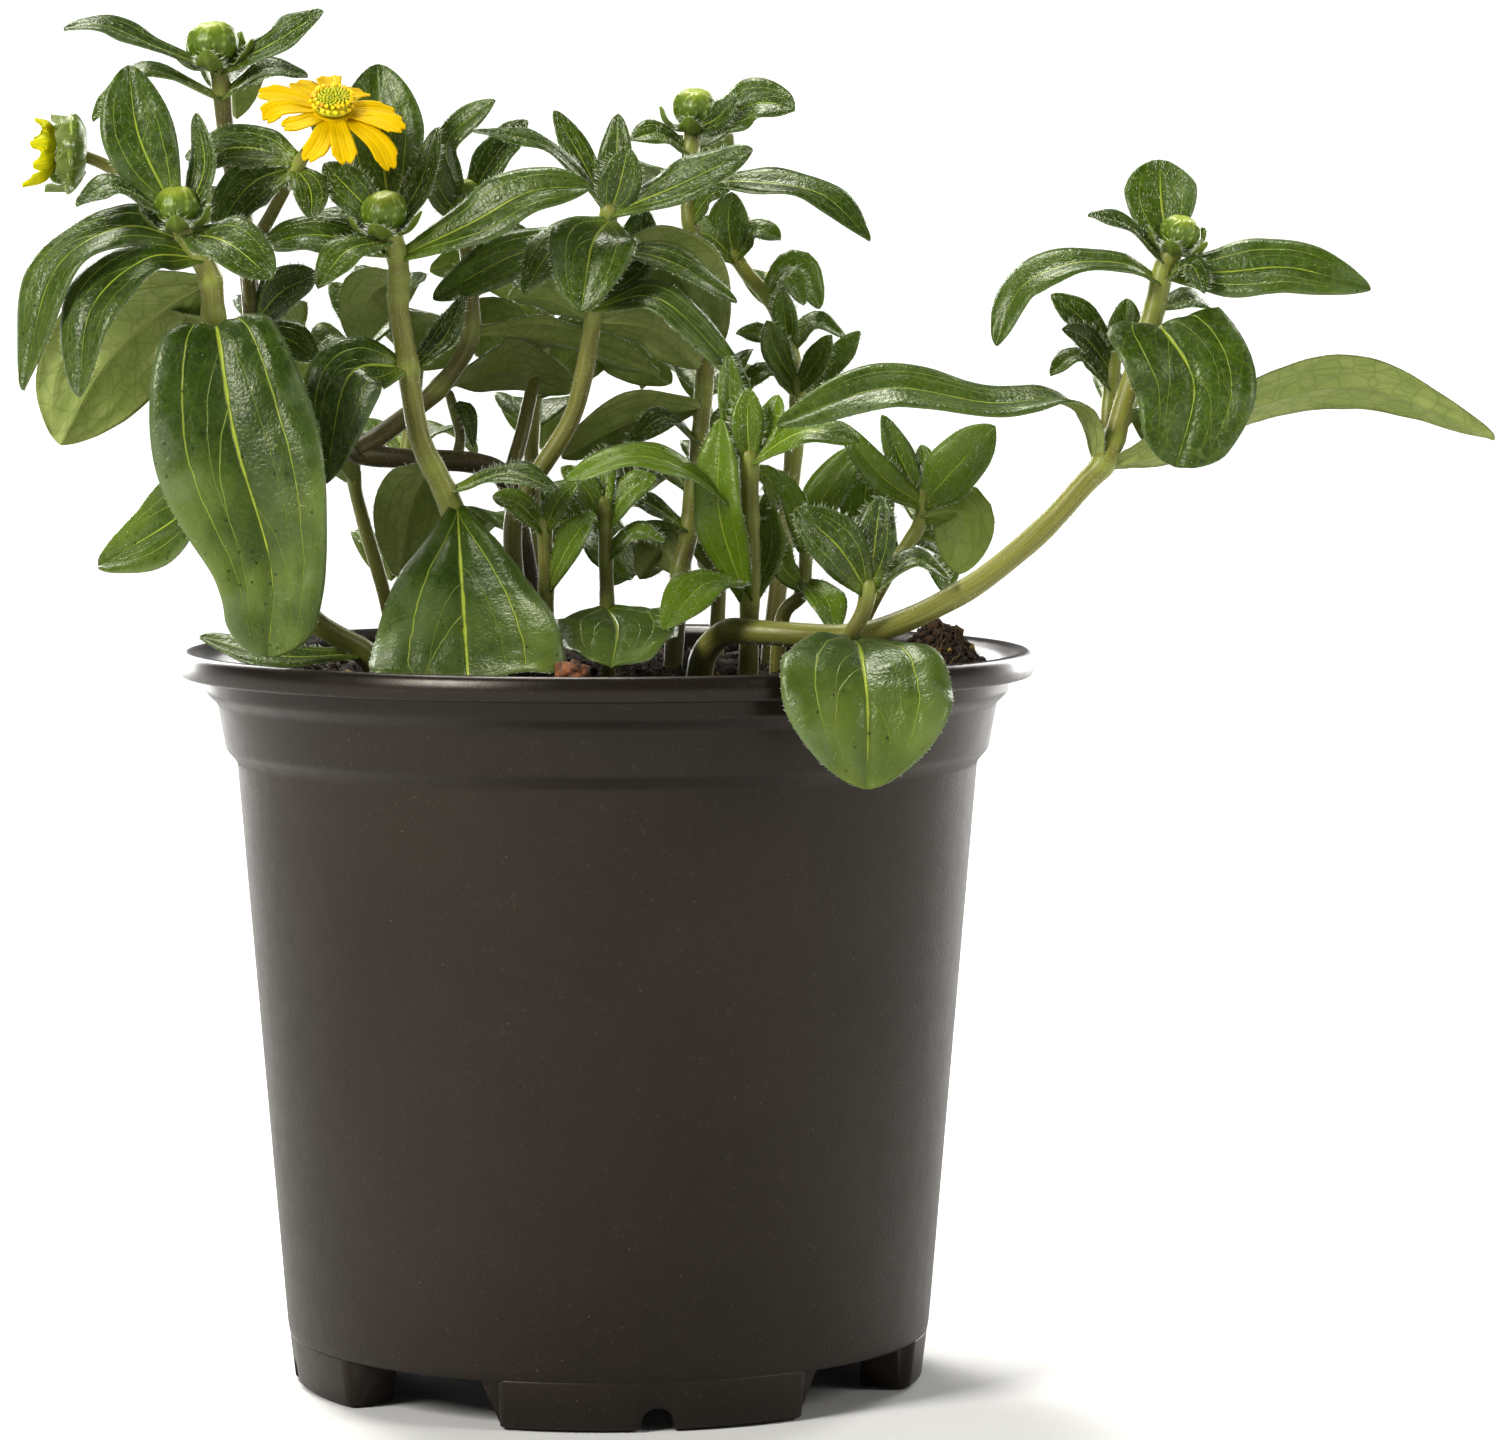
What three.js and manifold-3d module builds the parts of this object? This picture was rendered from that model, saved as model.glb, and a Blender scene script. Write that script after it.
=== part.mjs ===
// A potted creeping zinnia: a thin plastic nursery pot filled with peat, in which rooted leafy
// shoots stand, with one open yellow flower, one bloom that is still opening, and round buds.
// Millimetres, +Z up, and the front looks along -Y. The plant is built round the pot's axis, and
// then moved sideways, so that the origin lies on the ground under the middle of its whole width.
import * as THREE from 'three';
import { mergeVertices } from 'three/addons/utils/BufferGeometryUtils.js';
import Module from 'manifold-3d';

const wasm = await Module();
wasm.setup();

// Pot
const RIM_RADIUS = 65;
const POT_TOP = 111.4;
const FOOT_HEIGHT = 6.9;
const FLOOR_THICKNESS = 1.5;
const SKIRT_BOTTOM_RADIUS = 48.1;
const SKIRT_TOP_RADIUS = 48.9;
const SKIRT_THICKNESS = 6;
const FEET = 4;
const FOOT_TURN = 9.9;
const FOOT_ARC_BOTTOM = 57;
const FOOT_ARC_TOP = 64;
const NOTCH_WIDTH = 5;
const NOTCH_HEIGHT = 3.2;
const DRAIN_HOLES = 6;
const DRAIN_RADIUS = 4;
const DRAIN_CIRCLE = 38;
const POT_SIDES = 32;

// Clearance between pieces that rest on each other, and of a stem in its hole in the soil
const GAP = 0.4;

// How far the pot's axis stands to the left of the middle of the whole width
const POT_TO_MIDDLE = 23.4;

// Outside of the pot from its floor to its lip, then its inside down again, as [radius, height]
const POT_PROFILE = [
  [0, FOOT_HEIGHT], [SKIRT_TOP_RADIUS, FOOT_HEIGHT], [56.4, 94.5], [58.1, 96.5], [59.3, 103.4],
  [61, 105], [61.3, 108.9], [63.6, 108.8], [63.8, 107.5], [64.8, 107.6], [RIM_RADIUS, 109.4],
  [64.6, 110.8], [63.8, POT_TOP], [62.4, 111.1], [60.9, 109.9], [60.1, 108], [59.8, 105.9],
  [58.1, 104.3], [56.9, 97.3], [55.2, 95.3], [47.7, FOOT_HEIGHT + FLOOR_THICKNESS],
  [0, FOOT_HEIGHT + FLOOR_THICKNESS],
];

// Soil
const SOIL_TOP = 107.3;
const SOIL_RADIUS = 59.2;
const SOIL_SIDES = 24;
const SOIL_RINGS = 5;
const SOIL_SIDE = [[46.9, FOOT_HEIGHT + FLOOR_THICKNESS + GAP], [54.6, 95], [56.4, 97.4], [57.6, 104]];
const CLUMP = { x: 50.5, y: -6, radius: 8.5, height: 7.5 };
const BARK = { x: -4.5, y: -47, radius: 3.6, height: 2.6 };
const ROUGHNESS = [0.5, 0.35];

// Plant
const STEM_SIDES = 5;
const STEM_STEP = 14;
const BLADE = 1.1;
const FOLD = THREE.MathUtils.degToRad(12);
const PETIOLE = 2.4;
const BUD_SIDES = 8;
const BUD_PROFILE = [[0, -1], [0.62, -0.76], [0.97, -0.2], [0.93, 0.4], [0.55, 0.85], [0, 0.92]];

// Where a blade has its rings, finer on a longer one
const LEAF_SIZES = [
  { upTo: 12, shares: [0, 0.4, 0.78] },
  { upTo: 30, shares: [0, 0.25, 0.55, 0.85] },
  { upTo: 50, shares: [0, 0.2, 0.42, 0.66, 0.9] },
  { upTo: 200, shares: [0, 0.12, 0.25, 0.4, 0.55, 0.72, 0.9] },
];

// Forms of a few blades, as pairs of the place along the blade and its share of the width there.
// A draped one bends over its stem and hangs, with wide shoulders and a tongue
const DRAPED = [
  [0, 0.14], [0.12, 0.36], [0.25, 0.64], [0.36, 0.84], [0.45, 0.96], [0.54, 1], [0.64, 0.88],
  [0.73, 0.7], [0.86, 0.55], [0.95, 0.32], [1, 0],
];
const OVAL = [[0, 0.15], [0.12, 0.52], [0.3, 0.88], [0.5, 1], [0.72, 0.92], [0.88, 0.66], [1, 0]];

// Where the plant is looked at from. A point of the plant is [across, up, back]: where the eye
// sees it on the pot's middle plane, and how far behind that plane it is
const EYE = { x: 21.7, y: -900, z: 168.5 };

// Open flower and side bloom
const FLOWER_MIDDLE = [-41.4, 193, -27];
const FLOWER_LOOKS = new THREE.Vector3(0.04, -0.62, 0.78).normalize();
const BLOOM_SIDES = 10;
const DISC_PROFILE = [[0, 0], [3.4, 0], [3.4, 0.9], [2.6, 1.9], [1.4, 2.6], [0, 2.3]];
const FLORETS = 10;
const FLORET_CIRCLE = 2.7;
const FLORET_HEIGHT = 1.1;
const FLORET_PROFILE = [[0, -0.6], [0.6, 0.7], [0, 1.3]];
const CUP_PROFILE = [[0, -4.2], [1.6, -3.8], [3.1, -1.6], [3.2, 0], [0, 0]];
const HUB_RADIUS = 3.2;
const HUB_THICKNESS = 0.9;
const RAY_WIDTH = 4;
const RAY_THICKNESS = 0.8;
const RAY_NOTCH = 0.16;

// Where a ray has its rings, with its share of the full width there
const RAY_RINGS = [[0, 0.5], [0.35, 0.85], [0.75, 1], [1, 0.75]];

const SIDE_MIDDLE = [-82.4, 186.6, -19.4];
const SIDE_LOOKS = new THREE.Vector3(-1, -0.12, 0.08).normalize();
const SIDE_CUP_PROFILE = [[0, -3.6], [3, -3.3], [5.2, -1.8], [5.7, -0.4], [0, -0.4]];
const SIDE_HUB_PROFILE = [[0, 0], [3.4, 0], [3.4, 0.9], [0, 0.9]];
const SIDE_RAY_WIDTH = 4;
const SCALE_WIDTH = 5;
const SCALE_FOOT = 3;

// Shoot table
const SHOOTS = [
    // Stands at the left, with a round bud over two big hanging leaves
    ['left_shoot', [
        [1.7, 1.7, [[-33.5, 103, -12], [-37, 110.5, -14], [-45.2, 116, -19], [-52.5, 127, -23.5],
                    [-57.3, 143, -26.5], [-59.6, 160, -28], [-60.4, 168, -28.5],
                    [-63.5, 173.5, -30], [-65, 177, -31]]],
    ], [
        [[[-59.7, 158.6, -29], [-59.2, 159.6, -35.5], [-56.6, 143, -40.5], [-51.4, 124, -42],
          [-51.8, 109.9, -42.5]], 25.5, [-0.05, -0.2, 1], DRAPED, [-0.1, -1, -0.2]],
        [[[-65.6, 177.6, -31.2], [-70.9, 189, -31], [-72.4, 199.8, -29]], 11, [0.1, -1, 0.1], 0.5],
        [[[-64, 176.7, -30.5], [-61, 184.5, -30], [-62.3, 192.6, -29]], 6, [-0.7, -0.7, 0], 0.5],
        [[[-65.8, 176.8, -31.5], [-74.3, 181.4, -34], [-80.6, 178.7, -35.5]], 7, [0, -0.45, 0.9], 0.5],
        [[[-63.8, 174.5, -31], [-57.5, 173, -37], [-50.8, 167.5, -40.5]], 10.5, [0.2, -0.75, 0.65], 0.5],
        [[[-63, 173, -30], [-73.5, 175.4, -32], [-84, 168.6, -35], [-89, 150.6, -37]],
         10.5, [-0.6, -0.7, 0.45], 0.6],
        [[[-61.6, 170.8, -30], [-70, 170.6, -34], [-78.4, 163, -39], [-80.4, 149.6, -41]],
         11, [-0.55, -0.75, 0.35], 0.6],
        [[[-60.6, 167.5, -27], [-68.5, 162.5, -22], [-77, 154, -19], [-83.4, 142.5, -18]],
         21, [-0.3, 0.9, 0.3], 0.55],
        [[[-56.7, 141, -26], [-65, 131.8, -21], [-77.8, 124, -15]], 17, [-0.4, -0.65, 0.65], 0.5],
        [[[-37.6, 110.5, -14.5], [-50, 110.2, -21], [-62.3, 113.2, -17]], 7.5, [0, -0.5, 0.9], 0.55],
        [[[-59.8, 161.5, -26.5], [-62, 160, -15], [-63, 151, -6]], 15, [0, 0.5, 0.8], 0.45],
    ], [
        [[-65.2, 178.6, -31.3], 3.1, [-0.1, -0.3, 1]],
    ]],
    // Leans over to the left in a brown stem, then forks to the open flower, the side bloom,
    // the top left bud and a short stem in the middle
    ['leaning_shoot', [
        [1.75, 1.3, [[-9, 103, 10], [-10.5, 112, 10], [-13, 127, 8], [-15.2, 136.5, 5],
                     [-20, 139.5, 3], [-30, 140.2, 0], [-39, 141.4, -4], [-44.5, 146.5, -7],
                     [-50, 154, -9], [-53.5, 160.5, -10], [-54.2, 166, -10], [-55.2, 176, -10],
                     [-57.5, 188, -12], [-58.6, 198.5, -13], [-59.3, 201, -13]]],
        [1.6, 1.1, [[-38.5, 141.4, -4], [-34.6, 143.7, -2], [-30, 147.2, -1], [-25.2, 151.4, -1],
                    [-21, 157.8, -2], [-20.7, 165, -3], [-21.3, 174, -4], [-21.5, 179, -4]]],
        [1.1, 0.9, [[-54, 163, -10], [-54.2, 170.5, -13], [-50.5, 178, -18], [-46, 186, -23],
                    [-42.5, 190.2, -26]]],
        [1, 0.85, [[-54.4, 168, -10], [-62, 175.5, -14], [-68, 179.5, -16.5], [-75.3, 184.3, -18.5],
                   [-79, 186, -19]]],
        [1.2, 0.9, [[-15, 137, 5], [-13, 144, 8], [-11.6, 150, 10], [-9.5, 158, 13],
                    [-8.8, 165, 14]]],
        [0.9, 0.7, [[-23, 140, 2.6], [-22.4, 144, 4], [-24, 150, 5]]],
    ], [
        [[[-59, 199, -13.5], [-68.3, 202.6, -17], [-76, 205.8, -19], [-82.2, 205.3, -20]],
         7, [0, -0.45, 0.9], 0.5],
        [[[-58.4, 199, -13.5], [-50, 203.4, -16], [-42.9, 208, -17]], 7, [-0.5, -0.65, 0.6], 0.6],
        [[[-58.6, 195, -13.5], [-70, 198.9, -18], [-78, 191.5, -21]], 7, [-0.2, -0.4, 0.9], 0.5],
        [[[-58.2, 195, -13.5], [-51.5, 199, -15], [-45.2, 198.2, -15]], 6, [0, -0.5, 0.85], 0.5],
        [[[-58.2, 196, -12], [-56.5, 199, -3], [-56, 192, 6]], 10, [0, 0.5, 0.9], 0.45],
        [[[-46.8, 185.4, -22], [-55, 187.4, -19], [-64, 186, -16.5]], 9, [0, -0.75, 0.65], 0.5],
        [[[-46.9, 184.6, -22], [-54, 181.8, -20.5], [-59.5, 174.5, -19.5]], 9, [-0.3, -0.9, 0.3], 0.5],
        [[[-47, 184, -22], [-45, 181, -25.5], [-44.8, 176.5, -27]], 5.5, [0.2, -0.9, 0.3], 0.5],
        [[[-53.5, 161, -10.5], [-49.5, 165.5, -14], [-44, 168.3, -16]], 8, [-0.5, -0.8, 0.3], 0.5],
        [[[-53.2, 159.6, -10.5], [-48.5, 158.4, -14], [-44, 155.3, -15.5]], 6, [-0.3, -0.8, 0.5], 0.5],
        [[[-53.6, 161, -9], [-51, 164, 0], [-48, 158, 8]], 11, [0.1, 0.4, 0.9], 0.45],
        [[[-55.3, 177, -9], [-58, 181, -1], [-61, 176, 7]], 10, [-0.1, 0.4, 0.9], 0.45],
        [[[-21, 179, -3.5], [-17, 186, -3], [-12, 191.5, -3]], 7, [-0.6, -0.75, 0.2], 0.5],
        [[[-21.9, 179, -4], [-24.2, 188, -6], [-17, 194.6, -8]], 6.5, [-0.7, -0.65, 0.2], 0.5],
        [[[-21.9, 176, -5], [-25.5, 181.5, -7.5], [-27, 188, -8.5]], 5.5, [0.4, -0.9, 0.2], 0.5],
        [[[-20.3, 160, -1], [-7, 158.5, 2], [8, 153.2, 3.5]], 16, [0, 0.3, 1], 0.5],
        [[[-21, 160.4, -2.4], [-27, 161.5, 8], [-30, 155, 15]], 12, [-0.1, 0.4, 0.9], 0.45],
        [[[-25.4, 151.4, 0], [-16.5, 154, 8], [-5, 150.5, 13]], 15, [0, 0.55, 0.8], 0.5],
        [[[-21, 172, -3], [-17, 175, 5], [-15, 169, 12]], 10, [0.1, 0.4, 0.9], 0.45],
        [[[-9.4, 163, 14.5], [-15.5, 168, 17], [-20, 165, 19]], 8, [-0.1, 0, 1], 0.45],
        [[[-8.4, 163, 14.5], [-2.5, 168.5, 18], [2.5, 166, 22]], 8, [0.1, 0.2, 1], 0.45],
        [[[-8.9, 164.2, 14], [-9.5, 170.5, 18], [-11.5, 173.5, 22]], 7, [0, -0.4, 0.9], 0.45],
        [[[-23.2, 147, 4.8], [-21.5, 147.5, 3.5], [-20.3, 142, 3.2]], 3, [0.5, -0.8, 0.2], 0.5],
    ], [
        [[-59.6, 203.2, -13.2], 3.5, [-0.1, -0.2, 1]],
        [[-21.6, 180.7, -4.2], 2.1, [0, -0.2, 1]],
    ]],
    // Stands in front of it, with the broad leaf that lies down to the soil
    ['middle_left_shoot', [
        [1.8, 1.5, [[-20.5, 103, -19], [-21.3, 115, -19], [-22.3, 126, -18.5], [-24.2, 134, -18],
                    [-28.3, 142.7, -18], [-29.8, 150.3, -18], [-30.4, 155, -18.2],
                    [-31.7, 163.3, -19], [-31.7, 170, -20], [-33.3, 176, -21.5]]],
    ], [
        [[[-32.6, 175, -20.5], [-34.2, 188, -14], [-34.8, 200, -10]], 13.6, [-0.1, -1, 0.1], 0.55],
        [[[-31.2, 171, -20.5], [-20.6, 176, -24.5], [-11.5, 180.8, -26], [-2.3, 181.5, -26]],
         9.5, [0, -0.8, 0.55], 0.5],
        [[[-33.8, 175.6, -21.5], [-39, 181, -23], [-42.9, 185, -22.5]], 6.5, [0.3, -0.95, 0.1], 0.5],
        [[[-32.7, 174.6, -20.5], [-28.3, 182, -19.5], [-25.6, 190.5, -17]], 5, [-0.5, -0.85, 0.1], 0.5],
        [[[-33, 173.4, -21.5], [-39.5, 171.7, -27], [-44, 166.2, -30]], 6.5, [-0.1, -0.7, 0.7], 0.5],
        [[[-32, 168, -19], [-36, 165, -14], [-38, 157.5, -11]], 9, [-0.1, 0.95, 0.3], 0.5],
        [[[-32.2, 171.5, -20.5], [-44, 174.2, -22.5], [-52.5, 172.6, -24]], 7.5, [0, -0.75, 0.65], 0.5],
        [[[-32.6, 174.4, -20.5], [-40, 177.2, -20], [-46.4, 176, -19.6]], 4.5, [0, -0.5, 0.85], 0.5],
        [[[-30, 153.6, -17.5], [-24.8, 158.5, -13.5], [-21.8, 165, -12]], 5.5, [-0.6, -0.75, 0.2], 0.5],
        [[[-30.6, 154.4, -18.5], [-39.3, 152.8, -23.5], [-43, 136.5, -26]], 13, [-0.35, -0.85, 0.4], 0.5],
        [[[-22.9, 133, -19.5], [-22.2, 121, -33], [-21.4, 108.4, -45], [-21, 105.6, -51.5]],
         29, [0, -0.75, 0.65], 0.68],
        [[[-23.4, 135.5, -18.5], [-15, 138, -22], [-7.5, 135.3, -25]], 6, [0, -0.5, 0.85], 0.5],
        [[[-26.6, 139.5, -16.5], [-29.8, 133, -10], [-31.6, 122, -6.5]], 11.5, [0, 1, 0.2], 0.5],
        [[[-31.9, 165.5, -17.5], [-33, 168, -7], [-34, 161, 1]], 11, [0, 0.5, 0.85], 0.45],
    ], [
        [[-33.8, 177.8, -22], 3.2, [-0.1, -0.35, 1]],
    ]],
    // Stands in the middle, with a glossy leaf hanging in front
    ['middle_shoot', [
        [1.5, 1.3, [[-12.5, 103, -3], [-13.5, 115, -4], [-14.4, 130, -5], [-11.6, 136.4, -6],
                    [-5.8, 145.6, -7], [-3.6, 152.8, -8], [-2.3, 160, -8.5], [-0.7, 170, -9],
                    [0.3, 178, -10]]],
    ], [
        [[[0.3, 177, -10.2], [2, 182, -12], [3.2, 187.5, -12.5]], 6.5, [0.1, -1, 0.1], 0.5],
        [[[0.4, 178, -9.7], [1.4, 186, -9.5], [1.7, 192.5, -8.5]], 5.5, [-0.3, -1, 0.1], 0.4],
        [[[0.6, 177.5, -10.5], [11, 181.8, -13.5], [22.1, 187.2, -14.5]], 8, [-0.2, -0.75, 0.6], 0.6],
        [[[0, 178.5, -9.5], [-9, 187.4, -14], [-20.2, 190, -16]], 6, [0, -0.45, 0.9], 0.5],
        [[[0, 178.5, -9], [-4.4, 186.6, -6], [-8, 193, -4.5]], 4.5, [0.4, -0.9, 0.1], 0.5],
        [[[0.3, 176.5, -11], [-2.3, 172.5, -18.5], [-4, 162.5, -21.5]], 13, [0, -0.9, 0.45], 0.45],
        [[[-0.2, 175.5, -10.5], [-7.5, 173, -14.5], [-12.7, 165.3, -17]], 8, [-0.35, -0.7, 0.6], 0.5],
        [[[-1.8, 163.2, -9.5], [8.5, 164.2, -16], [21.8, 150.8, -19.5]], 7, [0.2, -0.7, 0.65], 0.5],
        [[[0, 172.5, -9.8], [10, 170, -11], [19.8, 164, -11]], 6.5, [0.1, -0.5, 0.85], 0.5],
        [[[0, 172, -8], [10, 169, -3], [17, 157, -1]], 15, [0.2, 0.85, 0.5], 0.5],
        [[[-2.4, 161.4, -8.5], [-8.5, 164.6, -9], [-15, 165, -9]], 8, [0, 0.6, 0.8], 0.5],
        [[[-1.8, 161.4, -8.5], [7, 160.2, -8], [14, 154, -7]], 10, [0, 0.75, 0.65], 0.5],
        [[[0.4, 178, -9], [3.5, 182, -1], [5, 178, 6]], 8, [0.1, 0.4, 0.9], 0.45],
        [[[-0.4, 173.5, -10], [-13, 171.5, -10.5], [-26.5, 164.5, -9]], 8, [0.2, -0.8, 0.5], 0.6],
        [[[-1.2, 164.5, -8.2], [4.2, 171, -5], [5.5, 178.5, -3.5]], 7, [0, -1, 0.1], 0.5],
    ], []],
    // Stands behind it and reaches the bud at the top of the middle
    ['back_shoot', [
        [1.5, 1.2, [[9.5, 103, 5], [11, 122, 7], [12.2, 128, 7.5], [13.8, 141, 8.5],
                    [14.5, 148.7, 9], [14.9, 156.3, 9.5], [14, 168, 11], [12.4, 178, 12.5],
                    [12.6, 186, 13.5], [13.2, 191, 14]]],
    ], [
        [[[13.4, 189.5, 12.8], [18, 192, 11], [23.3, 194.2, 9], [28.5, 193.2, 7]],
         9.5, [-0.1, -0.75, 0.65], 0.55],
        [[[13.4, 190, 12.8], [17, 192, 9], [19.9, 195, 7.5]], 4.5, [-0.3, -0.8, 0.4], 0.5],
        [[[12.8, 182, 12.5], [22, 182.2, 9], [32.4, 180.4, 6], [40, 173.4, 3]],
         8, [0, -0.5, 0.85], 0.5],
        [[[12.7, 176, 12], [15.5, 180, 9.5], [18.5, 181, 7.5]], 4.5, [-0.2, -0.7, 0.6], 0.5],
        [[[12.6, 186.5, 13], [8, 189.4, 10], [3.5, 188.6, 8]], 6, [0.1, -0.6, 0.75], 0.5],
        [[[12.6, 182.4, 14.5], [5, 184, 22], [1, 177, 28]], 11, [-0.2, 0.4, 0.9], 0.45],
        [[[13, 187, 14.8], [14.5, 188.5, 23], [16, 181, 30]], 10, [0.1, 0.5, 0.9], 0.45],
        [[[14.2, 148.4, 8], [3.5, 146, 8], [-7, 140.5, 9]], 10, [0.1, 0.75, 0.65], 0.5],
        [[[13.6, 143, 8], [8.5, 146.5, 4], [2.6, 141.6, 1]], 5, [0, -0.5, 0.85], 0.5],
        [[[12.2, 129.5, 7], [4, 134, 4.5], [-4.2, 130, 2.5]], 7, [0, -0.45, 0.9], 0.5],
        [[[11.1, 123, 7.5], [8.2, 126.6, 9], [4.8, 122, 10]], 7, [0, 0.9, 0.4], 0.5],
        [[[14.6, 151, 10.5], [16, 155, 20], [14, 149, 28]], 13, [-0.1, 0.4, 0.9], 0.45],
        [[[12.8, 135, 9.2], [8, 139.5, 18], [3, 134, 26]], 13, [-0.1, 0.4, 0.9], 0.45],
    ], [
        [[13.4, 193.4, 14], 3.2, [0.1, -0.3, 1]],
    ]],
    // Two short stems near the middle of the front
    ['short_shoot_right', [
        [1.1, 1, [[0.2, 103, -10], [-0.1, 119.2, -11], [-0.4, 128.6, -12], [-0.5, 133.5, -12.5]]],
    ], [
        [[[-0.1, 117.6, -11.8], [1.4, 114.4, -26], [0.6, 108.8, -41]], 18.8, [0, -0.4, 0.95], OVAL],
        [[[-0.6, 130, -12.3], [-3.2, 135.5, -13.5], [-7, 139, -14]], 5, [0.5, -0.85, 0.1], 0.5],
        [[[-0.3, 130, -12], [3.4, 135.5, -12.5], [7.5, 137.5, -12.5]], 5, [-0.4, -0.85, 0.3], 0.5],
        [[[-0.5, 132.6, -12.5], [-0.9, 138, -11.5], [0.4, 142, -10.5]], 4.5, [0, -1, 0.1], 0.5],
        [[[-0.2, 125, -11.5], [4, 129, -12.5], [8.8, 127.5, -13]], 5, [0, -0.5, 0.85], 0.5],
    ], []],
    ['short_shoot_left', [
        [1.3, 1.1, [[-9.6, 103, -12], [-9.4, 120, -13], [-9.6, 131, -13.6]]],
    ], [
        [[[-9.1, 120.5, -13.6], [-5.6, 127.5, -17], [-2, 132, -18.5]], 6, [-0.4, -0.75, 0.5], 0.5],
        [[[-9.5, 129.5, -14.2], [-7.4, 134, -16.5], [-4.4, 137, -18]], 4.5, [-0.4, -0.85, 0.3], 0.5],
        [[[-9.8, 129.5, -14.2], [-13.6, 133.4, -15], [-17.5, 134.6, -14.6]], 5, [0.1, -0.7, 0.7], 0.5],
    ], []],
    // Stands at the right of the middle, lime green at the top
    ['middle_right_shoot', [
        [1.5, 1.4, [[21.4, 103, -18], [21.6, 116.7, -19.6], [21.8, 125.8, -21], [21.6, 132, -22],
                    [21.6, 140.6, -23]]],
    ], [
        [[[21, 131.5, -22.6], [12, 138.4, -28], [3.5, 140.6, -30.5], [-6.3, 137, -32]],
         8, [0, -0.5, 0.9], 0.6],
        [[[21.6, 140, -23.6], [21.3, 145.5, -25], [21.5, 151, -24.5]], 5, [0.1, -1, 0.1], 0.5],
        [[[21.9, 140, -23.2], [24.6, 145.5, -23], [26, 150, -22]], 5, [-0.5, -0.85, 0.1], 0.5],
        [[[22, 139.8, -23.6], [30, 144.4, -27.5], [38.3, 142.8, -30]], 7.5, [0, -0.6, 0.8], 0.5],
        [[[21.3, 140.2, -22.6], [18.9, 148, -21.6], [18.5, 156, -20]], 5, [0.5, -0.85, 0.1], 0.5],
        [[[21.1, 118.5, -20.8], [17, 132, -24.5], [17.2, 146.5, -23.5]], 8.5, [-0.45, -0.85, 0.1], 0.5],
        [[[22.2, 119, -19.4], [25, 127, -18.4], [24, 135, -19]], 5, [-0.5, -0.85, 0.1], 0.5],
        [[[22.2, 138.4, -22], [24.7, 137, -20.5], [25.3, 132.6, -20]], 3.5, [0.3, -0.8, 0.3], 0.5],
        [[[21, 121.5, -21.5], [14.5, 121, -30], [8.5, 114.2, -35.5]], 9, [-0.2, -0.65, 0.75], 0.5],
        [[[22, 130.6, -20.8], [23.5, 134.5, -10], [22.5, 130, -2]], 8, [0.1, 0.4, 0.9], 0.45],
    ], []],
    ['small_right_shoot', [
        [1.2, 1, [[25.5, 103, -9], [26.6, 115.8, -11], [29.6, 119.8, -12], [30.4, 127, -12.5]]],
    ], [
        [[[30.2, 126.4, -12.7], [28.6, 132.6, -15], [25.9, 138.6, -16]], 4.5, [0.5, -0.85, 0.1], 0.5],
        [[[30.5, 126.6, -12.5], [33.2, 135, -12], [39, 142.4, -12]], 7, [-0.5, -0.85, 0.1], 0.5],
        [[[29.8, 120.6, -12.6], [26.5, 124.2, -15.5], [25.8, 130, -16.5]], 4.5, [0.3, -0.9, 0.3], 0.5],
        [[[30, 121.5, -12.6], [33.2, 119, -17], [34.8, 113.8, -19.5]], 6, [0.2, -0.7, 0.6], 0.5],
        [[[30.2, 126, -11.6], [31.5, 130.5, -4], [31, 126, 3]], 8, [0, 0.4, 0.9], 0.45],
    ], []],
    // A small shoot at the right, with two round ended leaves
    ['right_shoot', [
        [1.2, 0.95, [[34.5, 103, -6], [38.5, 114.4, -8.5], [42.9, 123, -11], [47.3, 129.8, -12],
                     [48, 135, -12.5]]],
    ], [
        [[[47.9, 133.2, -12.9], [52.2, 138, -15], [58.9, 145.2, -17]], 8.8, [-0.4, -0.9, 0.1], 0.6],
        [[[47.7, 131.4, -12.6], [53.8, 132, -14], [53.6, 122.6, -15]], 9.6, [0.1, 0.95, 0.2], 0.6],
        [[[47.6, 133.4, -13], [41.5, 137.8, -16.5], [34.9, 146, -19]], 5, [0.3, -0.9, 0.1], 0.5],
        [[[47.8, 134, -12.6], [44.7, 140, -13], [41.8, 146.9, -13]], 5, [0.5, -0.85, 0.1], 0.5],
        [[[48, 134.6, -12.5], [48.4, 139, -11.5], [47.8, 142.4, -11]], 3.5, [0, -1, 0.1], 0.5],
        [[[43.4, 124.4, -10.4], [39.4, 132, -7.5], [40, 140.4, -5.5]], 9, [0.3, -0.95, 0.1], 0.55],
        [[[46.4, 128.2, -11.2], [50.4, 127, -8], [51.8, 119.6, -6]], 7, [0.2, -0.7, 0.6], 0.5],
        [[[47.5, 131, -11.4], [48.8, 135.6, -2], [48, 130, 5.5]], 9, [0, 0.4, 0.9], 0.45],
    ], []],
    // Creeps from the soil to the right and arches up, its first leaf hangs over the rim
    ['arching_shoot', [
        [2, 1.5, [[13.6, 103, -20], [14.6, 110.2, -22], [18, 113.7, -25], [22.7, 113.8, -28],
                  [30.4, 113.3, -30.5], [38, 113.2, -31], [45, 115.4, -31], [51.3, 118.4, -30.5],
                  [57.6, 122.2, -30], [66.1, 129.3, -28.5], [72.4, 136.2, -27.5],
                  [75.4, 139.4, -27], [77, 143, -26.6], [78.8, 149.4, -26], [81.4, 157, -25.5],
                  [83.2, 163.2, -25], [84.6, 169.5, -24.5], [86.6, 172.6, -24.5]]],
        [1.25, 1.15, [[36.6, 112.6, -31], [37.3, 113.8, -33.4], [39, 117, -34.2], [39.9, 121, -34.5]]],
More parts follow.
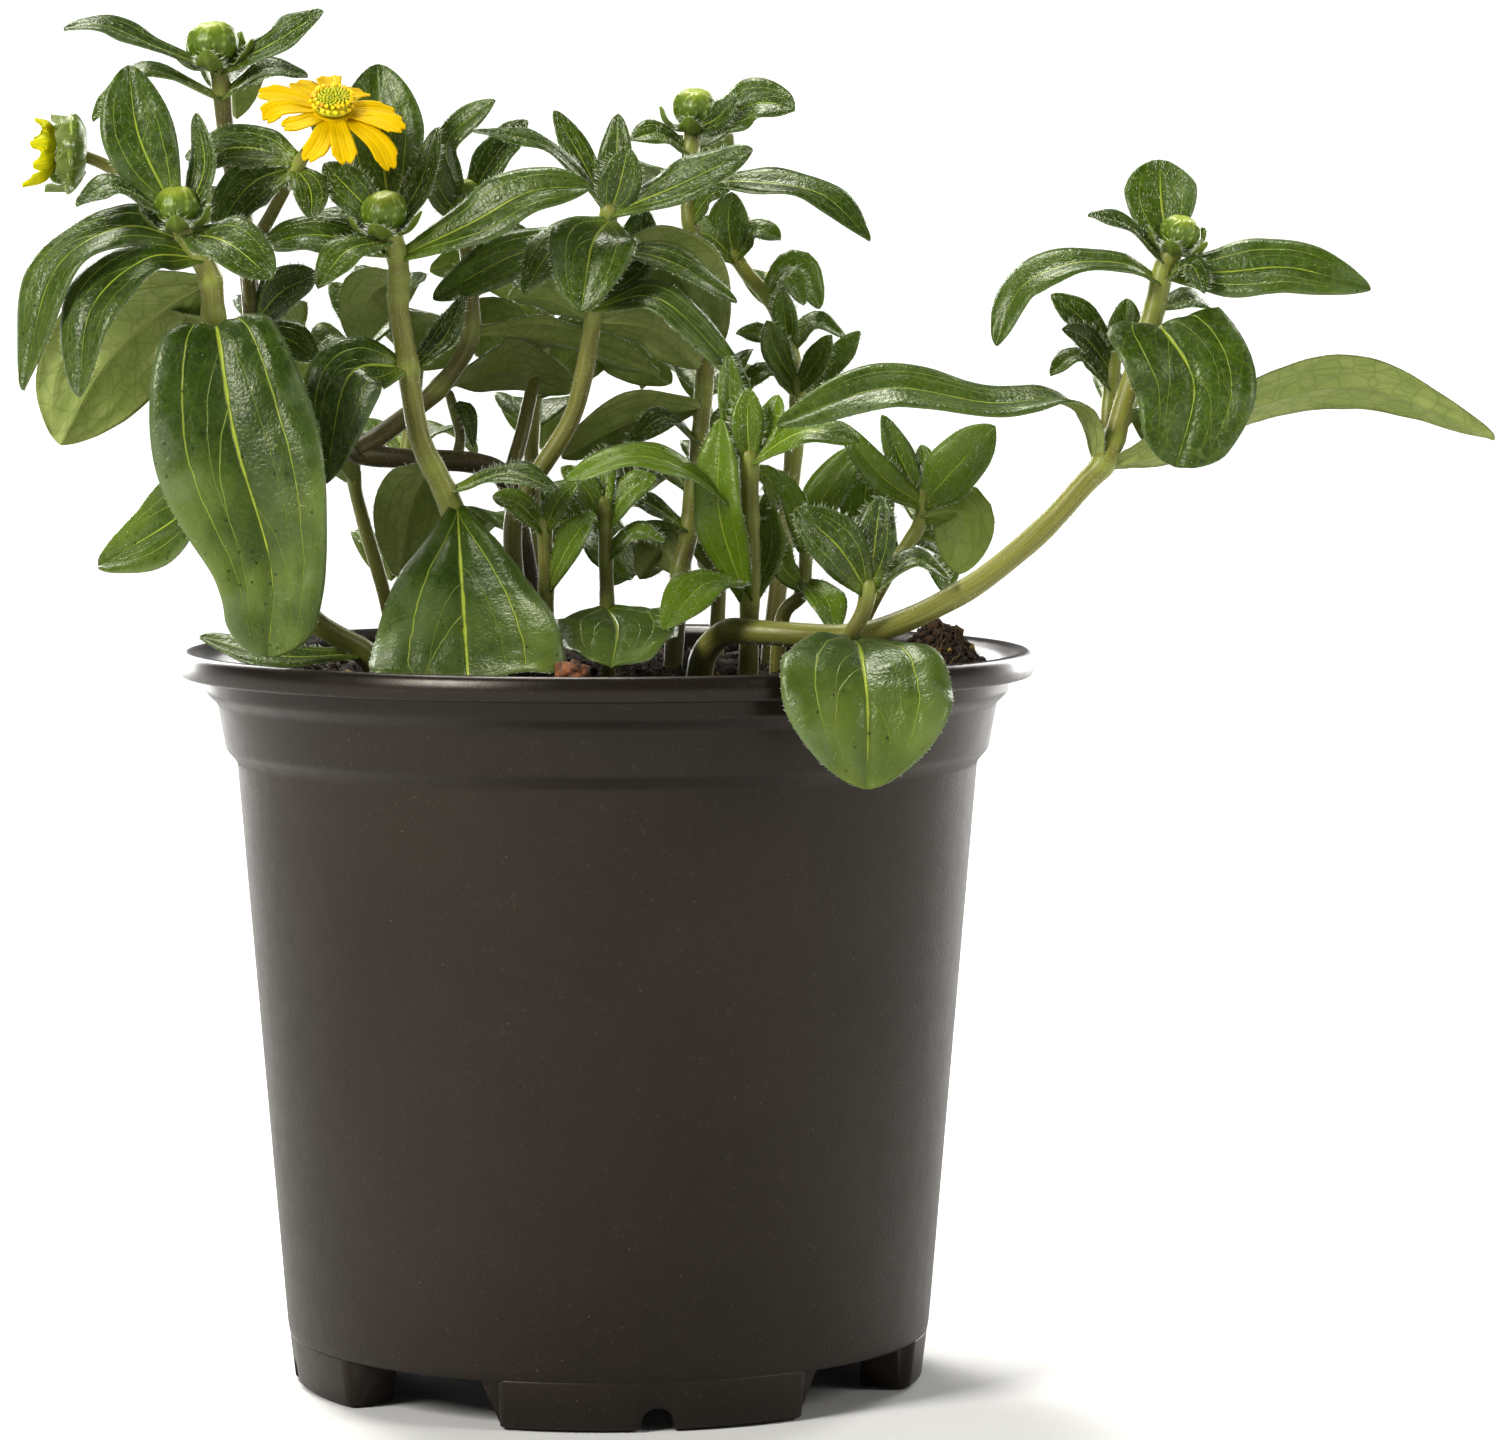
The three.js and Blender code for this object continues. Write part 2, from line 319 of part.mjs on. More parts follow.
        [1.2, 1.05, [[75.6, 139.8, -26.4], [76.2, 147, -22.5], [77, 155.6, -20.5]]],
    ], [
        [[[74.8, 139.4, -27], [73.2, 146, -28], [68.4, 149.4, -29], [58, 148.8, -30.5],
          [42, 151, -32], [25.6, 145.4, -34]], 11, [0.6, 0.5, 0.6], 0.66, [-0.1, -0.8, 0.55]],
        [[[75.8, 139.2, -26.6], [84, 141.6, -26], [98, 148.4, -24], [115, 151.4, -22],
          [135.1, 143.4, -20]], 13, [0, 0.6, 0.8], 0.6],
        [[[83.2, 160, -26], [84.4, 160, -32], [89.2, 151.5, -36], [86.6, 138.9, -37.5]],
         20, [-0.05, -0.2, 1], OVAL, [0.1, -1, -0.1]],
        [[[83.5, 163, -24.6], [90, 164, -21], [94.3, 157.5, -18.5]], 7.5, [0.1, -0.35, 0.9], 0.5],
        [[[84, 167, -25.2], [78.6, 169.8, -28], [70, 169.8, -30], [62.6, 166, -31],
          [59, 157.4, -32]], 8, [-0.2, -0.55, 0.8], 0.62],
        [[[84.8, 168.4, -25], [94, 168.6, -26.5], [104, 169.2, -28], [116, 166, -29]],
         10, [0, -0.85, 0.5], 0.52],
        [[[85.4, 171.6, -24], [84.1, 178.5, -21.5], [83.8, 185.6, -18.5]], 11, [0, -1, 0.1], 0.64],
        [[[84.6, 170, -24.8], [79.2, 175.4, -27], [73, 177.3, -28.5]], 6, [0, -0.45, 0.9], 0.5],
        [[[85.2, 168, -25.4], [88.6, 169.6, -29], [90.8, 165.4, -30.5]], 4.5, [0.2, -0.7, 0.6], 0.5],
        [[[76.8, 154.4, -20.9], [72.6, 161, -20], [67.4, 165.2, -19.4]], 5.5, [0.4, -0.85, 0.3], 0.5],
        [[[76.6, 153.4, -21.2], [73, 158.2, -23.6], [69.2, 160, -25]], 4.5, [0.2, -0.8, 0.5], 0.5],
        [[[76.4, 151, -21.8], [71.6, 155.8, -24.4], [67.3, 153, -26]], 4.5, [0, -0.5, 0.85], 0.5],
        [[[77, 155, -20.4], [78.6, 160, -18.4], [79, 164.6, -17]], 5, [-0.2, -1, 0.1], 0.5],
        [[[77.2, 143.6, -26], [81, 147, -23], [83.8, 141, -21]], 6, [0.2, 0.5, 0.8], 0.5],
        [[[76.6, 149, -21.2], [79, 153, -12], [80, 148, -4]], 10, [0.1, 0.4, 0.9], 0.45],
        [[[37.6, 113, -31.8], [38.6, 110.9, -50], [39.6, 103, -60.5], [39.7, 89.7, -62.2]],
         25.5, [0.1, -0.75, 0.65], 0.6],
        [[[40, 120.6, -34.8], [40.8, 128, -36], [41.6, 134.6, -35.6]], 6.5, [-0.3, -0.95, 0.1], 0.5],
        [[[39.6, 120, -34.8], [35, 127, -38], [28.5, 132.6, -39]], 8.5, [-0.2, -0.8, 0.55], 0.5],
        [[[40.1, 120, -34.2], [46.4, 125, -33.6], [52.4, 121.6, -33]], 5, [0, -0.45, 0.9], 0.5],
    ], [
        [[87, 174.5, -24.5], 2.8, [0.2, -0.3, 1]],
    ]],
    // Stands at the back right, leaves in three tufts
    ['back_right_shoot', [
        [1.5, 1.1, [[24, 103, 17], [26.5, 125, 19], [28.3, 140, 20], [29, 151, 20], [27.4, 158, 21],
                    [25, 164, 22], [21.5, 168, 23], [19, 171.6, 24]]],
    ], [
        [[[29, 151, 19.5], [31.8, 155, 15], [34, 159, 13]], 4.5, [-0.4, -0.85, 0.2], 0.5],
        [[[28.6, 151.6, 19.4], [25.6, 156.6, 15.5], [24.3, 161.2, 14]], 5, [0.3, -0.9, 0.2], 0.5],
        [[[27.6, 157, 20.6], [27, 161.5, 17.5], [26.5, 166, 16.5]], 4, [0, -1, 0.1], 0.5],
        [[[27.6, 156.6, 21], [31.4, 161, 21], [36.3, 158.6, 21]], 5.5, [0, -0.45, 0.9], 0.5],
        [[[29.2, 150.6, 20], [34.6, 155, 19], [38.4, 159.6, 18]], 4.5, [-0.4, -0.85, 0.2], 0.5],
        [[[27.8, 156, 20.4], [24, 158.8, 17.6], [19.6, 159.4, 16.6]], 5, [0, -0.6, 0.8], 0.5],
        [[[28.8, 149.6, 19.4], [24.6, 153.6, 17], [20.6, 151, 15.5]], 5, [0, -0.5, 0.85], 0.5],
        [[[24.6, 164.6, 21.4], [27.4, 168, 18.5], [30, 163.6, 17]], 5, [0.1, -0.6, 0.8], 0.5],
        [[[24.2, 165.2, 22.2], [29, 169, 23], [32.4, 163, 23]], 6.5, [0.3, -0.8, 0.5], 0.5],
        [[[19.2, 170.6, 23.6], [18.4, 176, 21.5], [19, 180.6, 20.6]], 6.5, [0.1, -1, 0.1], 0.5],
        [[[19.3, 170.6, 23.6], [22.6, 174.8, 22], [26.4, 173.6, 21]], 5.5, [0, -0.6, 0.8], 0.5],
        [[[19.2, 170.6, 23.4], [16, 173.8, 20.5], [12.8, 175, 18.8]], 7, [0.2, -0.8, 0.5], 0.5],
        [[[28.9, 148.6, 21], [34, 152.4, 30], [37, 147, 37]], 12, [0.1, 0.4, 0.9], 0.45],
        [[[28.4, 141.6, 21], [21.6, 146, 29], [17, 140, 35]], 13, [-0.1, 0.4, 0.9], 0.45],
        [[[24.6, 164.6, 23], [24.2, 168.6, 31], [25.6, 163, 38]], 10, [0, 0.4, 0.9], 0.45],
        [[[26.4, 126, 20], [32, 130, 29], [36, 124, 36]], 13, [0.1, 0.4, 0.9], 0.45],
    ], []],
    // A thin pale stem at the back left
    ['back_left_shoot', [
        [1.15, 0.95, [[-31, 103, 12], [-33.8, 118.6, 11], [-37.3, 131.2, 9], [-38.6, 138, 8],
                      [-38, 148, 9], [-37.4, 158, 10]]],
    ], [
        [[[-38.3, 136.6, 7.6], [-41.4, 139.6, 6], [-46, 138.4, 5]], 7, [0, 0.5, 0.85], 0.5],
        [[[-37.6, 154, 9.4], [-41, 159, 5], [-45.4, 156.4, 2.6]], 7, [0, -0.5, 0.85], 0.5],
        [[[-38, 150, 9.8], [-44, 154.6, 17], [-49, 148, 23]], 12, [-0.2, 0.4, 0.9], 0.45],
        [[[-37.3, 156.6, 10.4], [-32.6, 161, 17], [-29.6, 156, 23]], 9, [0.2, 0.4, 0.9], 0.45],
        [[[-37.5, 157, 10], [-38.6, 163, 11], [-42, 167, 13]], 7, [0.3, -0.6, 0.7], 0.5],
    ], []],
    // Three more at the very back, which the others hide in front view
    ['far_back_shoot', [
        [1.4, 1.1, [[-10, 103, 31], [-11, 125, 33], [-11.5, 145, 34], [-9.6, 158, 35], [-9, 163, 35]]],
    ], [
        [[[-11, 128, 34], [-17, 132, 42], [-23, 126, 48]], 14, [-0.3, 0.3, 0.9], 0.45],
        [[[-10.8, 128, 33], [-4, 131, 36], [4, 122, 39]], 15, [0.3, -0.6, 0.7], 0.45],
        [[[-11.2, 145, 35], [-10.6, 149, 44], [-10, 142, 52]], 14, [0, 0.4, 0.9], 0.45],
        [[[-10.6, 150, 33.4], [-2, 158, 32], [10, 152, 30]], 15, [0.1, 0.7, 0.7], 0.5],
        [[[-10.2, 153, 33.4], [-19, 160, 31], [-30, 154, 29]], 13, [-0.1, 0.7, 0.7], 0.5],
        [[[-9.6, 157.6, 35.6], [-15.5, 161.6, 40], [-20, 156, 44]], 10, [-0.3, 0.2, 0.9], 0.45],
        [[[-9.1, 161.6, 34], [-17, 170, 32], [-27, 169, 30]], 11, [-0.1, 0.7, 0.6], 0.5],
        [[[-9, 162, 35], [-6.6, 168, 36], [-3.6, 171, 37]], 6, [-0.3, 0.2, 0.9], 0.45],
    ], []],
    ['far_left_shoot', [
        [1.3, 1, [[-30, 103, 30], [-31, 122, 33], [-30.5, 140, 36], [-29, 152, 38], [-28.6, 158, 38]]],
    ], [
        [[[-30.9, 124, 33.4], [-24, 128, 38], [-19, 124, 42]], 12, [0.3, 0.2, 0.9], 0.45],
        [[[-31, 124, 33.6], [-33, 128.5, 42], [-33, 122, 50]], 13, [-0.1, 0.3, 0.9], 0.45],
        [[[-30.4, 141, 36.4], [-24.6, 145, 40], [-20, 141, 43]], 10, [0.3, 0.2, 0.9], 0.45],
        [[[-30.5, 141, 36.6], [-34, 146, 45], [-36, 141, 52]], 12, [-0.2, 0.3, 0.9], 0.45],
        [[[-28.8, 156, 38], [-31, 161, 40], [-34.5, 163, 42]], 6, [0.4, 0.1, 0.9], 0.45],
        [[[-28.8, 156, 38], [-25.5, 161, 39], [-22, 162.5, 40]], 6, [-0.4, 0.1, 0.9], 0.45],
    ], []],
    ['far_right_shoot', [
        [1.3, 1, [[16, 103, 38], [17, 122, 40], [16.6, 138, 41], [14.8, 149, 42], [14.4, 154, 42]]],
    ], [
        [[[17, 123, 40.4], [22, 127.4, 46], [25, 122, 51]], 12, [0.3, 0.3, 0.9], 0.45],
        [[[16.8, 123, 40.4], [10, 128, 44], [0, 121, 47]], 14, [-0.2, 0.5, 0.8], 0.45],
        [[[16.5, 138, 41.4], [16.6, 142, 49], [16.4, 136, 56]], 12, [0, 0.4, 0.9], 0.45],
        [[[14.7, 150, 42], [9.4, 154.4, 44], [5, 151, 46]], 8, [-0.3, 0.2, 0.9], 0.45],
        [[[14.6, 150, 42.2], [18.8, 154.6, 46], [21.6, 150.6, 50]], 8, [0.3, 0.2, 0.9], 0.45],
        [[[14.5, 152.6, 42], [13.4, 158, 43.5], [11, 160.4, 45]], 5, [0.3, 0.2, 0.9], 0.45],
    ], []],
];
// End of the shoot table

// Rays of the open flower, as [middle, tip] of each
const FLOWER_RAYS = [
  [[-48.2, 194.9, -25.2], [-52.9, 195.5, -25]],
  [[-49.4, 193.2, -27.6], [-51.8, 191.2, -28.6]],
  [[-45.9, 191.1, -29.8], [-49.2, 190.3, -31]],
  [[-43.5, 187.9, -33], [-45.5, 185.2, -35.4]],
  [[-40, 187.6, -33.4], [-39.4, 184.8, -35.6]],
  [[-34.9, 188.2, -31.4], [-32.6, 183.9, -32]],
  [[-33.8, 191.2, -29.2], [-30.7, 189.9, -30]],
  [[-35.9, 193, -26.8], [-31.9, 192.6, -25.4]],
  [[-38.6, 195.1, -22.6], [-36.6, 195.6, -18.6]],
  [[-42, 196.8, -22], [-42.1, 198, -17.6]],
  [[-45.2, 196, -22.6], [-47.2, 197.1, -18.8]],
];

// Rays of the side bloom, as [middle, tip] of each
const SIDE_RAYS = [
  [[-84.2, 190.4, -19], [-86.6, 191.2, -19.2]],
  [[-84.6, 188.2, -22], [-87.4, 187.8, -22]],
  [[-84.6, 185, -22], [-87, 184.8, -22.2]],
  [[-85, 182.9, -19.6], [-88.6, 182, -19.6]],
  [[-84.4, 184.8, -16.6], [-86.8, 184.6, -16.2]],
  [[-84.4, 188.2, -16.4], [-86.8, 188.4, -16]],
];

// Green scales round the side bloom, the lowest one the longest
const SIDE_SCALES = [
  [[-80.6, 191.2, -20], [-83.6, 192.2, -20.2]],
  [[-80.8, 188.6, -24.2], [-82.8, 188.6, -24.8]],
  [[-80.8, 184.4, -24.2], [-82.8, 184, -24.8]],
  [[-81.2, 181.4, -20], [-84.6, 180.8, -20.2]],
  [[-80.8, 184.4, -15], [-84, 183.8, -14.2]],
  [[-80.8, 188.6, -14.8], [-84, 188.8, -14]],
];

const COLOURS = {
  pot: 0x2f2c29,
  soil: 0x33261c,
  plant: 0x3f6b2e,
  yellow: 0xf7c600,
  disc: 0xb9a81e,
};

function place([across, up, back]) {
  const spread = 1 - back / EYE.y;
  return new THREE.Vector3(
    EYE.x + (across - EYE.x) * spread,
    back,
    EYE.z + (up - EYE.z) * spread,
  );
}

// Solids

function solidFrom(geometry) {
  const bare = geometry.clone();
  bare.deleteAttribute('normal');
  bare.deleteAttribute('uv');
  const merged = mergeVertices(bare, 1e-4);
  const vertProperties = new Float32Array(merged.attributes.position.array);
  const triVerts = new Uint32Array(merged.index.array);
  return new wasm.Manifold(new wasm.Mesh({ numProp: 3, vertProperties, triVerts }));
}

function geometryFrom(solid) {
  const mesh = solid.getMesh();
  const geometry = new THREE.BufferGeometry();
  geometry.setAttribute('position', new THREE.BufferAttribute(mesh.vertProperties, 3));
  geometry.setIndex(new THREE.BufferAttribute(mesh.triVerts, 1));
  geometry.computeVertexNormals();
  return geometry;
}

function joined(solids) {
  return solids.reduce((whole, solid) => whole.add(solid));
}

// Skins a row of rings with equal numbers of points. The diagonals alternate, so that both
// faces of a blade are split alike. A last point closes the row to a tip.
function loft(rings, tip = null) {
  const sides = rings[0].length;
  const points = rings.flat();
  const faces = [];
  for (let i = 0; i < rings.length - 1; i += 1) {
    for (let j = 0; j < sides; j += 1) {
      const k = (j + 1) % sides;
      const [a, b] = [i * sides + j, i * sides + k];
      const [c, d] = [a + sides, b + sides];
      if (j % 2 === 0) {
        faces.push(a, b, d, a, d, c);
      } else {
        faces.push(a, b, c, b, d, c);
      }
    }
  }
  for (let j = 1; j < sides - 1; j += 1) {
    faces.push(0, j + 1, j);
  }
  const last = (rings.length - 1) * sides;
  if (tip) {
    points.push(tip);
    for (let j = 0; j < sides; j += 1) {
      faces.push(last + j, last + (j + 1) % sides, points.length - 1);
    }
  } else {
    for (let j = 1; j < sides - 1; j += 1) {
      faces.push(last, last + j, last + j + 1);
    }
  }
  const geometry = new THREE.BufferGeometry().setFromPoints(points);
  geometry.setIndex(faces);
  return solidFrom(geometry);
}

function curveThrough(points) {
  return new THREE.CatmullRomCurve3(points.map(place), false, 'catmullrom', 0.5);
}

// A stem has a ring at each of its points, and one between those that lie far apart
function stem([footRadius, topRadius, points], extra = 0) {
  const curve = curveThrough(points);
  const spans = points.length - 1;
  const shares = [0];
  for (let i = 0; i < spans; i += 1) {
    const reach = curve.getPoint((i + 1) / spans).distanceTo(curve.getPoint(i / spans));
    if (reach > STEM_STEP) shares.push((i + 0.5) / spans);
    shares.push((i + 1) / spans);
  }
  let normal = new THREE.Vector3(0, 1, 0);
  const rings = shares.map((t) => {
    const along = curve.getTangent(t);
    const middle = curve.getPoint(t);
    if (t === 0) middle.addScaledVector(along, -extra);
    normal = normal.addScaledVector(along, -normal.dot(along)).normalize();
    const side = along.clone().cross(normal);
    const radius = extra + footRadius + (topRadius - footRadius) * t;
    return Array.from({ length: STEM_SIDES }, (_, j) => {
      const turn = (2 * Math.PI * j) / STEM_SIDES;
      return middle.clone()
        .addScaledVector(normal, radius * Math.cos(turn))
        .addScaledVector(side, radius * Math.sin(turn));
    });
  });
  return loft(rings);
}

function shareAt(form, t) {
  const i = Math.max(1, form.findIndex(([place]) => place >= t));
  const [[t0, share0], [t1, share1]] = [form[i - 1], form[i]];
  return share0 + (share1 - share0) * ((t - t0) / (t1 - t0));
}

// A blade is widest at one place along it, or has a form of its own
function halfWidth(t, width, widest) {
  if (Array.isArray(widest)) return (width / 2) * shareAt(widest, t);
  const foot = Math.min(0.5, PETIOLE / width);
  if (t < widest) {
    return (width / 2) * (foot + (1 - foot) * Math.sin((Math.PI / 2) * (t / widest)) ** 1.1);
  }
  return (width / 2) * Math.cos((Math.PI / 2) * ((t - widest) / (1 - widest))) ** 0.62;
}

// One ring of a blade: its upper midrib, right edge, lower midrib and left edge
function bladeRing(middle, along, looks, half, thickness) {
  const up = looks.clone().addScaledVector(along, -looks.dot(along)).normalize();
  const side = along.clone().cross(up);
  const out = half * Math.cos(FOLD);
  const lift = half * Math.sin(FOLD);
  return [
    middle.clone().addScaledVector(up, thickness / 2),
    middle.clone().addScaledVector(side, out).addScaledVector(up, lift),
    middle.clone().addScaledVector(up, -thickness / 2),
    middle.clone().addScaledVector(side, -out).addScaledVector(up, lift),
  ];
}

function leaf([points, width, looks, widest, tipLooks = looks]) {
  const curve = curveThrough(points);
  const length = curve.getLength();
  const size = LEAF_SIZES.find((row) => length < row.upTo);
  const rings = size.shares.map((t) => {
    const at = new THREE.Vector3(...looks).lerp(new THREE.Vector3(...tipLooks), t);
    return bladeRing(curve.getPoint(t), curve.getTangent(t), at, halfWidth(t, width, widest), BLADE);
  });
  return loft(rings, curve.getPoint(1));
}

// A round body on an axis, from its profile as [radius, height] pairs that start and end at 0
function turned(profile, sides, middle, axis) {
  const points = profile.map(([radius, height]) => new THREE.Vector2(radius, height));
  const geometry = new THREE.LatheGeometry(points, sides);
  geometry.rotateX(Math.PI / 2);
  const turn = new THREE.Quaternion().setFromUnitVectors(new THREE.Vector3(0, 0, 1), axis);
  geometry.applyQuaternion(turn);
  geometry.translate(middle.x, middle.y, middle.z);
  return solidFrom(geometry);
}

// A closed bud, a little flat on top
function bud([middle, radius, axis]) {
  const profile = BUD_PROFILE.map(([r, h]) => [r * radius, h * radius]);
  return turned(profile, BUD_SIDES, place(middle), new THREE.Vector3(...axis).normalize());
}

// A petal runs out from under the disc to its mid point and bends to a notched tip
function ray(centre, looks, [mid, tip], width) {
  const points = [centre, place(mid), place(tip)];
  points[0] = centre.clone().lerp(points[1], 0.12);
  const curve = new THREE.CatmullRomCurve3(points, false, 'catmullrom', 0.5);
  const rings = RAY_RINGS.map(([t, share]) => bladeRing(
    curve.getPoint(t),
    curve.getTangent(t),
    looks,
    (width / 2) * share,
    RAY_THICKNESS,
  ));
  const notch = curve.getTangent(1).multiplyScalar(-RAY_NOTCH * width);
  const end = rings[rings.length - 1];
  end[0].add(notch);
  end[2].add(notch);
  return loft(rings);
}

// Pot

// A wedge of the gap between two feet, wide at the ground and narrow at the floor
function footGap(index) {
  const pitch = 360 / FEET;
  const middle = THREE.MathUtils.degToRad(-90 + FOOT_TURN + pitch * (index + 0.5));
  const rings = [[FOOT_ARC_BOTTOM, -1], [FOOT_ARC_TOP, FOOT_HEIGHT]].map(([arc, height]) => {
    const half = THREE.MathUtils.degToRad((pitch - arc) / 2);
    const at = (radius, turn) => new THREE.Vector3(
      radius * Math.cos(middle + turn),
      radius * Math.sin(middle + turn),
      height,
    );
    const inner = SKIRT_BOTTOM_RADIUS - 18;
    const outer = SKIRT_TOP_RADIUS + 11;
    return [at(inner, -half), at(outer, -half), at(outer, half), at(inner, half)];
  });
  return loft(rings);
}

function footNotch(index) {
  const turn = THREE.MathUtils.degToRad(-90 + FOOT_TURN + (360 / FEET) * index);
  const shape = new THREE.Shape();
  const half = NOTCH_WIDTH / 2;
  shape.moveTo(-half, -1);
  shape.lineTo(half, -1);
  shape.lineTo(half, NOTCH_HEIGHT - half);
  shape.absarc(0, NOTCH_HEIGHT - half, half, 0, Math.PI, false);
  shape.lineTo(-half, -1);
  const geometry = new THREE.ExtrudeGeometry(shape, { depth: 30, bevelEnabled: false, curveSegments: 6 });
  geometry.rotateX(Math.PI / 2);
  geometry.rotateZ(turn + Math.PI / 2);
  const outer = SKIRT_TOP_RADIUS + 11;
  geometry.translate(outer * Math.cos(turn), outer * Math.sin(turn), 0);
  return solidFrom(geometry);
}

function makePot() {
  const up = new THREE.Vector3(0, 0, 1);
  const origin = new THREE.Vector3();
  let body = turned(POT_PROFILE, POT_SIDES, origin, up);
  const skirt = new THREE.LatheGeometry([
    [SKIRT_BOTTOM_RADIUS - SKIRT_THICKNESS, 0],
    [SKIRT_BOTTOM_RADIUS, 0],
    [SKIRT_TOP_RADIUS, FOOT_HEIGHT + 0.5],
    [SKIRT_TOP_RADIUS - SKIRT_THICKNESS, FOOT_HEIGHT + 0.5],
    [SKIRT_BOTTOM_RADIUS - SKIRT_THICKNESS, 0],
  ].map(([radius, height]) => new THREE.Vector2(radius, height)), POT_SIDES);
  skirt.rotateX(Math.PI / 2);
  let feet = solidFrom(skirt);
  for (let i = 0; i < FEET; i += 1) {
    feet = feet.subtract(footGap(i)).subtract(footNotch(i));
  }
  body = body.add(feet);
  for (let i = 0; i < DRAIN_HOLES; i += 1) {
    const turn = THREE.MathUtils.degToRad(-90 + FOOT_TURN + (360 / DRAIN_HOLES) * (i + 0.5));
    const middle = new THREE.Vector3(DRAIN_CIRCLE * Math.cos(turn), DRAIN_CIRCLE * Math.sin(turn), 0);
    const low = FOOT_HEIGHT - 1;
    const high = FOOT_HEIGHT + FLOOR_THICKNESS + 1;
    body = body.subtract(turned(
      [[0, low], [DRAIN_RADIUS, low], [DRAIN_RADIUS, high], [0, high]],
      10,
      middle,
      up,
    ));
  }
  return body;
}

// Soil

function soilHeight(x, y) {
  const lump = (at) => at.height * Math.exp(-((x - at.x) ** 2 + (y - at.y) ** 2) / (0.5 * at.radius ** 2));
  const swell = ROUGHNESS[0] * Math.sin(0.31 * x + 1.1) * Math.cos(0.27 * y);
  const ripple = ROUGHNESS[1] * Math.sin(0.6 * y - 0.4 * x);
  return SOIL_TOP + swell + ripple + lump(CLUMP) + lump(BARK);
}

function makeSoil() {
  const rings = SOIL_SIDE.map(([radius, height]) => circle(radius, () => height));
  for (let i = SOIL_RINGS; i > 0; i -= 1) {
    rings.push(circle((SOIL_RADIUS * i) / SOIL_RINGS, soilHeight));
  }
  return loft(rings, new THREE.Vector3(0, 0, soilHeight(0, 0)));
}

function circle(radius, heightAt) {
  return Array.from({ length: SOIL_SIDES }, (_, j) => {
    const turn = (2 * Math.PI * j) / SOIL_SIDES;
    const x = radius * Math.cos(turn);
    const y = radius * Math.sin(turn);
    return new THREE.Vector3(x, y, heightAt(x, y));
  });
}

// Open flower and side bloom

function makeFlowerRays() {
  const hub = turned(
    [[0, -HUB_THICKNESS / 2], [HUB_RADIUS, -HUB_THICKNESS / 2], [HUB_RADIUS, HUB_THICKNESS / 2],
      [0, HUB_THICKNESS / 2]],
    BLOOM_SIDES,
    place(FLOWER_MIDDLE),
    FLOWER_LOOKS,
  );
  const middle = place(FLOWER_MIDDLE);
  const rays = FLOWER_RAYS.map((at) => ray(middle, FLOWER_LOOKS, at, RAY_WIDTH));
  return joined([hub, ...rays]);
}

// A dome with a ring of opened florets standing out of it
function makeFlowerDisc() {
  const base = place(FLOWER_MIDDLE).addScaledVector(FLOWER_LOOKS, HUB_THICKNESS / 2 + GAP);
  const parts = [turned(DISC_PROFILE, BLOOM_SIDES, base, FLOWER_LOOKS)];
  const turnTo = new THREE.Quaternion().setFromUnitVectors(new THREE.Vector3(0, 0, 1), FLOWER_LOOKS);
  for (let i = 0; i < FLORETS; i += 1) {
    const turn = (2 * Math.PI * i) / FLORETS;
    const out = new THREE.Vector3(Math.cos(turn), Math.sin(turn), 0.9).normalize();
    const at = new THREE.Vector3(
      FLORET_CIRCLE * Math.cos(turn),
      FLORET_CIRCLE * Math.sin(turn),
      FLORET_HEIGHT,
    );
    const middle = at.applyQuaternion(turnTo).add(base);
    parts.push(turned(FLORET_PROFILE, 4, middle, out.applyQuaternion(turnTo)));
  }
  return joined(parts);
}

function makeFlowerCup() {
  const base = place(FLOWER_MIDDLE).addScaledVector(FLOWER_LOOKS, -HUB_THICKNESS / 2 - GAP);
  return turned(CUP_PROFILE, BLOOM_SIDES, base, FLOWER_LOOKS);
}

function makeSideCup() {
  const middle = place(SIDE_MIDDLE);
  const cup = turned(SIDE_CUP_PROFILE, BLOOM_SIDES, middle, SIDE_LOOKS);
  const [across, up, back] = SIDE_MIDDLE;
  const scales = SIDE_SCALES.map(([mid, tip]) => {
    const start = [across + SCALE_FOOT, (mid[1] + up) / 2, (mid[2] + back) / 2];
    const inward = middle.clone().sub(place(mid)).normalize();
    return leaf([[start, mid, tip], SCALE_WIDTH, [inward.x, inward.y, inward.z], 0.5]);
  });
  return joined([cup, ...scales]);
}

function makeSideRays() {
  const middle = place(SIDE_MIDDLE);
  const hub = turned(SIDE_HUB_PROFILE, BLOOM_SIDES, middle, SIDE_LOOKS);
  const start = middle.clone().addScaledVector(SIDE_LOOKS, RAY_THICKNESS / 2);
  const rays = SIDE_RAYS.map((at) => {
    const inward = middle.clone().sub(place(at[0])).normalize();
    return ray(start, inward.addScaledVector(SIDE_LOOKS, 0.4), at, SIDE_RAY_WIDTH);
  });
  return joined([hub, ...rays]);
}

function makeShoot([name, stems, leaves, buds]) {
  const parts = [...stems.map((row) => stem(row)), ...leaves.map(leaf), ...buds.map(bud)];
  if (name === 'leaning_shoot') {
    parts.push(makeFlowerCup(), makeSideCup());
  }
  return joined(parts);
}

// Whole object

const plant = new THREE.Group();
plant.position.x = -POT_TO_MIDDLE;

function add(name, solid, colour, roughness) {
  const material = new THREE.MeshStandardMaterial({ color: colour, roughness, metalness: 0 });
  const mesh = new THREE.Mesh(geometryFrom(solid), material);
  mesh.name = name;
  plant.add(mesh);
}

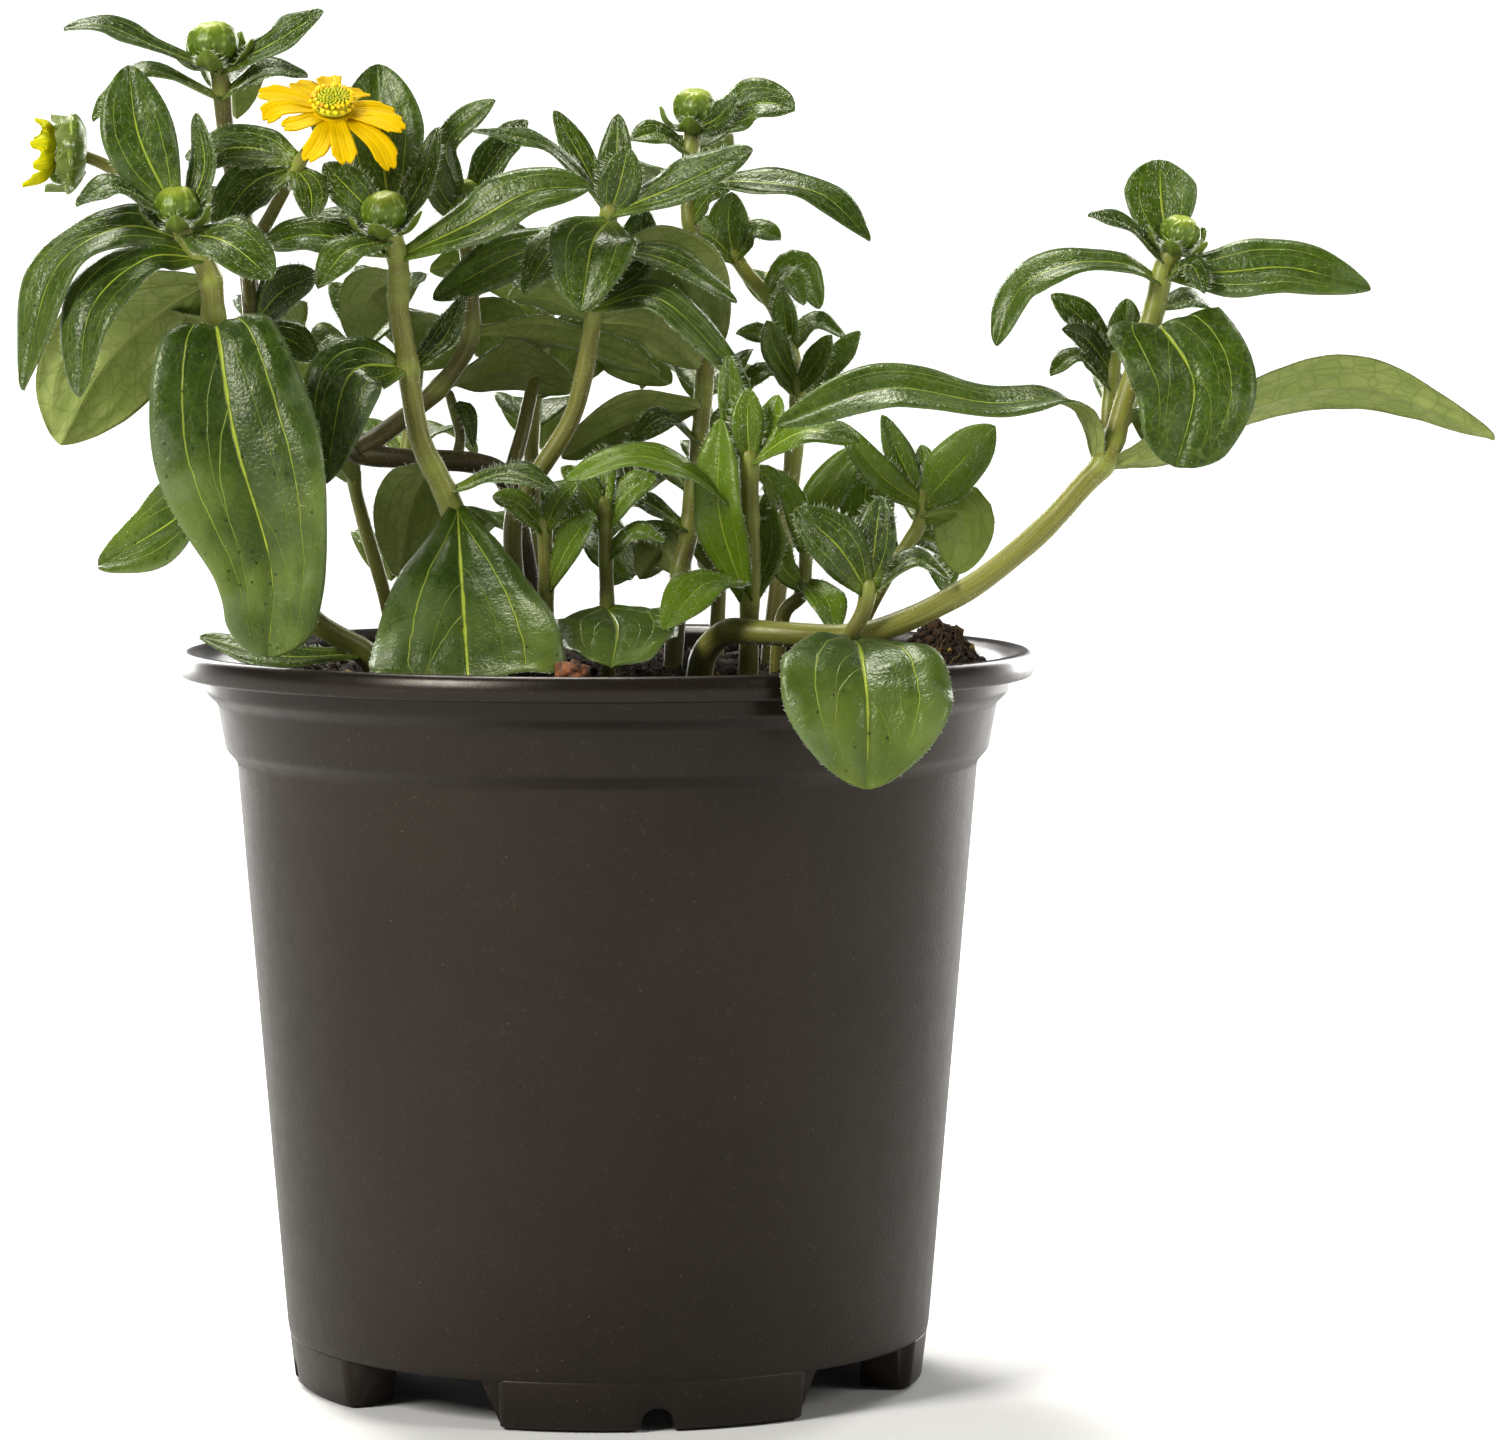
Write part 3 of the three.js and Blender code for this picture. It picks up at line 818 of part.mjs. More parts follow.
let soil = makeSoil();
for (const [, stems] of SHOOTS) {
  soil = soil.subtract(stem(stems[0], GAP));
}
add('pot', makePot(), COLOURS.pot, 0.45);
add('soil', soil, COLOURS.soil, 0.95);
for (const shoot of SHOOTS) {
  add(shoot[0], makeShoot(shoot), COLOURS.plant, 0.5);
}
add('flower_rays', makeFlowerRays(), COLOURS.yellow, 0.5);
add('flower_disc', makeFlowerDisc(), COLOURS.disc, 0.7);
add('side_bloom_rays', makeSideRays(), COLOURS.yellow, 0.5);

export default plant;
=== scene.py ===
# A potted creeping zinnia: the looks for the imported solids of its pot, soil, shoots and blooms.
# The plant's measures are in millimetres from the pot's axis, as in the solids. A mesh is written
# in metres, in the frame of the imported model.
import math

import bmesh
import bpy
import numpy as np
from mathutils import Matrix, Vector


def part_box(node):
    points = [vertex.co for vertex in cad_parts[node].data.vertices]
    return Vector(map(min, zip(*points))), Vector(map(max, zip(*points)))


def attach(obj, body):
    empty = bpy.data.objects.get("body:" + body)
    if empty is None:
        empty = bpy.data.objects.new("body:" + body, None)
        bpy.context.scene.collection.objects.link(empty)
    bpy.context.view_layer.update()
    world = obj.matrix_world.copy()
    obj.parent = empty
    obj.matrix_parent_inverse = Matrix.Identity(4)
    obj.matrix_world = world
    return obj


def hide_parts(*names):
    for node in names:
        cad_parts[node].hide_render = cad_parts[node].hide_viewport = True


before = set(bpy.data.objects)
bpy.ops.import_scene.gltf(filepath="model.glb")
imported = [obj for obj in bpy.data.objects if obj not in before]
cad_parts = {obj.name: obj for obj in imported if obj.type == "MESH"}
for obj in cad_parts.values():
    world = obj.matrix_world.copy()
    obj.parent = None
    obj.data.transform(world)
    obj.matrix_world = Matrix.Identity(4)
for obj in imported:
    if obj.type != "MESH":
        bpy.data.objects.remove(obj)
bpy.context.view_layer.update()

POT_LOW, POT_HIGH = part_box("pot")
AXIS = np.array([500 * (POT_LOW.x + POT_HIGH.x), 0, 0])

# Where the plant is looked at from, and how far down, in degrees. A point of the plant is
# [across, up, back]: where the eye sees it on the pot's middle plane, and how far behind that
# plane it is
EYE = np.array([21.7, -900, 168.5])
PITCH = 4.33
LENS = 141.9
SENSOR = 36

# Pot, from the outside of its floor to its lip, then its inside down again, as [radius, height]
FOOT_HEIGHT = 6.9
POT_PROFILE = [
    [0, 6.9], [48.9, 6.9], [49.2, 8.6], [56.4, 94.5], [58.1, 96.5], [59.3, 103.4], [61, 105],
    [61.3, 108.9], [63.6, 108.8], [63.8, 107.5], [64.8, 107.6], [65, 109.4], [64.6, 110.8],
    [63.8, 111.4], [62.4, 111.1], [60.9, 109.9], [60.1, 108], [59.8, 105.9], [58.1, 104.3],
    [56.9, 97.3], [55.2, 95.3], [47.7, 8.4], [0, 8.4],
]
POT_ROUND = 0.55
POT_SIDES = 192
SKIRT_BOTTOM = 48.1
SKIRT_TOP = 48.9
SKIRT_THICKNESS = 6
FEET = 4
FOOT_TURN = 9.9
FOOT_ARC_BOTTOM = 57
FOOT_ARC_TOP = 64
FOOT_ROUND = 1.5
NOTCH_WIDTH = 5
NOTCH_HEIGHT = 3.2
DRAIN_HOLES = 6
DRAIN_RADIUS = 4
DRAIN_CIRCLE = 38

# Soil
SOIL_TOP = 107.3
SOIL_RADIUS = 59.2
SOIL_SIDE = [[46.9, 8.8], [54.6, 95], [56.4, 97.4], [57.6, 104]]
CLUMP = [50.5, -6, 8.5, 7.5]
BARK = [-4.5, -47, 3.6, 2.6]
SOIL_SIDES = 240
SOIL_RINGS = 60
CRUMBS = 4300
FIBRES = 620
BARK_BITS = 11

# Plant
FOLD = math.radians(12)
PETIOLE = 2.4
BLADE = 0.42
HAIR_WIDTH = 0.085
BRACTS = 5
BUD_SIDES = 60
BUD_PROFILE = [[0, -1], [0.62, -0.76], [0.97, -0.2], [0.93, 0.4], [0.55, 0.85], [0, 0.92]]

# Open flower and side bloom
FLOWER_MIDDLE = [-41.4, 193, -27]
FLOWER_LOOKS = [0.04, -0.62, 0.78]
CUP_PROFILE = [[0, -4.2], [1.6, -3.8], [3.1, -1.6], [3.2, 0], [0, 0]]
HUB_HALF = 0.45
GAP = 0.4
RAY_WIDTH = 4
RAY_SHARES = [[0, 0.5], [0.35, 0.85], [0.75, 1], [1, 0.75]]
RAY_NOTCH = 0.16
SIDE_RAY_SHARES = [[0, 0.7], [0.3, 1.1], [0.55, 1.2], [0.8, 0.9], [1, 0.4]]
SIDE_MIDDLE = [-82.4, 186.6, -19.4]
SIDE_LOOKS = [-1, -0.12, 0.08]
SIDE_CUP_PROFILE = [[0, -3.6], [3, -3.3], [5.2, -1.8], [5.7, -0.4], [0, -0.4]]
SIDE_RAY_WIDTH = 4
SCALE_WIDTH = 6.5
SCALE_FOOT = 3
HUB_SIDES = 40
DISC_RADIUS = 2.35
DISC_FLORETS = 74
RIM_FLORETS = 40
GOLDEN_TURN = 2.39996

# Places in the list of a shoot's materials
UPPER, UNDER, SKIN, SCALES = range(4)

# Forms of a few blades, as pairs of the place along the blade and its share of the width there.
# A draped one bends over its stem and hangs, with wide shoulders and a tongue
DRAPED = [
    [0, 0.14], [0.12, 0.36], [0.25, 0.64], [0.36, 0.84], [0.45, 0.96], [0.54, 1], [0.64, 0.88],
    [0.73, 0.7], [0.86, 0.56], [0.95, 0.5], [1, 0.44],
]
OVAL = [[0, 0.15], [0.12, 0.52], [0.3, 0.88], [0.5, 1], [0.72, 0.92], [0.88, 0.7], [1, 0.5]]

# How lime green the leaves of a shoot are, and how brown each of its stems is
LIME = {
    "middle_right_shoot": 0.75, "small_right_shoot": 0.8, "right_shoot": 0.55,
    "short_shoot_right": 0.6, "short_shoot_left": 0.6, "back_right_shoot": 0.35,
    "arching_shoot": 0.12, "back_left_shoot": 0.35, "far_back_shoot": 0.25,
    "far_left_shoot": 0.35, "far_right_shoot": 0.3,
}
BROWN = {
    "leaning_shoot": [1, 0.75, 0.45, 0.3, 0.45, 0.6],
    "arching_shoot": [0.1, 0.1, 0.05],
    "middle_left_shoot": [0.22],
    "middle_shoot": [0.3],
    "back_shoot": [0.3],
    "left_shoot": [0.12],
}

# Light and floor. A soft box is [name, place, size, power, colour]
WARM = (1, 0.985, 0.94)
WHITE = (1, 1, 1)
LIGHT_AIM = (0, 0, 0.12)
SOFT_BOXES = [
    ["left_softbox", (-1.0, -0.95, 0.95), (0.45, 0.6), 25, WARM],
    ["right_softbox", (1.2, -0.5, 0.75), (0.4, 0.6), 7, WARM],
    ["left_rim", (-0.6, 1.15, 0.45), (0.35, 1.0), 11, WHITE],
    ["right_rim", (0.65, 1.1, 0.45), (0.35, 1.0), 11, WHITE],
]
SUN_POWER = 2.6
SUN_WIDTH = 24
SUN_LEAN = (-24, -12)
EXPOSURE = 0.32
GAMMA = 0.8
FLOOR_RADIUS = 1.4
FLOOR_SIDES = 96
FLOOR_DROP = 0.0004

# The shoots, as [name, stems, leaves, buds]. A stem is [radius at its foot, radius at its top,
# points]. A leaf is [points, width, where its upper side looks, the place of its widest part or
# its form], and where its blade turns over, a last item says where the tip looks. A bud is
# [middle, radius, axis]
SHOOTS = [
    # Stands at the left, with a round bud over two big hanging leaves
    ["left_shoot", [
        [1.7, 1.7, [[-33.5, 103, -12], [-37, 110.5, -14], [-45.2, 116, -19], [-52.5, 127, -23.5],
                    [-57.3, 143, -26.5], [-59.6, 160, -28], [-60.4, 168, -28.5],
                    [-63.5, 173.5, -30], [-65, 177, -31]]],
    ], [
        [[[-59.7, 158.6, -29], [-59.2, 159.6, -35.5], [-56.6, 143, -40.5], [-51.4, 124, -42],
          [-51.8, 109.9, -42.5]], 25.5, [-0.05, -0.2, 1], DRAPED, [-0.1, -1, -0.2]],
        [[[-65.6, 177.6, -31.2], [-70.9, 189, -31], [-72.4, 199.8, -29]], 11, [0.1, -1, 0.1], 0.5],
        [[[-64, 176.7, -30.5], [-61, 184.5, -30], [-62.3, 192.6, -29]], 6, [-0.7, -0.7, 0], 0.5],
        [[[-65.8, 176.8, -31.5], [-74.3, 181.4, -34], [-80.6, 178.7, -35.5]], 7, [0, -0.45, 0.9], 0.5],
        [[[-63.8, 174.5, -31], [-57.5, 173, -37], [-50.8, 167.5, -40.5]], 10.5, [0.2, -0.75, 0.65], 0.5],
        [[[-63, 173, -30], [-73.5, 175.4, -32], [-84, 168.6, -35], [-89, 150.6, -37]],
         10.5, [-0.6, -0.7, 0.45], 0.6],
        [[[-61.6, 170.8, -30], [-70, 170.6, -34], [-78.4, 163, -39], [-80.4, 149.6, -41]],
         11, [-0.55, -0.75, 0.35], 0.6],
        [[[-60.6, 167.5, -27], [-68.5, 162.5, -22], [-77, 154, -19], [-83.4, 142.5, -18]],
         21, [-0.3, 0.9, 0.3], 0.55],
        [[[-56.7, 141, -26], [-65, 131.8, -21], [-77.8, 124, -15]], 17, [-0.4, -0.65, 0.65], 0.5],
        [[[-37.6, 110.5, -14.5], [-50, 110.2, -21], [-62.3, 113.2, -17]], 7.5, [0, -0.5, 0.9], 0.55],
        [[[-59.8, 161.5, -26.5], [-62, 160, -15], [-63, 151, -6]], 15, [0, 0.5, 0.8], 0.45],
    ], [
        [[-65.2, 178.6, -31.3], 3.1, [-0.1, -0.3, 1]],
    ]],
    # Leans over to the left in a brown stem, then forks to the open flower, the side bloom,
    # the top left bud and a short stem in the middle
    ["leaning_shoot", [
        [1.75, 1.3, [[-9, 103, 10], [-10.5, 112, 10], [-13, 127, 8], [-15.2, 136.5, 5],
                     [-20, 139.5, 3], [-30, 140.2, 0], [-39, 141.4, -4], [-44.5, 146.5, -7],
                     [-50, 154, -9], [-53.5, 160.5, -10], [-54.2, 166, -10], [-55.2, 176, -10],
                     [-57.5, 188, -12], [-58.6, 198.5, -13], [-59.3, 201, -13]]],
        [1.6, 1.1, [[-38.5, 141.4, -4], [-34.6, 143.7, -2], [-30, 147.2, -1], [-25.2, 151.4, -1],
                    [-21, 157.8, -2], [-20.7, 165, -3], [-21.3, 174, -4], [-21.5, 179, -4]]],
        [1.1, 0.9, [[-54, 163, -10], [-54.2, 170.5, -13], [-50.5, 178, -18], [-46, 186, -23],
                    [-42.5, 190.2, -26]]],
        [1, 0.85, [[-54.4, 168, -10], [-62, 175.5, -14], [-68, 179.5, -16.5], [-75.3, 184.3, -18.5],
                   [-79, 186, -19]]],
        [1.2, 0.9, [[-15, 137, 5], [-13, 144, 8], [-11.6, 150, 10], [-9.5, 158, 13],
                    [-8.8, 165, 14]]],
        [0.9, 0.7, [[-23, 140, 2.6], [-22.4, 144, 4], [-24, 150, 5]]],
    ], [
        [[[-59, 199, -13.5], [-68.3, 202.6, -17], [-76, 205.8, -19], [-82.2, 205.3, -20]],
         7, [0, -0.45, 0.9], 0.5],
        [[[-58.4, 199, -13.5], [-50, 203.4, -16], [-42.9, 208, -17]], 7, [-0.5, -0.65, 0.6], 0.6],
        [[[-58.6, 195, -13.5], [-70, 198.9, -18], [-78, 191.5, -21]], 7, [-0.2, -0.4, 0.9], 0.5],
        [[[-58.2, 195, -13.5], [-51.5, 199, -15], [-45.2, 198.2, -15]], 6, [0, -0.5, 0.85], 0.5],
        [[[-58.2, 196, -12], [-56.5, 199, -3], [-56, 192, 6]], 10, [0, 0.5, 0.9], 0.45],
        [[[-46.8, 185.4, -22], [-55, 187.4, -19], [-64, 186, -16.5]], 9, [0, -0.75, 0.65], 0.5],
        [[[-46.9, 184.6, -22], [-54, 181.8, -20.5], [-59.5, 174.5, -19.5]], 9, [-0.3, -0.9, 0.3], 0.5],
        [[[-47, 184, -22], [-45, 181, -25.5], [-44.8, 176.5, -27]], 5.5, [0.2, -0.9, 0.3], 0.5],
        [[[-53.5, 161, -10.5], [-49.5, 165.5, -14], [-44, 168.3, -16]], 8, [-0.5, -0.8, 0.3], 0.5],
        [[[-53.2, 159.6, -10.5], [-48.5, 158.4, -14], [-44, 155.3, -15.5]], 6, [-0.3, -0.8, 0.5], 0.5],
        [[[-53.6, 161, -9], [-51, 164, 0], [-48, 158, 8]], 11, [0.1, 0.4, 0.9], 0.45],
        [[[-55.3, 177, -9], [-58, 181, -1], [-61, 176, 7]], 10, [-0.1, 0.4, 0.9], 0.45],
        [[[-21, 179, -3.5], [-17, 186, -3], [-12, 191.5, -3]], 7, [-0.6, -0.75, 0.2], 0.5],
        [[[-21.9, 179, -4], [-24.2, 188, -6], [-17, 194.6, -8]], 6.5, [-0.7, -0.65, 0.2], 0.5],
        [[[-21.9, 176, -5], [-25.5, 181.5, -7.5], [-27, 188, -8.5]], 5.5, [0.4, -0.9, 0.2], 0.5],
        [[[-20.3, 160, -1], [-7, 158.5, 2], [8, 153.2, 3.5]], 16, [0, 0.3, 1], 0.5],
        [[[-21, 160.4, -2.4], [-27, 161.5, 8], [-30, 155, 15]], 12, [-0.1, 0.4, 0.9], 0.45],
        [[[-25.4, 151.4, 0], [-16.5, 154, 8], [-5, 150.5, 13]], 15, [0, 0.55, 0.8], 0.5],
        [[[-21, 172, -3], [-17, 175, 5], [-15, 169, 12]], 10, [0.1, 0.4, 0.9], 0.45],
        [[[-9.4, 163, 14.5], [-15.5, 168, 17], [-20, 165, 19]], 8, [-0.1, 0, 1], 0.45],
        [[[-8.4, 163, 14.5], [-2.5, 168.5, 18], [2.5, 166, 22]], 8, [0.1, 0.2, 1], 0.45],
        [[[-8.9, 164.2, 14], [-9.5, 170.5, 18], [-11.5, 173.5, 22]], 7, [0, -0.4, 0.9], 0.45],
        [[[-23.2, 147, 4.8], [-21.5, 147.5, 3.5], [-20.3, 142, 3.2]], 3, [0.5, -0.8, 0.2], 0.5],
    ], [
        [[-59.6, 203.2, -13.2], 3.5, [-0.1, -0.2, 1]],
        [[-21.6, 180.7, -4.2], 2.1, [0, -0.2, 1]],
    ]],
    # Stands in front of it, with the broad leaf that lies down to the soil
    ["middle_left_shoot", [
        [1.8, 1.5, [[-20.5, 103, -19], [-21.3, 115, -19], [-22.3, 126, -18.5], [-24.2, 134, -18],
                    [-28.3, 142.7, -18], [-29.8, 150.3, -18], [-30.4, 155, -18.2],
                    [-31.7, 163.3, -19], [-31.7, 170, -20], [-33.3, 176, -21.5]]],
    ], [
        [[[-32.6, 175, -20.5], [-34.2, 188, -14], [-34.8, 200, -10]], 13.6, [-0.1, -1, 0.1], 0.55],
        [[[-31.2, 171, -20.5], [-20.6, 176, -24.5], [-11.5, 180.8, -26], [-2.3, 181.5, -26]],
         9.5, [0, -0.8, 0.55], 0.5],
        [[[-33.8, 175.6, -21.5], [-39, 181, -23], [-42.9, 185, -22.5]], 6.5, [0.3, -0.95, 0.1], 0.5],
        [[[-32.7, 174.6, -20.5], [-28.3, 182, -19.5], [-25.6, 190.5, -17]], 5, [-0.5, -0.85, 0.1], 0.5],
        [[[-33, 173.4, -21.5], [-39.5, 171.7, -27], [-44, 166.2, -30]], 6.5, [-0.1, -0.7, 0.7], 0.5],
        [[[-32, 168, -19], [-36, 165, -14], [-38, 157.5, -11]], 9, [-0.1, 0.95, 0.3], 0.5],
        [[[-32.2, 171.5, -20.5], [-44, 174.2, -22.5], [-52.5, 172.6, -24]], 7.5, [0, -0.75, 0.65], 0.5],
        [[[-32.6, 174.4, -20.5], [-40, 177.2, -20], [-46.4, 176, -19.6]], 4.5, [0, -0.5, 0.85], 0.5],
        [[[-30, 153.6, -17.5], [-24.8, 158.5, -13.5], [-21.8, 165, -12]], 5.5, [-0.6, -0.75, 0.2], 0.5],
        [[[-30.6, 154.4, -18.5], [-39.3, 152.8, -23.5], [-43, 136.5, -26]], 13, [-0.35, -0.85, 0.4], 0.5],
        [[[-22.9, 133, -19.5], [-22.2, 121, -33], [-21.4, 108.4, -45], [-21, 105.6, -51.5]],
         29, [0, -0.75, 0.65], 0.68],
        [[[-23.4, 135.5, -18.5], [-15, 138, -22], [-7.5, 135.3, -25]], 6, [0, -0.5, 0.85], 0.5],
        [[[-26.6, 139.5, -16.5], [-29.8, 133, -10], [-31.6, 122, -6.5]], 11.5, [0, 1, 0.2], 0.5],
        [[[-31.9, 165.5, -17.5], [-33, 168, -7], [-34, 161, 1]], 11, [0, 0.5, 0.85], 0.45],
    ], [
        [[-33.8, 177.8, -22], 3.2, [-0.1, -0.35, 1]],
    ]],
    # Stands in the middle, with a glossy leaf hanging in front
    ["middle_shoot", [
        [1.5, 1.3, [[-12.5, 103, -3], [-13.5, 115, -4], [-14.4, 130, -5], [-11.6, 136.4, -6],
                    [-5.8, 145.6, -7], [-3.6, 152.8, -8], [-2.3, 160, -8.5], [-0.7, 170, -9],
                    [0.3, 178, -10]]],
    ], [
        [[[0.3, 177, -10.2], [2, 182, -12], [3.2, 187.5, -12.5]], 6.5, [0.1, -1, 0.1], 0.5],
        [[[0.4, 178, -9.7], [1.4, 186, -9.5], [1.7, 192.5, -8.5]], 5.5, [-0.3, -1, 0.1], 0.4],
        [[[0.6, 177.5, -10.5], [11, 181.8, -13.5], [22.1, 187.2, -14.5]], 8, [-0.2, -0.75, 0.6], 0.6],
        [[[0, 178.5, -9.5], [-9, 187.4, -14], [-20.2, 190, -16]], 6, [0, -0.45, 0.9], 0.5],
        [[[0, 178.5, -9], [-4.4, 186.6, -6], [-8, 193, -4.5]], 4.5, [0.4, -0.9, 0.1], 0.5],
        [[[0.3, 176.5, -11], [-2.3, 172.5, -18.5], [-4, 162.5, -21.5]], 13, [0, -0.9, 0.45], 0.45],
        [[[-0.2, 175.5, -10.5], [-7.5, 173, -14.5], [-12.7, 165.3, -17]], 8, [-0.35, -0.7, 0.6], 0.5],
        [[[-1.8, 163.2, -9.5], [8.5, 164.2, -16], [21.8, 150.8, -19.5]], 7, [0.2, -0.7, 0.65], 0.5],
        [[[0, 172.5, -9.8], [10, 170, -11], [19.8, 164, -11]], 6.5, [0.1, -0.5, 0.85], 0.5],
        [[[0, 172, -8], [10, 169, -3], [17, 157, -1]], 15, [0.2, 0.85, 0.5], 0.5],
        [[[-2.4, 161.4, -8.5], [-8.5, 164.6, -9], [-15, 165, -9]], 8, [0, 0.6, 0.8], 0.5],
        [[[-1.8, 161.4, -8.5], [7, 160.2, -8], [14, 154, -7]], 10, [0, 0.75, 0.65], 0.5],
        [[[0.4, 178, -9], [3.5, 182, -1], [5, 178, 6]], 8, [0.1, 0.4, 0.9], 0.45],
        [[[-0.4, 173.5, -10], [-13, 171.5, -10.5], [-26.5, 164.5, -9]], 8, [0.2, -0.8, 0.5], 0.6],
        [[[-1.2, 164.5, -8.2], [4.2, 171, -5], [5.5, 178.5, -3.5]], 7, [0, -1, 0.1], 0.5],
    ], []],
    # Stands behind it and reaches the bud at the top of the middle
    ["back_shoot", [
        [1.5, 1.2, [[9.5, 103, 5], [11, 122, 7], [12.2, 128, 7.5], [13.8, 141, 8.5],
                    [14.5, 148.7, 9], [14.9, 156.3, 9.5], [14, 168, 11], [12.4, 178, 12.5],
                    [12.6, 186, 13.5], [13.2, 191, 14]]],
    ], [
        [[[13.4, 189.5, 12.8], [18, 192, 11], [23.3, 194.2, 9], [28.5, 193.2, 7]],
         9.5, [-0.1, -0.75, 0.65], 0.55],
        [[[13.4, 190, 12.8], [17, 192, 9], [19.9, 195, 7.5]], 4.5, [-0.3, -0.8, 0.4], 0.5],
        [[[12.8, 182, 12.5], [22, 182.2, 9], [32.4, 180.4, 6], [40, 173.4, 3]],
         8, [0, -0.5, 0.85], 0.5],
        [[[12.7, 176, 12], [15.5, 180, 9.5], [18.5, 181, 7.5]], 4.5, [-0.2, -0.7, 0.6], 0.5],
        [[[12.6, 186.5, 13], [8, 189.4, 10], [3.5, 188.6, 8]], 6, [0.1, -0.6, 0.75], 0.5],
        [[[12.6, 182.4, 14.5], [5, 184, 22], [1, 177, 28]], 11, [-0.2, 0.4, 0.9], 0.45],
        [[[13, 187, 14.8], [14.5, 188.5, 23], [16, 181, 30]], 10, [0.1, 0.5, 0.9], 0.45],
        [[[14.2, 148.4, 8], [3.5, 146, 8], [-7, 140.5, 9]], 10, [0.1, 0.75, 0.65], 0.5],
        [[[13.6, 143, 8], [8.5, 146.5, 4], [2.6, 141.6, 1]], 5, [0, -0.5, 0.85], 0.5],
        [[[12.2, 129.5, 7], [4, 134, 4.5], [-4.2, 130, 2.5]], 7, [0, -0.45, 0.9], 0.5],
        [[[11.1, 123, 7.5], [8.2, 126.6, 9], [4.8, 122, 10]], 7, [0, 0.9, 0.4], 0.5],
        [[[14.6, 151, 10.5], [16, 155, 20], [14, 149, 28]], 13, [-0.1, 0.4, 0.9], 0.45],
        [[[12.8, 135, 9.2], [8, 139.5, 18], [3, 134, 26]], 13, [-0.1, 0.4, 0.9], 0.45],
    ], [
        [[13.4, 193.4, 14], 3.2, [0.1, -0.3, 1]],
    ]],
    # Two short stems near the middle of the front
    ["short_shoot_right", [
        [1.1, 1, [[0.2, 103, -10], [-0.1, 119.2, -11], [-0.4, 128.6, -12], [-0.5, 133.5, -12.5]]],
    ], [
        [[[-0.1, 117.6, -11.8], [1.4, 114.4, -26], [0.6, 108.8, -41]], 18.8, [0, -0.4, 0.95], OVAL],
        [[[-0.6, 130, -12.3], [-3.2, 135.5, -13.5], [-7, 139, -14]], 5, [0.5, -0.85, 0.1], 0.5],
        [[[-0.3, 130, -12], [3.4, 135.5, -12.5], [7.5, 137.5, -12.5]], 5, [-0.4, -0.85, 0.3], 0.5],
        [[[-0.5, 132.6, -12.5], [-0.9, 138, -11.5], [0.4, 142, -10.5]], 4.5, [0, -1, 0.1], 0.5],
        [[[-0.2, 125, -11.5], [4, 129, -12.5], [8.8, 127.5, -13]], 5, [0, -0.5, 0.85], 0.5],
    ], []],
    ["short_shoot_left", [
        [1.3, 1.1, [[-9.6, 103, -12], [-9.4, 120, -13], [-9.6, 131, -13.6]]],
    ], [
        [[[-9.1, 120.5, -13.6], [-5.6, 127.5, -17], [-2, 132, -18.5]], 6, [-0.4, -0.75, 0.5], 0.5],
        [[[-9.5, 129.5, -14.2], [-7.4, 134, -16.5], [-4.4, 137, -18]], 4.5, [-0.4, -0.85, 0.3], 0.5],
        [[[-9.8, 129.5, -14.2], [-13.6, 133.4, -15], [-17.5, 134.6, -14.6]], 5, [0.1, -0.7, 0.7], 0.5],
    ], []],
    # Stands at the right of the middle, lime green at the top
    ["middle_right_shoot", [
        [1.5, 1.4, [[21.4, 103, -18], [21.6, 116.7, -19.6], [21.8, 125.8, -21], [21.6, 132, -22],
                    [21.6, 140.6, -23]]],
    ], [
        [[[21, 131.5, -22.6], [12, 138.4, -28], [3.5, 140.6, -30.5], [-6.3, 137, -32]],
         8, [0, -0.5, 0.9], 0.6],
        [[[21.6, 140, -23.6], [21.3, 145.5, -25], [21.5, 151, -24.5]], 5, [0.1, -1, 0.1], 0.5],
        [[[21.9, 140, -23.2], [24.6, 145.5, -23], [26, 150, -22]], 5, [-0.5, -0.85, 0.1], 0.5],
        [[[22, 139.8, -23.6], [30, 144.4, -27.5], [38.3, 142.8, -30]], 7.5, [0, -0.6, 0.8], 0.5],
        [[[21.3, 140.2, -22.6], [18.9, 148, -21.6], [18.5, 156, -20]], 5, [0.5, -0.85, 0.1], 0.5],
        [[[21.1, 118.5, -20.8], [17, 132, -24.5], [17.2, 146.5, -23.5]], 8.5, [-0.45, -0.85, 0.1], 0.5],
        [[[22.2, 119, -19.4], [25, 127, -18.4], [24, 135, -19]], 5, [-0.5, -0.85, 0.1], 0.5],
        [[[22.2, 138.4, -22], [24.7, 137, -20.5], [25.3, 132.6, -20]], 3.5, [0.3, -0.8, 0.3], 0.5],
        [[[21, 121.5, -21.5], [14.5, 121, -30], [8.5, 114.2, -35.5]], 9, [-0.2, -0.65, 0.75], 0.5],
        [[[22, 130.6, -20.8], [23.5, 134.5, -10], [22.5, 130, -2]], 8, [0.1, 0.4, 0.9], 0.45],
    ], []],
    ["small_right_shoot", [
        [1.2, 1, [[25.5, 103, -9], [26.6, 115.8, -11], [29.6, 119.8, -12], [30.4, 127, -12.5]]],
    ], [
        [[[30.2, 126.4, -12.7], [28.6, 132.6, -15], [25.9, 138.6, -16]], 4.5, [0.5, -0.85, 0.1], 0.5],
        [[[30.5, 126.6, -12.5], [33.2, 135, -12], [39, 142.4, -12]], 7, [-0.5, -0.85, 0.1], 0.5],
        [[[29.8, 120.6, -12.6], [26.5, 124.2, -15.5], [25.8, 130, -16.5]], 4.5, [0.3, -0.9, 0.3], 0.5],
        [[[30, 121.5, -12.6], [33.2, 119, -17], [34.8, 113.8, -19.5]], 6, [0.2, -0.7, 0.6], 0.5],
        [[[30.2, 126, -11.6], [31.5, 130.5, -4], [31, 126, 3]], 8, [0, 0.4, 0.9], 0.45],
    ], []],
    # A small shoot at the right, with two round ended leaves
    ["right_shoot", [
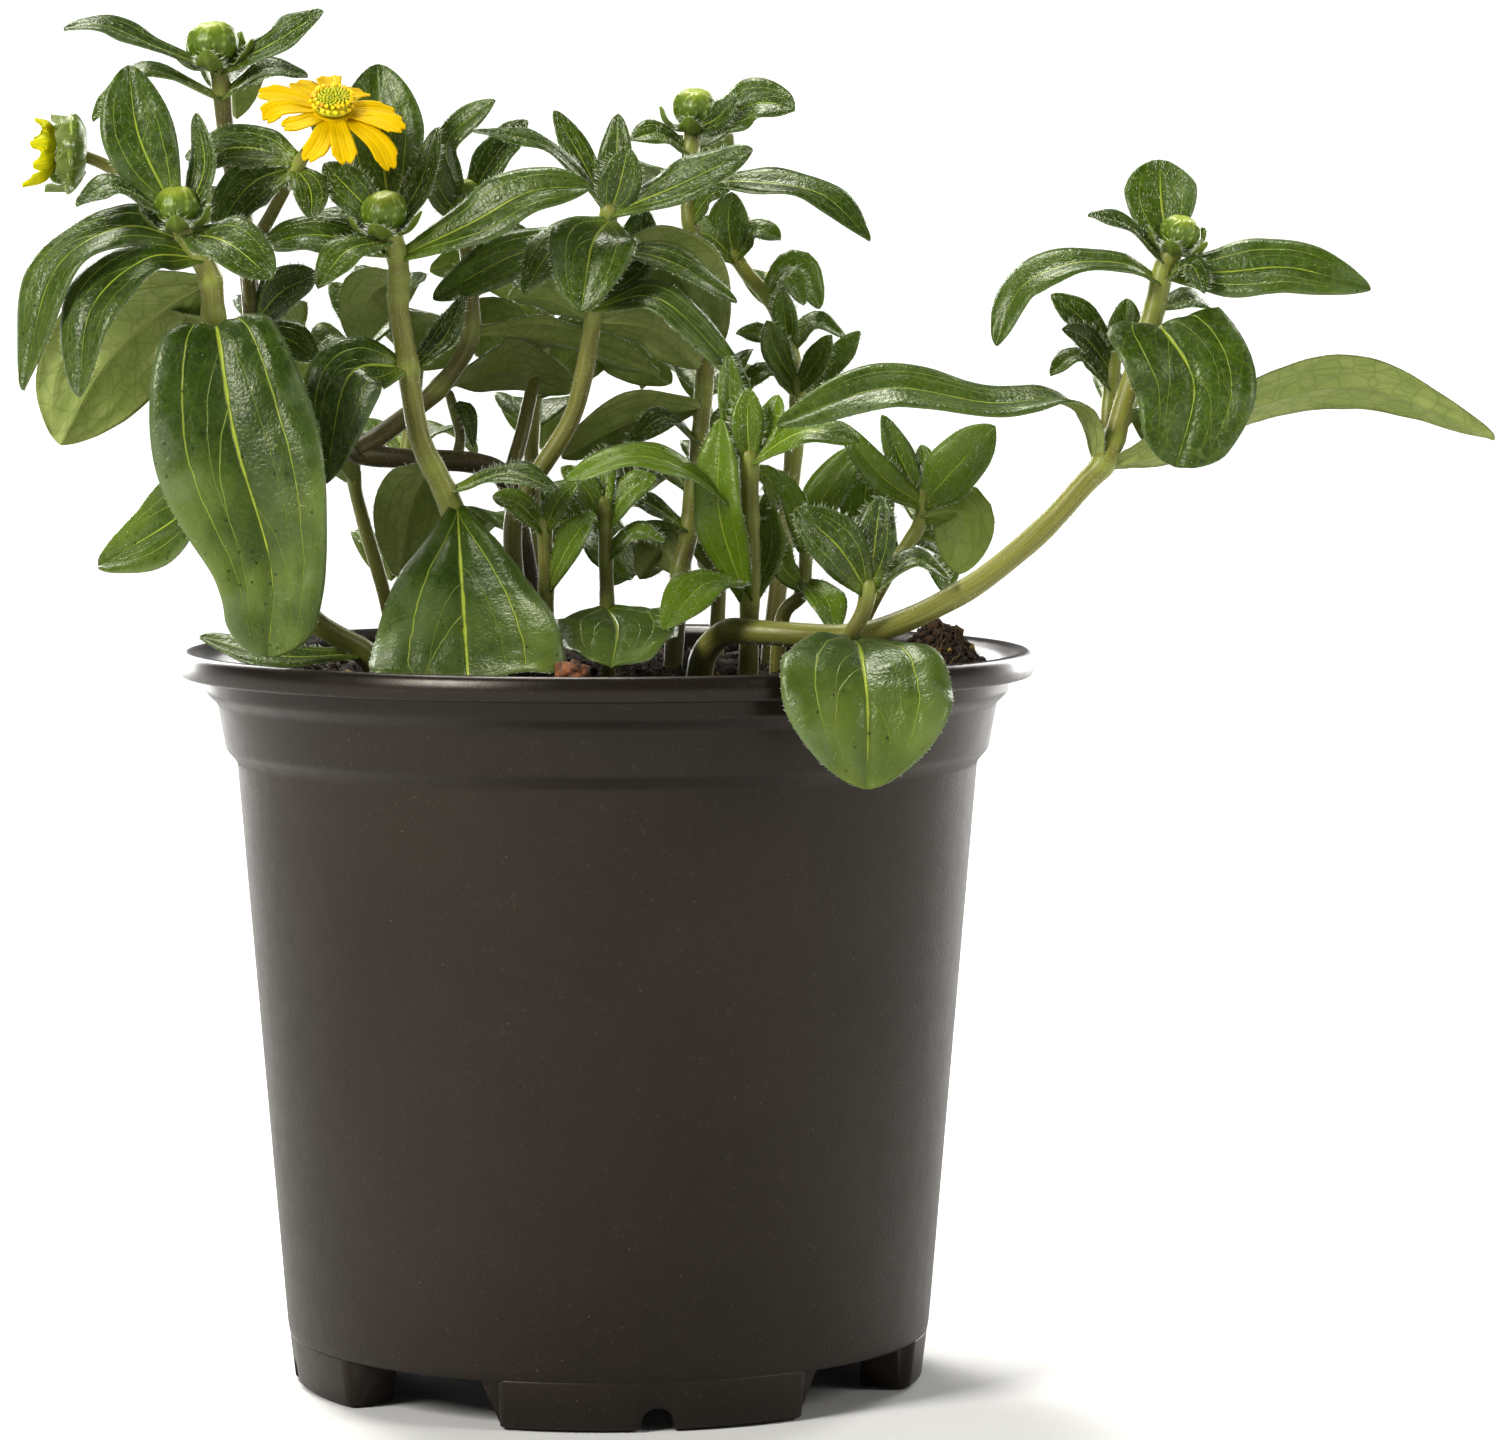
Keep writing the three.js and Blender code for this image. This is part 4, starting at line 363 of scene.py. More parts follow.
        [1.2, 0.95, [[34.5, 103, -6], [38.5, 114.4, -8.5], [42.9, 123, -11], [47.3, 129.8, -12],
                     [48, 135, -12.5]]],
    ], [
        [[[47.9, 133.2, -12.9], [52.2, 138, -15], [58.9, 145.2, -17]], 8.8, [-0.4, -0.9, 0.1], 0.6],
        [[[47.7, 131.4, -12.6], [53.8, 132, -14], [53.6, 122.6, -15]], 9.6, [0.1, 0.95, 0.2], 0.6],
        [[[47.6, 133.4, -13], [41.5, 137.8, -16.5], [34.9, 146, -19]], 5, [0.3, -0.9, 0.1], 0.5],
        [[[47.8, 134, -12.6], [44.7, 140, -13], [41.8, 146.9, -13]], 5, [0.5, -0.85, 0.1], 0.5],
        [[[48, 134.6, -12.5], [48.4, 139, -11.5], [47.8, 142.4, -11]], 3.5, [0, -1, 0.1], 0.5],
        [[[43.4, 124.4, -10.4], [39.4, 132, -7.5], [40, 140.4, -5.5]], 9, [0.3, -0.95, 0.1], 0.55],
        [[[46.4, 128.2, -11.2], [50.4, 127, -8], [51.8, 119.6, -6]], 7, [0.2, -0.7, 0.6], 0.5],
        [[[47.5, 131, -11.4], [48.8, 135.6, -2], [48, 130, 5.5]], 9, [0, 0.4, 0.9], 0.45],
    ], []],
    # Creeps from the soil to the right and arches up, its first leaf hangs over the rim
    ["arching_shoot", [
        [2, 1.5, [[13.6, 103, -20], [14.6, 110.2, -22], [18, 113.7, -25], [22.7, 113.8, -28],
                  [30.4, 113.3, -30.5], [38, 113.2, -31], [45, 115.4, -31], [51.3, 118.4, -30.5],
                  [57.6, 122.2, -30], [66.1, 129.3, -28.5], [72.4, 136.2, -27.5],
                  [75.4, 139.4, -27], [77, 143, -26.6], [78.8, 149.4, -26], [81.4, 157, -25.5],
                  [83.2, 163.2, -25], [84.6, 169.5, -24.5], [86.6, 172.6, -24.5]]],
        [1.25, 1.15, [[36.6, 112.6, -31], [37.3, 113.8, -33.4], [39, 117, -34.2], [39.9, 121, -34.5]]],
        [1.2, 1.05, [[75.6, 139.8, -26.4], [76.2, 147, -22.5], [77, 155.6, -20.5]]],
    ], [
        [[[74.8, 139.4, -27], [73.2, 146, -28], [68.4, 149.4, -29], [58, 148.8, -30.5],
          [42, 151, -32], [25.6, 145.4, -34]], 11, [0.6, 0.5, 0.6], 0.66, [-0.1, -0.8, 0.55]],
        [[[75.8, 139.2, -26.6], [84, 141.6, -26], [98, 148.4, -24], [115, 151.4, -22],
          [135.1, 143.4, -20]], 13, [0, 0.6, 0.8], 0.6],
        [[[83.2, 160, -26], [84.4, 160, -32], [89.2, 151.5, -36], [86.6, 138.9, -37.5]],
         20, [-0.05, -0.2, 1], OVAL, [0.1, -1, -0.1]],
        [[[83.5, 163, -24.6], [90, 164, -21], [94.3, 157.5, -18.5]], 7.5, [0.1, -0.35, 0.9], 0.5],
        [[[84, 167, -25.2], [78.6, 169.8, -28], [70, 169.8, -30], [62.6, 166, -31],
          [59, 157.4, -32]], 8, [-0.2, -0.55, 0.8], 0.62],
        [[[84.8, 168.4, -25], [94, 168.6, -26.5], [104, 169.2, -28], [116, 166, -29]],
         10, [0, -0.85, 0.5], 0.52],
        [[[85.4, 171.6, -24], [84.1, 178.5, -21.5], [83.8, 185.6, -18.5]], 11, [0, -1, 0.1], 0.64],
        [[[84.6, 170, -24.8], [79.2, 175.4, -27], [73, 177.3, -28.5]], 6, [0, -0.45, 0.9], 0.5],
        [[[85.2, 168, -25.4], [88.6, 169.6, -29], [90.8, 165.4, -30.5]], 4.5, [0.2, -0.7, 0.6], 0.5],
        [[[76.8, 154.4, -20.9], [72.6, 161, -20], [67.4, 165.2, -19.4]], 5.5, [0.4, -0.85, 0.3], 0.5],
        [[[76.6, 153.4, -21.2], [73, 158.2, -23.6], [69.2, 160, -25]], 4.5, [0.2, -0.8, 0.5], 0.5],
        [[[76.4, 151, -21.8], [71.6, 155.8, -24.4], [67.3, 153, -26]], 4.5, [0, -0.5, 0.85], 0.5],
        [[[77, 155, -20.4], [78.6, 160, -18.4], [79, 164.6, -17]], 5, [-0.2, -1, 0.1], 0.5],
        [[[77.2, 143.6, -26], [81, 147, -23], [83.8, 141, -21]], 6, [0.2, 0.5, 0.8], 0.5],
        [[[76.6, 149, -21.2], [79, 153, -12], [80, 148, -4]], 10, [0.1, 0.4, 0.9], 0.45],
        [[[37.6, 113, -31.8], [38.6, 110.9, -50], [39.6, 103, -60.5], [39.7, 89.7, -62.2]],
         25.5, [0.1, -0.75, 0.65], 0.6],
        [[[40, 120.6, -34.8], [40.8, 128, -36], [41.6, 134.6, -35.6]], 6.5, [-0.3, -0.95, 0.1], 0.5],
        [[[39.6, 120, -34.8], [35, 127, -38], [28.5, 132.6, -39]], 8.5, [-0.2, -0.8, 0.55], 0.5],
        [[[40.1, 120, -34.2], [46.4, 125, -33.6], [52.4, 121.6, -33]], 5, [0, -0.45, 0.9], 0.5],
    ], [
        [[87, 174.5, -24.5], 2.8, [0.2, -0.3, 1]],
    ]],
    # Stands at the back right, leaves in three tufts
    ["back_right_shoot", [
        [1.5, 1.1, [[24, 103, 17], [26.5, 125, 19], [28.3, 140, 20], [29, 151, 20], [27.4, 158, 21],
                    [25, 164, 22], [21.5, 168, 23], [19, 171.6, 24]]],
    ], [
        [[[29, 151, 19.5], [31.8, 155, 15], [34, 159, 13]], 4.5, [-0.4, -0.85, 0.2], 0.5],
        [[[28.6, 151.6, 19.4], [25.6, 156.6, 15.5], [24.3, 161.2, 14]], 5, [0.3, -0.9, 0.2], 0.5],
        [[[27.6, 157, 20.6], [27, 161.5, 17.5], [26.5, 166, 16.5]], 4, [0, -1, 0.1], 0.5],
        [[[27.6, 156.6, 21], [31.4, 161, 21], [36.3, 158.6, 21]], 5.5, [0, -0.45, 0.9], 0.5],
        [[[29.2, 150.6, 20], [34.6, 155, 19], [38.4, 159.6, 18]], 4.5, [-0.4, -0.85, 0.2], 0.5],
        [[[27.8, 156, 20.4], [24, 158.8, 17.6], [19.6, 159.4, 16.6]], 5, [0, -0.6, 0.8], 0.5],
        [[[28.8, 149.6, 19.4], [24.6, 153.6, 17], [20.6, 151, 15.5]], 5, [0, -0.5, 0.85], 0.5],
        [[[24.6, 164.6, 21.4], [27.4, 168, 18.5], [30, 163.6, 17]], 5, [0.1, -0.6, 0.8], 0.5],
        [[[24.2, 165.2, 22.2], [29, 169, 23], [32.4, 163, 23]], 6.5, [0.3, -0.8, 0.5], 0.5],
        [[[19.2, 170.6, 23.6], [18.4, 176, 21.5], [19, 180.6, 20.6]], 6.5, [0.1, -1, 0.1], 0.5],
        [[[19.3, 170.6, 23.6], [22.6, 174.8, 22], [26.4, 173.6, 21]], 5.5, [0, -0.6, 0.8], 0.5],
        [[[19.2, 170.6, 23.4], [16, 173.8, 20.5], [12.8, 175, 18.8]], 7, [0.2, -0.8, 0.5], 0.5],
        [[[28.9, 148.6, 21], [34, 152.4, 30], [37, 147, 37]], 12, [0.1, 0.4, 0.9], 0.45],
        [[[28.4, 141.6, 21], [21.6, 146, 29], [17, 140, 35]], 13, [-0.1, 0.4, 0.9], 0.45],
        [[[24.6, 164.6, 23], [24.2, 168.6, 31], [25.6, 163, 38]], 10, [0, 0.4, 0.9], 0.45],
        [[[26.4, 126, 20], [32, 130, 29], [36, 124, 36]], 13, [0.1, 0.4, 0.9], 0.45],
    ], []],
    # A thin pale stem at the back left
    ["back_left_shoot", [
        [1.15, 0.95, [[-31, 103, 12], [-33.8, 118.6, 11], [-37.3, 131.2, 9], [-38.6, 138, 8],
                      [-38, 148, 9], [-37.4, 158, 10]]],
    ], [
        [[[-38.3, 136.6, 7.6], [-41.4, 139.6, 6], [-46, 138.4, 5]], 7, [0, 0.5, 0.85], 0.5],
        [[[-37.6, 154, 9.4], [-41, 159, 5], [-45.4, 156.4, 2.6]], 7, [0, -0.5, 0.85], 0.5],
        [[[-38, 150, 9.8], [-44, 154.6, 17], [-49, 148, 23]], 12, [-0.2, 0.4, 0.9], 0.45],
        [[[-37.3, 156.6, 10.4], [-32.6, 161, 17], [-29.6, 156, 23]], 9, [0.2, 0.4, 0.9], 0.45],
        [[[-37.5, 157, 10], [-38.6, 163, 11], [-42, 167, 13]], 7, [0.3, -0.6, 0.7], 0.5],
    ], []],
    # Three more at the very back, which the others hide in front view
    ["far_back_shoot", [
        [1.4, 1.1, [[-10, 103, 31], [-11, 125, 33], [-11.5, 145, 34], [-9.6, 158, 35], [-9, 163, 35]]],
    ], [
        [[[-11, 128, 34], [-17, 132, 42], [-23, 126, 48]], 14, [-0.3, 0.3, 0.9], 0.45],
        [[[-10.8, 128, 33], [-4, 131, 36], [4, 122, 39]], 15, [0.3, -0.6, 0.7], 0.45],
        [[[-11.2, 145, 35], [-10.6, 149, 44], [-10, 142, 52]], 14, [0, 0.4, 0.9], 0.45],
        [[[-10.6, 150, 33.4], [-2, 158, 32], [10, 152, 30]], 15, [0.1, 0.7, 0.7], 0.5],
        [[[-10.2, 153, 33.4], [-19, 160, 31], [-30, 154, 29]], 13, [-0.1, 0.7, 0.7], 0.5],
        [[[-9.6, 157.6, 35.6], [-15.5, 161.6, 40], [-20, 156, 44]], 10, [-0.3, 0.2, 0.9], 0.45],
        [[[-9.1, 161.6, 34], [-17, 170, 32], [-27, 169, 30]], 11, [-0.1, 0.7, 0.6], 0.5],
        [[[-9, 162, 35], [-6.6, 168, 36], [-3.6, 171, 37]], 6, [-0.3, 0.2, 0.9], 0.45],
    ], []],
    ["far_left_shoot", [
        [1.3, 1, [[-30, 103, 30], [-31, 122, 33], [-30.5, 140, 36], [-29, 152, 38], [-28.6, 158, 38]]],
    ], [
        [[[-30.9, 124, 33.4], [-24, 128, 38], [-19, 124, 42]], 12, [0.3, 0.2, 0.9], 0.45],
        [[[-31, 124, 33.6], [-33, 128.5, 42], [-33, 122, 50]], 13, [-0.1, 0.3, 0.9], 0.45],
        [[[-30.4, 141, 36.4], [-24.6, 145, 40], [-20, 141, 43]], 10, [0.3, 0.2, 0.9], 0.45],
        [[[-30.5, 141, 36.6], [-34, 146, 45], [-36, 141, 52]], 12, [-0.2, 0.3, 0.9], 0.45],
        [[[-28.8, 156, 38], [-31, 161, 40], [-34.5, 163, 42]], 6, [0.4, 0.1, 0.9], 0.45],
        [[[-28.8, 156, 38], [-25.5, 161, 39], [-22, 162.5, 40]], 6, [-0.4, 0.1, 0.9], 0.45],
    ], []],
    ["far_right_shoot", [
        [1.3, 1, [[16, 103, 38], [17, 122, 40], [16.6, 138, 41], [14.8, 149, 42], [14.4, 154, 42]]],
    ], [
        [[[17, 123, 40.4], [22, 127.4, 46], [25, 122, 51]], 12, [0.3, 0.3, 0.9], 0.45],
        [[[16.8, 123, 40.4], [10, 128, 44], [0, 121, 47]], 14, [-0.2, 0.5, 0.8], 0.45],
        [[[16.5, 138, 41.4], [16.6, 142, 49], [16.4, 136, 56]], 12, [0, 0.4, 0.9], 0.45],
        [[[14.7, 150, 42], [9.4, 154.4, 44], [5, 151, 46]], 8, [-0.3, 0.2, 0.9], 0.45],
        [[[14.6, 150, 42.2], [18.8, 154.6, 46], [21.6, 150.6, 50]], 8, [0.3, 0.2, 0.9], 0.45],
        [[[14.5, 152.6, 42], [13.4, 158, 43.5], [11, 160.4, 45]], 5, [0.3, 0.2, 0.9], 0.45],
    ], []],
]
# End of the shoot table

# Rays of the open flower, as [middle, tip] of each
FLOWER_RAYS = [
    [[-48.2, 194.9, -25.2], [-52.9, 195.5, -25]],
    [[-49.4, 193.2, -27.6], [-51.8, 191.2, -28.6]],
    [[-45.9, 191.1, -29.8], [-49.2, 190.3, -31]],
    [[-43.5, 187.9, -33], [-45.5, 185.2, -35.4]],
    [[-40, 187.6, -33.4], [-39.4, 184.8, -35.6]],
    [[-34.9, 188.2, -31.4], [-32.6, 183.9, -32]],
    [[-33.8, 191.2, -29.2], [-30.7, 189.9, -30]],
    [[-35.9, 193, -26.8], [-31.9, 192.6, -25.4]],
    [[-38.6, 195.1, -22.6], [-36.6, 195.6, -18.6]],
    [[-42, 196.8, -22], [-42.1, 198, -17.6]],
    [[-45.2, 196, -22.6], [-47.2, 197.1, -18.8]],
]

# Rays of the side bloom, as [middle, tip] of each
SIDE_RAYS = [
    [[-84.2, 190.4, -19], [-86.6, 191.2, -19.2]],
    [[-84.6, 188.2, -22], [-87.4, 187.8, -22]],
    [[-84.6, 185, -22], [-87, 184.8, -22.2]],
    [[-85, 182.9, -19.6], [-88.6, 182, -19.6]],
    [[-84.4, 184.8, -16.6], [-86.8, 184.6, -16.2]],
    [[-84.4, 188.2, -16.4], [-86.8, 188.4, -16]],
]

# Green scales round the side bloom, the lowest one the longest
SIDE_SCALES = [
    [[-80.6, 191.2, -20], [-83.6, 192.2, -20.2]],
    [[-80.8, 188.6, -24.2], [-82.8, 188.6, -24.8]],
    [[-80.8, 184.4, -24.2], [-82.8, 184, -24.8]],
    [[-81.2, 181.4, -20], [-84.6, 180.8, -20.2]],
    [[-80.8, 184.4, -15], [-84, 183.8, -14.2]],
    [[-80.8, 188.6, -14.8], [-84, 188.8, -14]],
]


# Shapes

def place(points):
    """Points of the plant, moved from where the eye sees them to where they are."""
    rows = np.atleast_2d(np.asarray(points, float))
    spread = 1 - rows[:, 2] / EYE[1]
    return np.stack([
        EYE[0] + (rows[:, 0] - EYE[0]) * spread,
        rows[:, 2],
        EYE[2] + (rows[:, 1] - EYE[2]) * spread,
    ], 1)


def unit(vectors):
    """The same directions, each of length 1."""
    vectors = np.asarray(vectors, float)
    size = np.linalg.norm(vectors, axis=-1, keepdims=True)
    return vectors / np.maximum(size, 1e-9)


def curve(points, t):
    """Points of a smooth curve through all the given ones, the same curve as in the solids."""
    p = np.asarray(points, float)
    spans = len(p) - 1
    p = np.vstack([2 * p[0] - p[1], p, 2 * p[-1] - p[-2]])
    x = np.clip(t, 0, 1) * spans
    i = np.minimum(x.astype(int), spans - 1)
    s = (x - i)[:, None]
    a, b, c, d = p[i], p[i + 1], p[i + 2], p[i + 3]
    bend = (c - a) * s + (2 * a - 5 * b + 4 * c - d) * s ** 2 + (3 * b - a + d - 3 * c) * s ** 3
    return b + 0.5 * bend


def tangent(points, t):
    """Which way the curve runs at each place along it."""
    return unit(curve(points, np.minimum(t + 1e-3, 1)) - curve(points, np.maximum(t - 1e-3, 0)))


def smooth(x, low, high):
    """From 0 at low to 1 at high, without corners."""
    s = np.clip((x - low) / (high - low), 0, 1)
    return s * s * (3 - 2 * s)


def swell(points, size, seed, count=9):
    """A smooth random field from -1 to 1, with lumps of about the given size."""
    rng = np.random.default_rng(seed)
    ways = unit(rng.normal(size=(count, 3))) * rng.uniform(0.7, 1.5, (count, 1)) * 2 * np.pi / size
    turns = rng.uniform(0, 2 * np.pi, count)
    return np.sin(np.asarray(points) @ ways.T + turns).sum(-1) / math.sqrt(count)


class Solid:
    """Gathers the points and faces of one piece, with a material and two attributes."""

    def __init__(self):
        self.points = []
        self.faces = []
        self.kinds = []
        self.blade = []
        self.growth = []
        self.count = 0

    def add(self, points, faces, kind, blade=(0, 0, 0), growth=(0, 0, 0), caps=()):
        points = np.asarray(points, float).reshape(-1, 3)
        for rows in (faces, caps):
            if len(rows):
                self.faces.append(np.asarray(rows, int) + self.count)
                self.kinds.append(np.broadcast_to(kind, len(rows)))
        self.points.append(points)
        self.blade.append(np.broadcast_to(blade, points.shape))
        self.growth.append(np.broadcast_to(growth, points.shape))
        self.count += len(points)


def link(name, data):
    """A new object in the scene."""
    thing = bpy.data.objects.new(name, data)
    bpy.context.scene.collection.objects.link(thing)
    return thing


def piece(name, solid, materials, node=None):
    """The object of a solid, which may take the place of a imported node."""
    mesh = bpy.data.meshes.new(name)
    points = (np.concatenate(solid.points) + AXIS) / 1000
    faces = [row for group in solid.faces for row in group.tolist()]
    mesh.from_pydata(points.tolist(), [], faces)
    for material in materials:
        mesh.materials.append(material)
    mesh.polygons.foreach_set("material_index", np.concatenate(solid.kinds).astype(np.int32))
    mesh.polygons.foreach_set("use_smooth", np.ones(len(faces), bool))
    for label, rows in (("blade", solid.blade), ("growth", solid.growth)):
        attribute = mesh.attributes.new(label, "FLOAT_VECTOR", "POINT")
        attribute.data.foreach_set("vector", np.concatenate(rows).astype(np.float32).ravel())
    mesh.update()
    thing = link(name, mesh)
    if node:
        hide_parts(node)
    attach(thing, "root")
    return thing


def grid(rows, columns, closed=False):
    """Faces of a grid of points, whose rows may close into rings."""
    i = np.arange(rows - 1)[:, None] * columns
    j = np.arange(columns if closed else columns - 1)[None, :]
    k = (j + 1) % columns
    return np.stack([i + j, i + k, i + columns + k, i + columns + j], -1).reshape(-1, 4)


def fans(sides, count):
    """Faces that close both ends of a row of rings, whose two end points come last."""
    j = np.arange(sides)
    k = (j + 1) % sides
    last = (count - 1) * sides
    return np.concatenate([
        np.stack([k, j, np.full(sides, count * sides)], 1),
        np.stack([last + j, last + k, np.full(sides, count * sides + 1)], 1),
    ])


def sheet(solid, top, low, kinds, blade, growth):
    """A thin body between two grids of points, with a wall all round."""
    rows, columns = top.shape[:2]
    count = rows * columns
    faces = grid(rows, columns)
    loop = np.concatenate([
        np.arange(columns - 1),
        np.arange(rows - 1) * columns + columns - 1,
        (rows - 1) * columns + np.arange(columns - 1, 0, -1),
        np.arange(rows - 1, 0, -1) * columns,
    ])
    after = np.roll(loop, -1)
    wall = np.stack([loop, loop + count, after + count, after], 1)
    solid.add(
        np.concatenate([top.reshape(-1, 3), low.reshape(-1, 3)]),
        np.concatenate([faces, faces[:, ::-1] + count, wall]),
        np.repeat(kinds, [len(faces), len(faces), len(wall)]),
        np.tile(blade.reshape(-1, 3), (2, 1)),
        growth,
    )


def lathe(solid, profile, sides, middle, axis, kind, scales=0, radius=1, growth=(0, 0, 0)):
    """A round closed body, whose profile starts and ends on its axis. It may have scales."""
    profile = np.asarray(profile, float)
    axis = unit(axis)
    first = unit(np.cross(axis, [0.31, 0.2, 0.93] if abs(axis[2]) < 0.9 else [0, 1, 0]))
    second = np.cross(axis, first)
    count = len(profile) - 2
    share = np.concatenate([np.repeat(np.linspace(0, 1, count + 2)[1:-1], sides), [0, 1]])
    turn = np.tile(np.linspace(0, 2 * np.pi, sides, endpoint=False), count)
    turn = np.concatenate([turn, [0, 0]])
    push, rim = scaled(share, turn, scales, radius) if scales else (0 * share, 0 * share)
    push[-2:] = 0
    out = np.concatenate([np.repeat(profile[1:-1, 0], sides), [0, 0]]) + push
    high = np.concatenate([np.repeat(profile[1:-1, 1], sides), profile[[0, -1], 1]])
    around = np.cos(turn)[:, None] * first + np.sin(turn)[:, None] * second
    points = out[:, None] * around + high[:, None] * axis + np.asarray(middle)
    blade = np.stack([share, rim, np.abs(turn / math.pi - 1)], 1)
    solid.add(points, grid(count, sides, True), kind, blade, growth, fans(sides, count))


def rounded(profile, radius):
    """The same profile, with its corners rounded."""
    p = np.asarray(profile, float)
    rows = [p[0]]
    for a, b, c in zip(p, p[1:], p[2:]):
        into, out = a - b, c - b
        first = b + into * min(radius / np.linalg.norm(into), 0.45)
        second = b + out * min(radius / np.linalg.norm(out), 0.45)
        for s in (0, 0.25, 0.5, 0.75, 1):
            rows.append((1 - s) ** 2 * first + 2 * s * (1 - s) * b + s * s * second)
    rows.append(p[-1])
    return np.array(rows)


def tube(solid, path, radii, sides, kind, blade, growth, start=(0, 1, 0)):
    """A tube along a row of points, with closed ends. Its rings don't twist."""
    along = unit(np.gradient(path, axis=0))
    normal = np.asarray(start, float)
    rings = []
    turn = np.linspace(0, 2 * np.pi, sides, endpoint=False)
    frames = []
    for middle, way, radius in zip(path, along, radii):
        normal = unit(normal - way * (normal @ way))
        side = np.cross(way, normal)
        frames.append((normal, side))
        rings.append(middle + radius * (np.cos(turn)[:, None] * normal + np.sin(turn)[:, None] * side))
    points = np.concatenate(rings + [path[:1], path[-1:]])
    count = len(path)
    blade = np.concatenate([np.repeat(blade, sides, 0), blade[:1], blade[-1:]])
    blade[:count * sides, 1] = np.tile(np.minimum(turn, 2 * np.pi - turn) / np.pi, count)
    growth = np.concatenate([np.repeat(growth, sides, 0), growth[:1], growth[-1:]])
    solid.add(points, grid(count, sides, True), kind, blade, growth, fans(sides, count))
    return frames


# Leaves

def half_width(t, width, widest):
    """Half the width along a blade, from the place of its widest part or from its form."""
    if isinstance(widest, list):
        form = np.array(widest)
        many = np.linspace(0, 1, 201)
        share = np.interp(many, form[:, 0], form[:, 1])
        share = np.convolve(np.pad(share, 10, "edge"), np.ones(21) / 21, "valid")
        share = share * np.sqrt(1 - np.clip((many - 0.9) / 0.1, 0, 1) ** 2)
        return width / 2 * np.interp(t, many, share)
    foot = min(0.5, PETIOLE / width)
    rise = np.sin(np.pi / 2 * np.clip(t / widest, 0, 1)) ** 1.1
    fall = np.cos(np.pi / 2 * np.clip((t - widest) / (1 - widest), 0, 1)) ** 0.62
    return width / 2 * np.where(t < widest, foot + (1 - foot) * rise, fall)


def arch(t, start, reach, speed):
    """How far out a side vein lies that leaves the midrib at start."""
    return reach * (1 - np.exp(-speed * np.maximum(t - start, 0)))


